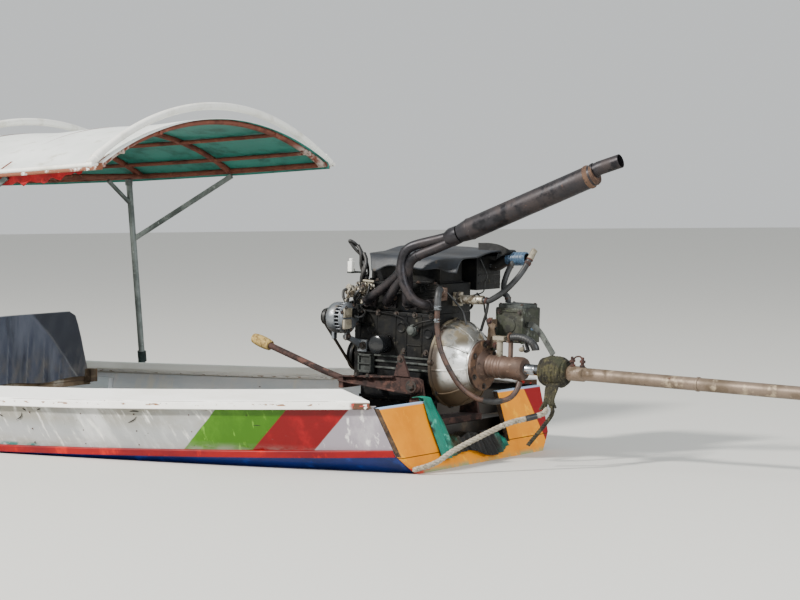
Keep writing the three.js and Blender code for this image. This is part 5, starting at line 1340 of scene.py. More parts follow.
# %% [markdown]
# The sheet is one surface: over each arch it lies on the pipe, and between two arches it sags by a few
# millimetres, as stretched canvas does. Its edges roll over the eave rails. The surface itself is the
# green lining. A Solidify modifier gives it thickness, and the skin that this adds outside, with the
# rim, takes the white finish.

# %% Canopy sheet
SHEET_LIFT, SHEET_THICK, SHEET_SAG, SHEET_OVERHANG = 0.0124, 0.004, 0.007, 0.03
ROWS_ALONG, ROWS_ACROSS = 181, 61

x = np.linspace(ARCH_X[0] - SHEET_OVERHANG, ARCH_X[-1] + SHEET_OVERHANG, ROWS_ALONG)[:, None]
share = np.linspace(-1, 1, ROWS_ACROSS)[None, :]
y = (ARCH_HALF + 0.004) * np.sin(share * np.pi / 2 * 0.999)
bay = np.clip((x - ARCH_X[0]) / 0.54, 0, 9)
sag = SHEET_SAG * np.sin(np.pi * (bay % 1)) ** 2 * np.cos(share * np.pi / 2) ** 0.5
rows = np.stack(np.broadcast_arrays(x, y, eave_z(x) + arc_height(y, ARCH_HALF + 0.004, ARCH_RISE)
                                    + SHEET_LIFT - sag), 2)
rows[..., 2] += 0.0015 * ripple(rows, 0.5, 4)
turn_down = np.linspace(0.2, 1.0, 5)[None, :, None]
edge_out, edge_drop = 0.016, 0.03
hems = []
for side, edge in ((-1, rows[:, :1]), (1, rows[:, -1:])):
    step = np.concatenate([0 * turn_down, side * edge_out * np.sin(turn_down * np.pi / 2),
                           -edge_drop * (1 - np.cos(turn_down * np.pi / 2)) - 0.004 * turn_down], 2)
    hems.append(edge + step)
sheet_rows = np.concatenate([hems[0][:, ::-1], rows, hems[1]], 1)
sheet = piece("canopy_sheet_cloth", grid(sheet_rows, wrap=False, scale=(4.9, 1.75)), "hull", "canopy_lining",
              stands_for=("canopy_sheet",), outward=False)
thickened(sheet, SHEET_THICK, skin="canopy_sheet")

# %% [markdown]
# Outside the sheet stand hoops of white water pipe, joined to thin rails along both eaves. Push-fit
# sockets and end caps are slightly wider rings on the same paths.

# %% White hoops
hoops, sockets = [], []
for x in ARCH_X[::2]:
    path = arch_path(x, HOOP_HALF, HOOP_RISE, 0.002, 61)
    hoops.append(tube(path, HOOP_RADIUS, 20))
    sockets += [ring_round(path, u, HOOP_RADIUS, 0.05, 0.003) for u in (0.03, 0.97)]
hoop_rails = [tube(along_canopy(side * HOOP_HALF, 0.0), 0.009, 14) for side in (-1, 1)]
spacers = [pipe((x, side * (ARCH_HALF + 0.0135), eave_z(x)), (x, side * HOOP_HALF, eave_z(x)), 0.007, 12)
           for x in ARCH_X[::2] for side in (-1, 1)]
piece("canopy_hoops_pipe", added(hoops + hoop_rails + spacers + sockets), "hull", "white_plastic",
      stands_for=("canopy_hoops",))
print("hoops:", len(hoops))

# %% [markdown]
# Three pairs of steel posts carry the canopy. Each has a knee up to the tie, a long flat brace aft
# to the eave and a sleeve at its head, and dark cord lashes its foot.

# %% Posts
POST_RADIUS, BRACE_RADIUS = 0.015, 0.009


CAP_CANT, CAP_OVERHANG, CAP_THICK, CLEAR = 0.325, 0.022, 0.036, 0.0004


def cap_top(x, y):
    """The height of the cap's slanted top at a place across."""
    sheer_y, sheer_z = hull_line(x, 1, 2)
    return sheer_z + CLEAR - CAP_OVERHANG * CAP_CANT + CAP_THICK + (sheer_y + CAP_OVERHANG - y) * CAP_CANT


def post_set(k, side):
    """The post, its knee, flat brace and head sleeve, and the line its lashings wind round."""
    x = ARCH_X[k]
    foot_y = hull_line(x, 1)[0] - 0.048
    foot = cap_top(x, foot_y - POST_RADIUS) + 0.0016
    top = eave_z(x) - PIPE_RADIUS - 0.0004
    at = lambda z: foot_y + (0.668 - foot_y) * (z - foot) / (top - foot)
    line = np.array([[x, foot_y, foot], [x, 0.668, top]]) * (1, side, 1)
    shaft = pipe(line[0], line[1], POST_RADIUS, 20, 12)
    knee = squared(np.array([[x, at(top - 0.12), top - 0.12], [x, 0.518, top - 0.006]]) * (1, side, 1),
                   0.018, 0.014, (0, 0, 1))
    far_x = x - 0.56
    far_z = eave_z(far_x) - PIPE_RADIUS - BRACE_RADIUS
    brace = squared(np.array([[x, at(top - 0.29), top - 0.29], [far_x, 0.757, far_z]]) * (1, side, 1),
                    0.009, 0.024, (0, 0, 1))
    head = pipe(line[1] - (0, 0, 0.03), line[1], POST_RADIUS + 0.003, 20)
    return added([shaft, knee, brace, head]), line


lashings = []
for number, k in enumerate(POST_ARCHES):
    for side, name in ((1, "port"), (-1, "starboard")):
        shape, line = post_set(k, side)
        piece(f"post_{number + 1}_{name}_pipe", shape, "hull", "grey_steel", 0.001,
            (f"post_{number + 1}_{name}",))
        low = np.linspace(line[0] + (0, 0, 0.012), line[0] + (line[1] - line[0]) * 0.07, 8)
        lashings.append(tube(helix_on(low, POST_RADIUS + 0.003, 7, side, 120), 0.0038, 8))
        knot = line[0] + (line[1] - line[0]) * 0.045 + np.array([0.0, 0.02 * side, 0.0])
        tail = np.array([knot, knot + (0.012, 0.012 * side, -0.03), knot + (0.03, 0.014 * side, -0.075)])
        lashings.append(tube(smooth_path(tail, 14), 0.0035, 8))
piece("post_lashings", added(lashings), "hull", "dark_rope")
print("posts:", 2 * len(POST_ARCHES))

# %% [markdown]
# ## The engine
#
# A car engine stands in a steel cradle that tilts on the swivel. Its pieces are easiest to draw in the
# engine's own directions: x forward along the crankshaft, y to port, z up, from the middle of the
# swivel's pins. One function then turns them to the 2.3 degrees at which the shaft slopes at rest.

# %% Engine directions
SLOPE = math.radians(2.3)
SWIVEL = np.array([-4.43, 0.0, 0.315])


def on_engine(shape):
    """Points in the engine's own directions, in millimetres, turned by the slope and put on the swivel."""
    return moved(shape, lambda p: spun(p / 1000, 1, -SLOPE) + SWIVEL)


def engine_piece(name, shapes, slot, bevel=0.0, stands_for=(), **more):
    return piece(name, on_engine(added(shapes)), "engine", slot, bevel / 1000, stands_for, **more)


def rod(points, radius, sides=14, count=24):
    return tube(smooth_path(points, count), radius, sides)


# %% [markdown]
# The block is dark and oily: a casting with stiffening ribs, core plugs and a bolted sump. On its front
# sits the timing cover. Low on each side run three ledges, and ahead of them a pad for a mount. Dust
# lies on these, so they take a greyer finish: they are what catches the light low on the block.

# %% Engine block
BLOCK_X, BLOCK_HALF = (-36, 335), 130
CRANK_Z = 82
LEDGES_Z = (50, 76, 98)


def both_sides(near, far):
    """The y limits of the same thing on the port side and on the starboard side."""
    return [side_limits(side, near, far) for side in (-1, 1)]


parts = [block(BLOCK_X, (-BLOCK_HALF, BLOCK_HALF), (0, 285)), block(BLOCK_X, (-112, 112), (-75, 2)),
         block((95, 330), (-100, 100), (-128, -73)), block((333, 375), (-105, 105), (-4, 300)),
         turned([[0, 18], [60, 18]], (360, 0, CRANK_Z), (420, 0, CRANK_Z), 24),
         turned([[0, 16], [60, 16]], (360, 0, 262), (420, 0, 262), 24),
         block((300, 345), (128, 152), (232, 272)), block((95, 330), (-112, 112), (-79, -73))]
for limits in both_sides(110, 124):
    parts += [block(BLOCK_X, limits, (-75, -64)), block(BLOCK_X, limits, (-12, 2))]
for limits in both_sides(128, 133):
    parts += [block((x, x + 7), limits, (106, 280)) for x in (-36, 24, 98, 152, 246, 328)]
    parts += [block(BLOCK_X, limits, (268, 285)), block((24, 98), limits, (150, 157))]
parts += [turned([[0, 22], [5, 22], [5, 17], [2, 15]], (x, 129, z), (x, 140, z), 24)
          for x, z in ((-4, 205), (126, 222), (274, 205))]
engine_piece("engine_block_cast", parts, "black_iron", 2.5, ("engine_block",))

ledges = []
for limits in both_sides(128, 138):
    ledges += [block((BLOCK_X[0], 254), limits, (z, z + 8)) for z in LEDGES_Z]
for side in (-1, 1):
    low, high = side_limits(side, 128, 150)
    ledges.append(block((258, 317), (low, high), (31, 102)))
    low, high = side_limits(side, 128, 158)
    ledges += [block((255, 320), (low, high), z) for z in ((28, 38), (62, 68), (95, 105))]
    ledges += [block(x, (low, high), (28, 105)) for x in ((255, 262), (313, 320))]
engine_piece("engine_block_ledges", ledges, "dusty_iron", 1.5)

fuel_pump = turned([[0, 24], [9, 24], [9, 21], [14, 21], [15, 23], [19, 23], [20, 20], [28, 17], [33, 9],
        [34, 3]], (66, 128, 215), (66, 162, 215), 32)
fuel_lines = [rod([(74, 150, 232), (110, 148, 262), (200, 139, 276), (300, 136, 279), (352, 128, 286)], 3.2,
        10, 40), rod([(58, 148, 232), (20, 150, 250), (-30, 142, 262), (-48, 110, 268)], 4.2, 10, 30)]
engine_piece("fuel_pump_body", [fuel_pump], "dusty_iron", 1.0)
engine_piece("fuel_lines", fuel_lines, "black_iron")

pan_places = [(x, 104, -79) for x in np.linspace(105, 320, 6)]
cover_places = [(375, y, z) for y in (-92, 92) for z in (10, 100, 190, 285)] + [(375, y, 290)
    for y in (-40, 40)]
side_places = [(x, 133, 277) for x in (-20, 60, 150, 240, 312)] + [(x, 130, 128) for x in (4, 110, 330)]
pump_places = [(x, 137, 215) for x in (47, 85)]
engine_piece("engine_block_bolts", [bolts(pan_places, (0, 0, -1), 10, 7),
        bolts(cover_places, (1, 0, 0), 11, 7), bolts(side_places, (0, 1, 0), 13, 8),
        bolts(pump_places, (0, 1, 0), 9, 6)], "bolt_steel")

# %% [markdown]
# On the block: the head with its row of exhaust ports, and the rocker cover under the rubber sheet. A
# silvery stub leaves the head aft, and the vent hose is pushed over it.

# %% Cylinder head
PORT_X = 285 - 101 * np.arange(4)
parts = [block((-42, 331), (-118, 118), (285.4, 405)),
         prism([(-20, 403), (315, 403), (315, 488), (295, 506), (0, 506), (-20, 488)], -85, 78),
         block((-26, 321), (-91, 84), (405, 412))]
parts += [block((-30, 322), (117, 121), (z, z + 6)) for z in (352, 366, 380)]
parts += [turned([[0, 15], [7, 15], [7, 11], [3, 10]], (x, 117, 384), (x, 126, 384), 20) for x in PORT_X[:3]
    - 50]
parts += [rod([(x, 100, 398), (x, 112, 402), (x, 119, 395)], 6, 8, 6) for x in (10, 110, 210, 300)]
engine_piece("cylinder_head_cast", parts, "black_iron", 3, ("cylinder_head",))
places = [(x, 112, 405) for x in (-20, 60, 160, 260, 320)]
engine_piece("cylinder_head_bolts", [bolts(places, (0, 0, 1), 13, 9)], "bolt_steel")

stub_line = evenly(np.array([(-40, -10, 340), (-163, -10, 344), (-175, -10, 344)]), 30)
stub = [tube(stub_line, 18, 32), block((-62, -42), (-34, 14), (314, 370)),
    ring_round(stub_line, 0.62, 18, 12, 2, 32)]
engine_piece("cylinder_head_stub", stub, "outlet_alloy", 1.2)
outlet = [rod([(-38, 96, 366), (-62, 118, 372), (-74, 152, 384)], 17, 24, 20),
    block((-56, -40), (74, 122), (340, 392))]
engine_piece("cylinder_head_outlet", outlet, "brown_alloy", 1.5)

# %% Intake box
parts = [block((x, x + 44), (-188.4, -118.4), (318, 372)) for x in (44, 118, 192, 244)]
parts += [prism([(-60, 372), (300, 372), (300, 518), (270, 530), (-40, 530), (-60, 510)], -318, -135),
          block((110, 200), (-300, -195), (262, 380)), block((40, 290), (-130, -118.6), (312, 376)),
          turned([[0, 40], [10, 40], [10, 30], [26, 30]], (155, -250, 262), (155, -250, 236), 24)]
parts += [block((-60, 300), (-319.5, -317), (z, z + 8)) for z in (386, 416, 446, 476)]
parts += [block((-61.5, -58), (-306, -147), (z, z + 8)) for z in (396, 430)]
parts += [block((298, 301.5), (-306, -147), (z, z + 8)) for z in (396, 430, 464)]
engine_piece("intake_cast", parts, "black_iron", 3, ("intake",))

# %% [markdown]
# A black rubber sheet lies over the rocker cover and the intake. It is a height over (x, y): the line
# over the covers, waves that grow towards the hanging port edge, and a corner pulled down at the front.

# %% Rubber cover
COVER_X, COVER_THICK = (-132, 328), 5
COVER_LINE = [(-336, 487), (-331, 512), (-322, 532), (-300, 537), (-220, 537), (-150, 536), (-90, 530),
    (-30, 519), (20, 516), (70, 514), (92, 509), (108, 495), (117, 478), (126, 458)]


def cover_rows(count_x=64, count_s=56):
    x = np.linspace(*COVER_X, count_x)[:, None]
    path = smooth_path(np.insert(np.array(COVER_LINE, float), 0, 0, axis=1), count_s)[:, 1:]
    y, z = path[:, 0][None, :], path[:, 1][None, :]
    hang = np.clip((y - 78) / 48, 0, 1)
    outer = np.clip((-300 - y) / 36, 0, 1)
    u = (x - COVER_X[0]) / (COVER_X[1] - COVER_X[0])
    wave = 6 * np.sin(7.1 * u + 0.6) + 5 * np.sin(13.0 * u + 2.0) + 2.5 * np.sin(23.0 * u)
    drop = hang**1.3 * (wave - 9 + 14 * u**2) + outer * 0.7 * wave
    ahead = -46 * hang * np.clip((u - 0.72) / 0.28, 0, 1) ** 1.5
    rows = np.stack(np.broadcast_arrays(x + ahead, y + hang * wave * 0.5, z - drop), 2)
    rows[..., 2] += 2.0 * ripple(rows, 260, 7) + 1.0 * ripple(rows, 90, 8)
    return rows


cover_path = cover_rows()
cover = engine_piece("engine_cover_sheet", [grid(cover_path, wrap=False, scale=(0.51, 0.6))], "rubber_sheet",
                     stands_for=("engine_cover",), outward=False)
thickened(cover, COVER_THICK / 1000)
torn = engine_piece("engine_cover_torn_strip", [strap_along(
            [(-20, -206, 546), (-70, -204, 548), (-118, -200, 544), (-150, -204, 532), (-158, -230, 522)],
            34, 3, (0, 1, 0))], "black_tape")

# %% [markdown]
# ### Exhaust
#
# Four pipes leave the ports, join in pairs, and run aft into one silencer. Every pipe is a ring carried
# along the same points as in the model, but smoothly, with flanges, nuts and weld beads added.

# %% Exhaust header
PORT_Z = 322
UPPER = [(-170, 183, 614), (-90, 190, 592), (40, 212, 552), (62, 216, 528), (72, 218, 490)]
LOWER = [(-168, 187, 594), (-80, 196, 556), (20, 206, 512), (44, 206, 486), (54, 200, 452)]
HEADER_PATHS = [(UPPER + [(66, 222, 440), (44, 222, 385), (10, 210, 340), (-18, 172, PORT_Z),
            (-18, 123, PORT_Z)], 20), ([(72, 218, 498), (92, 206, 450), (150, 190, 405), (250, 172, 340),
            (285, 150, PORT_Z), (285, 123, PORT_Z)], 19),
    (LOWER + [(66, 178, 400), (80, 166, 350), (83, 150, PORT_Z), (83, 123, PORT_Z)], 20),
    ([(54, 200, 462), (92, 196, 420), (140, 186, 362), (170, 168, 335), (184, 150, PORT_Z),
            (184, 123, PORT_Z)], 19), ]
header_lines = [(centripetal(points, 70), radius) for points, radius in HEADER_PATHS]
parts = [tube(path, radius, 24) for path, radius in header_lines]
parts += [turned([[0, 30], [24, 38], [58, 36]], (-124, 188, 593), (-182, 185, 618), 32)]
for k, x in enumerate(PORT_X):
    middle = x + 3 if k == 3 else x
    parts.append(block((middle - 26, middle + 26), (118.4, 127), (298, 346)))
parts += [ring_round(path, 0.93, radius, 5, 3, 24) for path, radius in header_lines]
parts += [ring_round(header_lines[0][0], 0.44, 20, 5, 2.6, 24),
    ring_round(header_lines[2][0], 0.43, 20, 5, 2.6, 24)]
engine_piece("exhaust_header_pipes", parts, "exhaust_steel", 1.5, ("exhaust_header",))
places = [(x + dx, 127, PORT_Z + dz) for x in (PORT_X[0], PORT_X[1], PORT_X[2], PORT_X[3] + 3)
          for dx, dz in ((-20, 17), (20, -17))]
engine_piece("exhaust_header_nuts", [bolts(places, (0, 1, 0), 12, 9)], "bolt_steel")

# %% Silencer
FROM, TO = np.array([-182, 185, 618.0]), np.array([-765, 150, 868.0])
SILENCER_LONG = float(np.linalg.norm(TO - FROM))


def on_silencer(share, lift=0.0):
    """A point on the silencer's line, at a share of its length and lifted straight up."""
    return FROM + (TO - FROM) * share + np.array([0, 0, lift])


body = [[0.5, 36], [6, 37], [SILENCER_LONG * 0.06, 42], [SILENCER_LONG * 0.075, 44],
    [SILENCER_LONG * 0.945, 44], [SILENCER_LONG * 0.972, 43], [SILENCER_LONG, 40], [SILENCER_LONG + 3, 30]]
weld = [[SILENCER_LONG * 0.08 - 4, 43.5], [SILENCER_LONG * 0.08 - 2, 45], [SILENCER_LONG * 0.08 + 2, 45],
        [SILENCER_LONG * 0.08 + 4, 43.5]]
engine_piece("silencer_can", [turned(body, FROM, TO, 48), turned(weld, FROM, TO, 48)], "exhaust_steel", 0,
             ("silencer",))
ring = [[SILENCER_LONG * 0.944, 43], [SILENCER_LONG * 0.95, 46.5], [SILENCER_LONG * 0.962, 47],
        [SILENCER_LONG * 0.97, 45], [SILENCER_LONG * 0.978, 42]]
cap = [[SILENCER_LONG * 0.992, 42], [SILENCER_LONG + 4, 38], [SILENCER_LONG + 5, 28]]
engine_piece("silencer_weld_ring", [turned(ring, FROM, TO, 48), turned(cap, FROM, TO, 48)], "brown_rust")
tail_pipe = evenly(np.array([on_silencer(0.97, 14), on_silencer(1.03, 17), on_silencer(1.18, 9)]), 26)
engine_piece("silencer_outlet", [hose_with_bore(tail_pipe, 27, 2.5, 16, 32),
        ring_round(tail_pipe, 0.12, 27, 9, 4, 32)], "exhaust_steel")
print("silencer:", round(SILENCER_LONG / 1000, 2), "m")

# %% [markdown]
# ### Bell, shaft and tail
#
# Behind the block comes the alloy bell with its cast ribs, then a brown flange and ribbed neck, the
# bare shaft, a thick wrapping of old rope, and the long tail tube with the propeller at its end. On the
# neck stand a stem with a square cap and a thin upright.

# %% Bell and shaft housing
AXIS_FORE, AXIS_AFT = np.array([0, 0, CRANK_Z]), np.array([-1, 0, CRANK_Z])


def on_shaft(profile, sides=48):
    """A lathe part about the crankshaft's line, from [x, radius] pairs that run aft."""
    profile = np.array(profile, float)
    return turned(np.stack([-profile[:, 0], profile[:, 1]], 1), AXIS_FORE, AXIS_AFT, sides)


def round_shaft(x, radius, count, shift):
    """Places on a circle about the crankshaft's line."""
    turn = 2 * np.pi * (np.arange(count) + shift) / count
    return np.stack([0 * turn + x, radius * np.cos(turn), CRANK_Z + radius * np.sin(turn)], 1)


bell = [[-36.4, 150], [-36.4, 178], [-48, 178], [-50, 173], [-70, 173], [-78, 172], [-96, 168], [-112, 162],
        [-132, 148], [-146, 137], [-160, 118], [-170, 106], [-172, 104], [-178, 104], [-178, 40]]
parts = [on_shaft(bell, 64)]
for k in range(10):
    angle = 2 * math.pi * (k + 0.35) / 10
    rib = prism([(-50, 168), (-50, 176), (-80, 176), (-116, 166), (-148, 142), (-170, 110), (-170, 98),
            (-60, 150)], -4, 4)
    parts.append(moved(rib, lambda p: spun(p, 0, angle) + AXIS_FORE))
parts += [turned([[0, 13], [14, 13]], (-36.6, y, z), (-50.6, y, z), 18) for _, y,
    z in round_shaft(0, 171, 8, 0.1)]
engine_piece("bell_housing_cast", parts, "bell_alloy", 2, ("bell_housing",))
engine_piece("bell_housing_bolts", [bolts(round_shaft(-50.6, 171, 8, 0.1), (-1, 0, 0), 13, 9)], "bolt_steel")

neck = [[-178.4, 40], [-178.4, 102], [-190, 102], [-190, 62], [-199, 54], [-208, 50]]
for x in (-218, -246, -274):
    neck += [[x, 44], [x - 3, 47], [x - 12, 47], [x - 15, 44]]
neck += [[-330, 44], [-336, 47], [-372, 47], [-385, 42], [-386, 30]]
parts = [on_shaft(neck, 48), block((-322, -308), (-9, 9), (118, 189)),
    block((-322, -297), (-9, 9), (182, 189))]
engine_piece("shaft_housing_cast", parts, "brown_alloy", 1.5, ("shaft_housing",))
ring = [[-190, 60], [-190, 101], [-192, 101], [-192, 60]]
engine_piece("shaft_housing_rim", [on_shaft(ring, 48)], "brown_rust", 0.8)
engine_piece("shaft_housing_bolts", [bolts(round_shaft(-192, 84, 6, 0.5), (-1, 0, 0), 13, 9)], "bolt_steel")
stem = turned([[0, 13], [66, 13], [67, 17], [71, 17]], (-264, 0, 118), (-264, 0, 190), 28)
cap = [block((-292, -240), (-19, 19), (190, 206)), block((-289, -243), (-16, 16), (187, 191))]
engine_piece("shaft_housing_stem", [stem] + cap, "dirty_white", 1.5)
engine_piece("shaft_bar", [on_shaft([[-384, 20], [-384, 22], [-428, 22], [-430, 21], [-436, 21], [-438, 22],
                                     [-519, 22], [-519, 10]], 32)], "clean_steel")

# %% [markdown]
# The wrapping is one long rope wound in a few layers over the joint of shaft and tube.
# A dozen frayed strands and one thicker rope end hang from it.

# %% Rope wrap
draw = np.random.default_rng(11)
turns, per_turn = 15, 30
step = np.linspace(0, 1, turns * per_turn)
bob = np.cumsum(draw.normal(0, 0.02, len(step)))
bob -= np.linspace(bob[0], bob[-1], len(step))
layers = np.abs(((step * 2.0) % 2) - 1)
x = -468 - 108 * layers + 2.5 * np.sin(step * 90)
swell = np.interp(-x, [468, 488, 520, 560, 576], [46, 56, 60, 56, 42])
radius = swell - 5 + 2.2 * bob + 1.5 * np.sin(step * 57)
angle = step * turns * 2 * np.pi
wound = np.stack([x, radius * np.cos(angle), CRANK_Z + radius * np.sin(angle)], 1)
core = on_shaft([[-462, 24], [-464, 42], [-482, 50], [-520, 56], [-560, 52], [-578, 38], [-582, 26]], 32)
parts = [core, tube(wound, 9, 8)]
for k in range(12):
    far = np.array([-524 - 4.5 * k, 90 + 3 * (k % 4), -58 + 3 * k - 8 * (k % 3)])
    strand = smooth_path([(-516 - 4.4 * k, 34, 46), (-520 - 4.4 * k, 60, 22 - 2 * (k % 3)),
                          (-530 - 3.6 * k, 84 + k % 3, -20), far + draw.normal(0, 7, 3)], 18)
    parts.append(laid_rope(strand, 5.2, lay=26))
second_end = [(-548, 80, -6), (-566, 94, -36), (-572, 98, -73), (-524, 97, -137), (-463, 92, -206)]
parts.append(laid_rope(smooth_path(second_end, 30), 9.0, lay=38))
engine_piece("rope_wrap_turns", parts, "old_rope", 0, ("rope_wrap",))

# %% Tail tube and skeg
AFT, FORE = -3280, -530
SLEEVE = (-586, -660)
parts = [on_shaft([[FORE, 15], [FORE, 25.5], [-1200, 25.5], [-2000, 25.5], [AFT + 96, 25.5], [AFT + 90, 30],
                   [AFT + 84, 34], [AFT + 10, 33], [AFT, 31], [AFT, 13]], 36),
         prism([(AFT + 70, CRANK_Z - 20), (AFT + 420, CRANK_Z - 20), (AFT + 160, CRANK_Z - 150),
                (AFT + 50, CRANK_Z - 160)], -4, 4)]
parts += [on_shaft([[x, 24], [x, 28.5], [x - 10, 28.5], [x - 10, 24]], 30) for x in (-1150, -2100)]
engine_piece("tail_tube_steel", parts, "beige_steel", 1.5, ("tail_tube",))
sleeve = [[SLEEVE[0] + 2, 24], [SLEEVE[0], 26], [SLEEVE[0] - 4, 30], [SLEEVE[1] + 4, 30], [SLEEVE[1], 26],
          [SLEEVE[1] - 2, 24]]
engine_piece("tail_sleeve", [on_shaft(sleeve, 36)], "beige_steel")
knob = [[0, 11], [7, 11], [7, 7], [17, 7], [17, 12], [26, 12], [27, 6], [37, 6], [39, 4]]
knobs = [turned(knob, (x, 4, 110), (x + tilt, 6, 150), 16) for x, tilt in ((-606, 4), (-648, -3))]
knobs += [rod([(-606, 4, 132), (-622, 12, 148), (-640, 6, 150), (-648, 4, 134)], 3.5, 8, 16)]
engine_piece("tail_sleeve_screws", knobs, "dark_rust", 0.8)

# %% Propeller
def blade_rows(count_r=26, count_c=22):
    """A blade: chords of changing length and pitch stacked from hub to tip, each a thin lens."""
    r = np.linspace(14, 150, count_r)
    known = np.array([14, 60, 105, 150])
    chord = np.interp(r, [14, 60, 105, 132, 146, 150], [22, 46, 50, 40, 22, 10])
    pitch = np.interp(r, known, [1.0, 0.75, 0.55, 0.42])
    thick = np.interp(r, known, [7, 5, 4, 2.5])
    turn = np.linspace(0, 2 * np.pi, count_c, endpoint=False)
    u = chord[:, None] * np.cos(turn)
    v = thick[:, None] * np.sin(turn)
    along = u * np.sin(pitch)[:, None] / 2 + v * np.cos(pitch)[:, None] / 2
    wide = u * np.cos(pitch)[:, None] / 2 - v * np.sin(pitch)[:, None] / 2
    return np.stack([AFT - 34 + along, wide, np.broadcast_to(r[:, None], u.shape)], 2)


blade = grid(blade_rows())
parts = [moved(blade, lambda p: spun(p, 0, 2 * math.pi * k / 3) + AXIS_FORE) for k in range(3)]
parts += [on_shaft([[AFT + 24, 10], [AFT + 24, 12], [AFT - 6, 12], [AFT - 6, 24], [AFT - 40, 22],
            [AFT - 58, 18], [AFT - 70, 13], [AFT - 76, 8], [AFT - 76, 2]], 36)]
piece("propeller_cast", on_engine(added(parts)), "propeller", "bronze", 0.0, ("propeller",))
print("tail done")

# %% [markdown]
# ### Front drive
#
# A V-belt runs round the crank pulley, the water pump and the alternator. The alternator's alloy body
# has rows of cooling slots, which read as a ring of dark notches, so they are real gaps between ribs.

# %% Pulleys and belt
def v_wheel(y, z, radius):
    """A V-pulley about a line along x: two flanges with a groove between them."""
    profile = [[412, radius * 0.3], [412, radius * 0.82], [416, radius + 7], [420, radius + 7], [426, radius],
               [434, radius], [440, radius + 7], [444, radius + 7], [446, radius * 0.85], [438, radius * 0.6],
               [444, 20], [446, 6]]
    start = np.array([0, y, z])
    return turned(profile, start, start + (1, 0, 0), 48)


WHEELS = [(0.0, 82.0, 58.0), (0.0, 262.0, 44.0), (218.0, 252.0, 26.0)]
engine_piece("crank_pulley_wheel", [v_wheel(*WHEELS[0]), bolts([(446, 0, 82)], (1, 0, 0), 26, 14)],
    "black_iron", 1, ("crank_pulley",))
engine_piece("pump_pulley_wheel", [v_wheel(*WHEELS[1]),
        bolts([(446, y, 262 + z) for y, z in ((16, 0), (-16, 0), (0, 16), (0, -16))], (1, 0, 0), 10, 6)],
    "black_iron", 1, ("pump_pulley",))


def belt_path(extra, count=240):
    """The tight loop round the wheels: the outermost points in each direction from the middle."""
    turn = np.linspace(0, 2 * np.pi, 721)[:-1]
    points = np.concatenate([np.stack([y + (r + extra) * np.cos(turn), z + (r + extra) * np.sin(turn)], 1)
                             for y, z, r in WHEELS])
    facing = np.stack([np.cos(turn), np.sin(turn)], 1)
    outermost = points[np.argmax(points @ facing.T, axis=0)]
    loop = np.concatenate([outermost, outermost[:1]])
    return evenly(np.insert(loop, 0, 430, axis=1), count)[:-1]


loop_in, loop_out = belt_path(1.4), belt_path(9.5)
rings = np.stack([loop_in - (4, 0, 0), loop_in + (4, 0, 0), loop_out + (6, 0, 0), loop_out - (6, 0, 0)], 1)
closed = np.concatenate([rings, rings[:1]])
engine_piece("fan_belt_loop", [grid(closed, caps=False)], "rubber_hose", 0, ("fan_belt",))

# %% Alternator
ALT_Y, ALT_Z = 218.0, 252.0
centre = np.array([0, ALT_Y, ALT_Z])


def on_alternator(profile, sides=56):
    """A lathe part about the alternator's own line, from [x, radius] pairs."""
    return turned(profile, centre, centre + (1, 0, 0), sides)


def at_alternator(x, y, z):
    """A box placed by x and by its steps across from the alternator's line."""
    return moved(block(x, y, z), lambda p: p + centre)


dome = on_alternator([[357, 40], [357, 62.5], [360, 64], [380, 64], [392, 62], [401, 57], [406, 49],
        [408, 36], [411, 26], [412, 12]])
back_end = on_alternator([[335, 52], [335, 63.5], [331, 63.5], [325, 58], [320, 50], [318, 40], [318, 10]])
bars = []
for k in range(24):
    angle = 2 * math.pi * k / 24
    bar = block((330, 360), (-2.6, 2.6), (46, 62.6))
    bars.append(moved(bar, lambda p: spun(p, 0, angle) + centre))
ears = [block(across, (ALT_Y - 10, ALT_Y + 12), (164, 200)) for across in ((328, 340), (390, 402))]
engine_piece("alternator_cast", [dome, back_end, block((322, 345), (152.4, 176), (236, 268))] + ears + bars,
             "pale_alloy", 1.2, ("alternator",))
hub = turned([[0, 20], [6, 20], [7, 14], [12, 13]], centre + (319, -24, 20), centre + (306, -24, 20), 28)
drum = on_alternator([[326, 20], [326, 47], [340, 48], [392, 48], [394, 20]])
engine_piece("alternator_windings", [drum, hub, v_wheel(*WHEELS[2])], "black_iron", 0)
plates = [at_alternator((311, 319), (-2, 50), (5, 42)), at_alternator((309, 319), (2, 53), (-42, -3)),
          at_alternator((307, 312), (8, 42), (12, 34))]
engine_piece("alternator_plates", plates, "dirty_white", 1.5)
turn = 2 * np.pi * (np.arange(4) + 0.3) / 4
places = np.stack([0 * turn + 324, ALT_Y + 55 * np.cos(turn), ALT_Z + 55 * np.sin(turn)], 1)
engine_piece("alternator_bolts", [bolts(places, (-1, 0, 0), 10, 7),
        bolts([(328, ALT_Y, 178)], (-1, 0, 0), 17, 10),
        bolts([(310, ALT_Y + 8, ALT_Z - 46), (310, ALT_Y + 44, ALT_Z + 46)], (-1, 0, 0), 8, 8)],
    "bolt_steel")
engine_piece("alternator_lead", [rod([(309, 204, 262), (296, 196, 256), (286, 176, 262), (292, 150, 276),
                                      (320, 134, 288), (340, 112, 296)], 4.5, 12, 40)], "black_tape")
print("front drive done")

# %% [markdown]
# The bracket that holds the alternator has a bright foot bolted to the block and a wide arm that tapers
# to the lower ear, curved like a guard on its outer side.

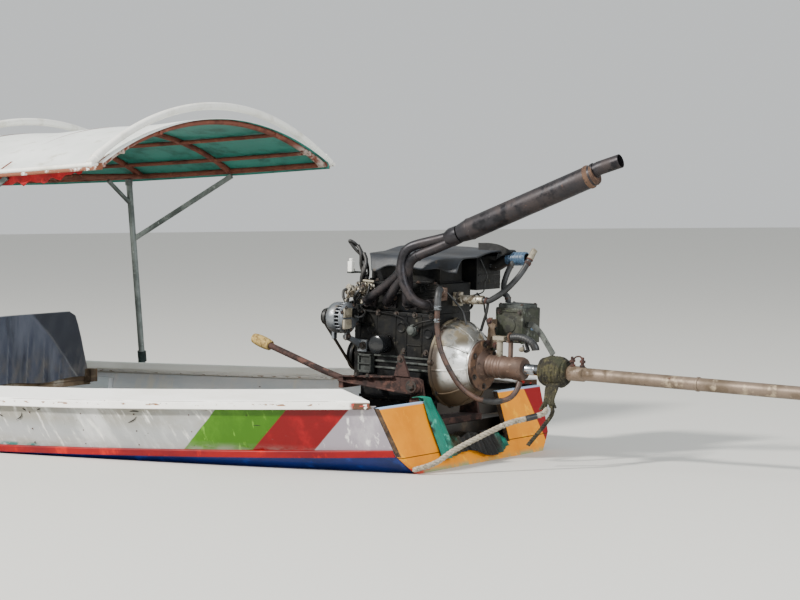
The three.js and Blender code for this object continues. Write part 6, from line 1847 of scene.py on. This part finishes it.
# %% Alternator bracket
def arm_rows(count=18):
    """The arm as rings from the foot to the ear: a flat section that narrows and bows outwards."""
    share = np.linspace(0, 1, count)[:, None]
    turn = np.linspace(0, 2 * np.pi, 20, endpoint=False)[None, :]
    ease = share**0.8
    x = 322 + 23 * share + (8 - 3 * share) * np.cos(turn)
    y = 140 + 86 * share
    half = 20 - 11 * ease
    z = 138 + 37 * share + half * np.sin(turn) + 6 * np.sin(share * np.pi)
    return np.stack(np.broadcast_arrays(x, y, z), 2)


foot = [block((286, 332), (130.4, 146), (112, 162)), turned([[0, 15], [3, 15], [4, 12]], (302, 145, 137),
        (302, 150, 137), 24)]
engine_piece("alternator_bracket_cast", [grid(arm_rows())] + foot, "pale_alloy", 2.0, ("alternator_bracket",))
engine_piece("alternator_bracket_bolts", [bolts([(302, 149, 137)], (0, 1, 0), 17, 9),
                                          bolts([(340, 218, 175)], (-1, 0, 0), 15, 9)], "bolt_steel")

# %% [markdown]
# ### Filter, pump, hoses and small fittings
#
# Around the engine hang the small things that make it look used: the water outlet with a small bottle
# on a bracket, an oil filter, the starter, a mossy raw-water pump with its links, hoses under wire
# clamps, and a blue ribbed fitting behind the intake.

# %% Water outlet
parts = [block((331.4, 343), (38, 116), (306, 396)), block((341, 375), (48, 106), (316, 386)),
    turned([[0, 24], [24, 24], [36, 20], [66, 20], [67, 23], [73, 23]], (345, 92, 350), (384, 157, 366),
        28), rod([(365, 76, 346), (390, 80, 344), (415, 84, 342)], 17, 24, 8),
    turned([[0, 30], [4, 30], [6, 26], [10, 18], [12, 6]], (356, 78, 384), (356, 78, 399), 32)]
engine_piece("water_outlet_cast", parts, "outlet_alloy", 2.0, ("water_outlet",))
places = [(343, y, z) for y in (46, 108) for z in (314, 388)] + [(368, 60, 386), (368, 98, 386)]
engine_piece("water_outlet_bolts", [bolts(places[:4], (1, 0, 0), 12, 8),
        bolts(places[4:], (0, 0, 1), 11, 8)], "bolt_steel")
twist = smooth_path([(334, 96, 392), (345, 98, 436), (351, 94, 488), (374, 98, 528), (402, 104, 550)], 60)
thin_hoses = [tube(helix_on(twist, 8, 1.3, 0, 60), np.linspace(9, 6.5, 60), 16),
    tube(helix_on(twist, 8, 1.3, math.pi, 60), np.linspace(8, 6, 60), 16),
    rod([(338, 118, 380), (330, 126, 420), (318, 122, 452), (322, 110, 486), (340, 100, 512)], 8, 16, 40),
    rod([(346, 70, 386), (340, 66, 430), (346, 72, 478), (366, 82, 520), (378, 88, 545)], 5, 12, 40),
    rod([(384, 154, 365), (392, 166, 356), (384, 176, 330), (362, 172, 300), (345, 150, 284)], 6, 14, 40)]
engine_piece("water_outlet_hoses", thin_hoses, "rubber_hose")
curl = [rod([(398, 103, 546), (408, 108, 556), (400, 116, 562), (388, 110, 556), (380, 96, 544)], 6, 12, 30)]
engine_piece("water_outlet_hose_end", curl, "black_tape")

# %% [markdown]
# Between the outlet and the first exhaust port sits a jumble of small castings: a plate with a boss, the
# slotted link that sets the belt's tension, a cable clip and a few short leads.

# %% Front fittings
link = strap_along([(346, 214, 316), (344, 192, 344), (338, 160, 362), (332, 132, 372)], 19, 6, (1, 0, 0), 30)
castings = [block((292, 331), (121, 131), (340, 394)), block((300, 324), (131, 140), (372, 394)),
            turned([[0, 17], [18, 17], [22, 12], [36, 12], [36, 9]], (312, 130, 362), (314, 166, 368), 28),
            turned([[0, 12], [14, 12], [16, 8]], (284, 120, 384), (284, 138, 388), 20),
            prism([(262, 372), (292, 366), (292, 396), (270, 398)], 121, 129), link]
engine_piece("front_castings", castings, "outlet_alloy", 2.0)
clip = [pipe((262, 136, 401), (312, 142, 403), 5, 14), block((280, 292), (126, 142), (396, 404))]
engine_piece("front_clip", clip, "dirty_white", 0.8)
dark = [rod([(312, 160, 366), (326, 168, 352), (338, 164, 330), (336, 140, 310)], 7, 14, 30),
        rod([(284, 138, 388), (276, 150, 376), (282, 152, 352), (300, 146, 338), (322, 150, 332)], 5, 12, 40),
        rod([(346, 150, 300), (336, 158, 322), (322, 152, 344), (330, 142, 368), (346, 136, 384)], 6, 12, 40)]
engine_piece("front_leads", dark, "black_tape")
engine_piece("front_bolts", [bolts([(345, 206, 326)], (-1, 0, 0), 13, 8),
        bolts([(302, 131, 350), (324, 131, 350)], (0, 1, 0), 11, 8),
        bolts([(312, 140, 383)], (0, 1, 0), 12, 8)], "bolt_steel")

# %% Reservoir
bottle = [block((393, 413), (92, 112), (434, 476)), turned([[0, 6], [4, 6], [4, 8], [12, 8], [13, 6]],
                                                         (403, 102, 475), (403, 102, 489), 24)]
bottle += [block((392.4, 413.6), (91.4, 112.6), (z, z + 3)) for z in (446, 462)]
engine_piece("reservoir_bottle", bottle, "white_plastic", 2.5, ("reservoir",))
holder = [block((354, 368), (56, 72), (386.4, 434)), block((354, 414), (56, 72), (427, 434)),
          block((392, 414), (56, 114), (427, 434)), block((391, 415), (90.5, 92.5), (434, 446))]
engine_piece("reservoir_bracket", holder, "dusty_iron", 1.0)

# %% Starter motor
START_Y, START_Z = -174.4, 156


def on_starter(profile, y=START_Y, z=START_Z, sides=40):
    """A lathe part along x at a place on the block's starboard side."""
    start = np.array([0.0, y, z])
    return turned(profile, start, start + (1, 0, 0), sides)


body = on_starter([[-36, 24], [-36, 40], [-20, 44], [-16, 42], [4, 42], [6, 44], [92, 44], [94, 42],
        [96, 44], [112, 44], [118, 38], [150, 38], [154, 18], [154, 4]])
solenoid = on_starter([[-12, 4], [-12, 19], [-8, 21], [78, 21], [84, 19], [86, 10], [90, 8], [90, 2]],
    START_Y - 4, 216)
engine_piece("starter_motor_cast", [body, solenoid, block((0, 60), (START_Y - 14, START_Y + 8), (186, 206))],
             "black_iron", 1.5, ("starter_motor",))
terminals = [on_starter([[86, 4], [102, 4], [103, 2]], START_Y - 4 + y, 216 + z, 12) for y,
    z in ((-9, 5), (9, 5), (0, -9))]
engine_piece("starter_motor_terminals", terminals + [bolts(
            [(100, START_Y - 13, 221), (100, START_Y + 5, 221)], (1, 0, 0), 11, 6)], "bronze")
engine_piece("starter_motor_lead", [rod([(96, START_Y + 5, 221), (112, START_Y + 8, 232),
                (90, START_Y - 2, 262), (20, START_Y + 6, 280), (-30, START_Y + 30, 300), (-60, -112, 330)],
            6, 14, 50)], "black_tape")

# %% Oil filter
barrel = [[0, 20], [0, 31], [5, 36], [9, 38], [60, 38], [66, 36], [69, 30], [70, 10]]
can = turned(barrel, (205, 130.4, 150), (205, 201, 150), 56)
engine_piece("oil_filter_can", [can], "filter_paint", 0, ("oil_filter",))

# %% Gear pump
parts = [block((-330, -205), (-190, -60), (176, 316)), block((-204, -190.4), (-85, -45), (140, 215)),
         block((-230, -190.4), (-85, -61), (206, 232)),
         turned([[0, 34], [30, 34], [36, 28], [38, 10]], (-265, -187, 262), (-265, -225, 262), 36),
         turned([[0, 30], [5, 30], [7, 24], [7, 4]], (-268, -62, 246), (-268, -52, 246), 32)]
parts += [block((x, x + 7), (-192, -57), (174, 314)) for x in (-332, -212)]
parts += [block((-330, -205), (-58, -56), (z, z + 6)) for z in (180, 300)]
engine_piece("gear_pump_cast", parts, "moss_metal", 4, ("gear_pump",))
lid = [block((-324, -211), (-184, -66), (314, 328)), block((-316, -219), (-176, -74), (327, 332))]
engine_piece("gear_pump_lid", lid, "dusty_iron", 2)
places = [(x, -56, z) for x in (-318, -222) for z in (190, 300)]
lid_places = [(x, y, 328) for x in (-318, -217) for y in (-176, -74)]
engine_piece("gear_pump_bolts", [bolts(places, (0, 1, 0), 11, 8), bolts(lid_places, (0, 0, 1), 9, 6)],
    "bolt_steel")
engine_piece("gear_pump_tag", [block((-333, -330.4), (-146, -122), (226, 250))], "blue_plastic", 0.5)

gussets = [prism([(-190.4, 150), (-190.4, 186), (-198, 276), (-212, 276), (-228, 212), (-246, 160)], -24,
        -18), strap_along([(-240, -15, 158), (-222, -13, 216), (-205, -15, 272)], 17, 6, (0, 1, 0)),
    strap_along([(-196, -15, 168), (-214, -12, 214), (-228, -14, 252)], 14, 5, (0, 1, 0)),
    block((-212, -198), (-62, -12), (236, 268))]
engine_piece("pump_links", gussets, "beige_steel", 1.2)
engine_piece("pump_link_bolts", [bolts([(-205, -12, 262), (-236, -12, 166), (-200, -12, 174)], (0, 1, 0),
            13, 8)], "dark_rust")
STRAP = [(-328, -92, 250), (-372, -70, 252), (-430, -32, 229), (-480, -10, 184), (-512, -2, 148)]
engine_piece("pump_strap", [strap_along(STRAP, 24, 6, (0.3, 1, 0.2), 36)], "dusty_iron", 1.0)

# %% [markdown]
# Beside the pump a ribbed hose elbow rises over the neck and comes down again, with a black connector
# and a pale plug, and a few leads cross behind the engine.

# %% Hose elbow and leads
elbow = smooth_path([(-309, 0, 201), (-326, 0, 205), (-356, 1, 207), (-386, 2, 202), (-412, 1, 190),
        (-428, 0, 172), (-432, 0, 156)], 90)
ridged = 14.5 + 0.8 * np.sign(np.sin(np.arange(90) * 0.9))
engine_piece("pump_hose_elbow", [tube(elbow[:74], ridged[:74], 20)], "grey_hose")
engine_piece("pump_hose_flange", [turned([[0, 15], [0, 20], [7, 20], [7, 15]], (-309, 0, 203),
            (-317, 0, 204), 28)], "brown_rust", 0.8)
connector = [tube(elbow[70:88], 16, 20), turned([[0, 13], [30, 13], [32, 8]], (-380, -4, 178),
        (-398, 8, 150), 20)]
engine_piece("pump_hose_connector", connector, "black_tape", 1.0)
engine_piece("pump_hose_plug", [turned([[0, 8], [10, 10], [22, 9], [24, 5]], (-362, 6, 158),
            (-384, 10, 162), 18)], "dirty_white", 0.8)
leads = [rod([(-184, -30, 333), (-178, -30, 296), (-164, -32, 256), (-151, -34, 218)], 6, 14, 40),
    rod([(-96, -100, 508), (-131, -100, 440), (-122, -100, 410), (-114, -100, 370), (-60, -98, 352)], 2.6,
        10, 40), rod([(-60, -140, 360), (-104, -120, 330), (-140, -80, 290), (-168, -62, 240),
            (-196, -60, 214)], 4, 12, 40), rod([(-42, 60, 372), (-66, 40, 340), (-98, 30, 300),
            (-116, 30, 262), (-122, 30, 242)], 4.5, 12, 40)]
engine_piece("engine_leads", leads, "black_tape")

# %% Coolant hose
HOSE_POINTS = [(-76, 157.4, 385.8), (-80, 168.6, 389.6), (-88, 190, 372), (-90, 197, 320), (-90, 195, 235),
               (-112, 197, 150), (-148, 194, 82), (-196, 168, 4), (-252, 134, -38), (-312, 100, -46),
               (-356, 62, -30), (-372, 34, 4), (-375, 22, 30)]
hose_path = centripetal(HOSE_POINTS, 130)
engine_piece("coolant_hose_run", [tube(hose_path, 11, 20)], "brown_hose", 0, ("coolant_hose",))
engine_piece("coolant_hose_elbow", [tube(hose_path[1:20], 14.0, 24)], "grey_hose", 0)
engine_piece("coolant_hose_black", [tube(hose_path[96:110], 12.2, 20)], "black_tape", 0)
wires = [ring_round(hose_path, u, r, 2.6, 1.8, 24) for u,
    r in ((0.128, 14.2), (0.14, 14.2), (0.2, 11.4), (0.215, 11.4))]
screws = [turned([[0, 4], [10, 4], [10, 6], [14, 6]], hose_path[int(u * 129)] + (4, 13, 0),
        hose_path[int(u * 129)] + (-10, 15, 0), 12) for u in (0.134, 0.207)]
engine_piece("coolant_hose_clamps", wires + screws, "clean_steel", 0)

# %% Filler neck
NECK_LINE = np.array([(-60.4, -250, 470), (-76, -250, 470), (-92, -250, 474), (-118, -250, 490),
        (-140, -250, 501)])
CUP_FROM, CUP_TO = np.array([-138, -250, 500.9]), np.array([-228, -250, 506])
neck_path = smooth_path(NECK_LINE, 40)
engine_piece("filler_neck_base", [tube(neck_path, np.linspace(22, 26, 40), 32)], "rubber_hose", 0,
    ("filler_neck",))
cup = [[0, 20], [0, 27]]
for d in (8, 24, 40, 56, 72):
    cup += [[d, 26], [d + 2, 28.4], [d + 8, 28.4], [d + 10, 26]]
cup += [[88, 27.4], [90, 26], [90, 22.5], [46, 22], [46, 2]]
engine_piece("filler_neck_cup", [turned(cup, CUP_FROM, CUP_TO, 48)], "blue_plastic")
engine_piece("filler_neck_bore", [turned([[47, 2], [47, 21.9], [89, 22.3], [89, 21.2], [50, 20.8], [50, 2]],
                                         CUP_FROM, CUP_TO, 40)], "black_tape")
casting = [prism([(-88, 492), (-126, 504), (-136, 535), (-124, 541), (-102, 532), (-90, 520)], -264, -238),
           block((-96, -60), (-270, -228), (462, 478))]
engine_piece("filler_neck_casting", casting, "pale_alloy", 3)
drop = smooth_path([(-174, -238, 494), (-168, -228, 480), (-158, -210, 440), (-160, -186, 400),
        (-186, -150, 368), (-212, -130, 356), (-218, -128, 344), (-218, -128, 332.4)], 70)
engine_piece("filler_neck_hose", [tube(drop, 12, 20)], "grey_hose")
engine_piece("filler_neck_clamps", [ring_round(drop, 0.94, 12, 7, 1.6, 24),
        ring_round(drop, 0.12, 12, 6, 1.6, 24)], "bolt_steel")

# %% Vent hose
VENT_LINE = [(-175.4, -10, 344), (-185, -10, 344), (-205, -16, 346), (-250, -50, 385), (-288, -90, 442),
             (-310, -120, 495), (-322, -144, 540), (-325, -150, 549)]
vent_path = smooth_path(VENT_LINE, 90)
engine_piece("vent_hose_run", [tube(vent_path[:80], 12, 20)], "grey_hose", 0, ("vent_hose",))
engine_piece("vent_hose_tip", [hose_with_bore(vent_path[76:], 12.6, 3.2, 6, 24)], "dirty_white")
bands = [ring_round(vent_path, 0.8, 12.6, 12, 2.0, 24), ring_round(vent_path, 0.86, 12.8, 6, 1.6, 24),
         ring_round(vent_path, 0.045, 12, 9, 2.0, 24)]
engine_piece("vent_hose_clamps", bands, "dark_rust", 0.6)

# %% [markdown]
# ### Cradle, swivel and tiller
#
# Rusty channel rails carry the engine, and a yoke on the engine beam carries the rails on two pins.

# %% Cradle
RAIL_LINE = [(366, -8), (366, 16), (150, 30), (96, 34), (73, 122), (60, 120), (22, 34), (-20, 32), (-34, 12),
             (-32, -22), (0, -34), (60, -32), (250, -16)]
parts = []
for side in (-1, 1):
    web = side_limits(side, 208, 215)
    parts.append(prism(RAIL_LINE, *web))
    flange = side_limits(side, 208, 232)
    parts += [prism([(366, 10), (366, 16), (150, 30), (96, 34), (96, 27), (150, 23)], *flange),
        prism([(366, -8), (366, -2), (250, -10), (60, -25), (0, -27), (0, -34), (60, -32), (250, -16)],
            *flange), prism([(96, 34), (73, 122), (60, 120), (22, 34)], *side_limits(side, 214, 222)),
        turned([[0, 30], [20, 30], [20, 24], [24, 22]], (0, side * 214, 0), (0, side * 240, 0), 32)]
    parts += [block((x, x + 26), side_limits(side, 130.4, 210), (4, 22)) for x in (70, 240)]
    parts += [block((342, 364), side_limits(side, 208, 228), (-34, 10))]
    parts += [block((x, x + 30), side_limits(side, 215, 236), (16, 22)) for x in (262, 205)]
parts.append(block((342, 364), (-210, 210), (-34, -12)))
engine_piece("cradle_rails", parts, "rusty_steel", 1.5, ("cradle",))
places = [(66, 222, 104), (14, 216, 12), (275, 232, 22), (218, 232, 22)]
engine_piece("cradle_bolts", [bolts(places[:2], (0, 1, 0), 15, 10), bolts(places[2:], (0, 0, 1), 12, 12),
        bolts([(0, 238, 0)], (0, 1, 0), 26, 12), bolts([(0, -238, 0)], (0, -1, 0), 26, 12)], "bolt_steel")
from_frame("swivel_yoke", 0.0015)

# %% Tiller
bar = np.array([(367, 196, 2), (470, 190, 26), (820, 150, 118)], float)
engine_piece("tiller_bar", [tube(evenly(bar, 40), 13, 20)], "rusty_steel", 0, ("tiller",))
knob = evenly(np.array([(772, 155.4, 105.4), (864, 144.7, 129.7)]), 30)
swell = 14 + 8 * np.sin(np.linspace(0.15, 0.95, 30) * np.pi) ** 0.6
coil_path = evenly(knob, 15 * 16)
share = np.linspace(0, 1, len(coil_path))
side, up = across(coil_path)
turn = (share * 15 * 2 * np.pi)[:, None]
coil_radius = (14 + 8 * np.sin((0.12 + share * 0.8) * np.pi) ** 0.6)[:, None]
coil = coil_path + coil_radius * (np.cos(turn) * side + np.sin(turn) * up)
engine_piece("tiller_grip", [tube(knob, swell, 20), tube(coil, 3.6, 8)], "yellow_rope", 0)
print("cradle and tiller done")

# %% [markdown]
# ## Cloth
#
# Three cloths: a navy one over the back of the rear seat, a green tarpaulin bundled over the notch in
# the transom, and a strip of red cloth under the near eave. Each is one surface with folds worked in.

# %% Seat cloth
CLOTH_LOW, CLOTH_PORT, CLOTH_OFF = 0.206, 0.43, 0.0042
FOLD_FROM, FOLD_TO = np.array([-0.09, 0.54]), np.array([-0.44, 0.192])
FOLD_ALONG = unit(FOLD_TO - FOLD_FROM)
FOLD_ACROSS = np.array([-FOLD_ALONG[1], FOLD_ALONG[0]])
CREASES = [(-0.086, 0.485, 0.02), (-0.194, 0.43, 0.012), (0.05, 0.46, 0.0), (0.2, 0.42, -0.02),
    (-0.31, 0.36, 0.03)]


def bump_at(value, centre, width):
    """A smooth bump of height 1 about a place."""
    return np.exp(-((value - centre) / width) ** 2)


def cloth_folds(y, z, aft):
    """How far the cloth stands off the back. Vertical creases deepen downwards; on the aft face one
    long fold runs down to starboard, and the cloth above it lies lower."""
    hang = np.clip((BACK_TOP - z) / (BACK_TOP - CLOTH_LOW), 0, 1)
    stand = 0.0045 * hang**1.5 * (1 + 0.7 * np.sin(31 * y + 1) + 0.5 * np.sin(57 * y + 2.2))
    for place, top, lean in CREASES:
        deep = np.clip((top - z) / 0.09, 0, 1)
        offset = y - place - lean * (top - z)
        stand = stand + deep * (0.005 * bump_at(offset, 0.017, 0.011) + 0.0035
            * bump_at(offset, -0.018, 0.013) - 0.003 * bump_at(offset, 0, 0.006))
    past = (y - FOLD_FROM[0]) * FOLD_ACROSS[0] + (z - FOLD_FROM[1]) * FOLD_ACROSS[1]
    past = past + 0.019 * np.sin(np.clip(-(y - FOLD_FROM[0]) / 0.35, 0, 1) * np.pi)
    over = 1 / (1 + np.exp(-past / 0.004))
    fold = over * (0.006 + 0.006 * bump_at(past, 0.014, 0.012)) * np.clip(hang * 4, 0, 1)
    return stand + aft * fold


def seat_cloth_rows(count_z=74, count_face=110, count_edge=9, count_crown=7):
    """A hood over the back: at each height a loop from the port edge of the fore face, round the back's
    starboard edge, to the port edge of the aft face. At the top the two faces close in a quarter circle."""
    shut = np.concatenate([np.zeros(count_z), np.linspace(0, np.pi / 2, count_crown + 1)[1:]])
    half_thick = BACK_THICK / 2 + CLOTH_OFF
    height = np.concatenate([np.linspace(CLOTH_LOW, BACK_TOP, count_z), np.full(count_crown, BACK_TOP)])[:,
        None]
    thick = (half_thick * np.cos(shut))[:, None]
    edge = -(back_half(height) + CLOTH_OFF - half_thick)
    port = np.minimum(CLOTH_PORT, back_half(height) - 0.004)
    share = np.linspace(0, 1, count_face)[None, :]
    arc = np.linspace(0, np.pi, count_edge + 2)[None, 1:-1]
    face_y = port + (edge - port) * share
    rest_y = edge - half_thick * np.sin(arc)
    y = np.concatenate([face_y, rest_y, face_y[:, ::-1]], 1)
    out_x = np.concatenate([np.ones(count_face), np.cos(arc[0]), -np.ones(count_face)])[None, :]
    out_y = np.concatenate([np.zeros(count_face), -np.sin(arc[0]), np.zeros(count_face)])[None, :]
    z = height + 0 * y
    stand = cloth_folds(y, z, out_x < 0) * np.cos(shut)[:, None]
    middle = SEAT_AFT[0] + BACK_THICK / 2 + back_shift(z)
    rows = np.stack([middle + (thick + stand) * out_x, y + stand * out_y,
            z + (CLOTH_OFF * np.sin(shut))[:, None]], 2)
    hem = np.clip((CLOTH_LOW + 0.05 - z) / 0.05, 0, 1)
    rows[..., 2] += 0.007 * hem * (1 + np.sin(y * 14 + 1))
    rows += 0.0012 * ripple(rows, 0.12, 21)[..., None] * np.stack(
        np.broadcast_arrays(out_x, out_y, 0 * out_x), 2)
    return rows


cloth_grid = seat_cloth_rows()
cloth = piece("seat_cloth_navy", grid(cloth_grid, wrap=False, scale=(0.35, 2.0)), "hull", "blue_cloth",
              stands_for=("seat_cloth",), outward=False, weld=1e-5)
thickened(cloth, 0.0025)

# %% Tarpaulin
def transom_face(z):
    """The raked outer face of the transom."""
    return -4.5 - 0.36 * (0.262 - z) - 0.025


def tarp_rows(count_y=150, count_s=54):
    y = np.linspace(-0.19, 0.3, count_y)[:, None]
    share = np.clip((y - 0.17) / 0.092, 0, 1)
    bunched = np.clip((y + 0.19) / 0.04, 0, 1) * np.clip((0.2 - y) / 0.06, 0,
        1) * (0.034 + 0.016 * np.clip((y + 0.05) / 0.16, 0, 1))
    top = 0.062 + 0.206 * share**2 * (3 - 2 * share) + bunched * (1 + 0.14 * np.sin(41 * y) + 0.1
        * np.sin(73 * y + 2))
    hem = 0.024 + 0.016 * np.sin(y / 0.06) + 0.1 * np.abs(y)
    s = np.linspace(0, 1, count_s)[None, :]
    over = np.clip(s / 0.28, 0, 1)
    down = np.clip((s - 0.34) / 0.66, 0, 1)
    z = top + 0.006 - (top - hem) * down + 0.004 * np.sin(over * np.pi)
    x_in = transom_face(top) + 0.046 * (1 - over)
    x = np.where(s < 0.34, x_in - 0.004 * over, transom_face(z) - 0.004)
    fold = 0.5 * np.sin(y * 95 + 2 * s) + 0.35 * np.sin(y * 171 + 1 + 3 * s) + 0.3 * np.sin(y * 52)
    stand = (0.004 + 0.0105 * (1 + fold)) * (0.3 + 0.7 * down)
    rows = np.stack(np.broadcast_arrays(x - stand * (over > 0.9), y + 0.004 * np.sin(9 * s + y * 30), z), 2)
    rows[..., 2] += (0.0022 * (1 + fold)) * (s < 0.34)
    return rows


tarp_grid = tarp_rows()
tarp = piece("motor_tarp_cloth", grid(tarp_grid, wrap=False, scale=(0.6, 0.3)), "hull", "green_tarp",
             stands_for=("motor_tarp",), outward=False)
thickened(tarp, 0.0015, offset=0.0)

# %% Red cloth strip
count = 70
x = np.linspace(-2.60, -3.16, count)[:, None]
torn = 0.066 - 0.014 * np.abs(np.sin(x * 31)) - 0.03 * np.clip((-x - 2.95) / 0.2, 0,
    1) + 0.004 * np.sin(x * 97)
s = np.linspace(0, 1, 16)[None, :]
wave = 0.004 * np.sin(x * 40 + 2 * s) * s + 0.002 * np.sin(x * 90 + 1) * s
strip = np.stack(np.broadcast_arrays(x, 0.7478 + wave - 0.002 * s, eave_z(x) + 0.004 - torn * s), 2)
red = piece("canopy_red_strip", grid(strip, wrap=False, scale=(0.56, 0.06)), "hull", "red_cloth",
    outward=False)
thickened(red, 0.0016)

# %% [markdown]
# ## Finish
#
# The count of faces made, over all the pieces, is printed.

# %% Face count and the end
print("faces made:", sum(made_faces.values()), "in", len(made_faces), "pieces")
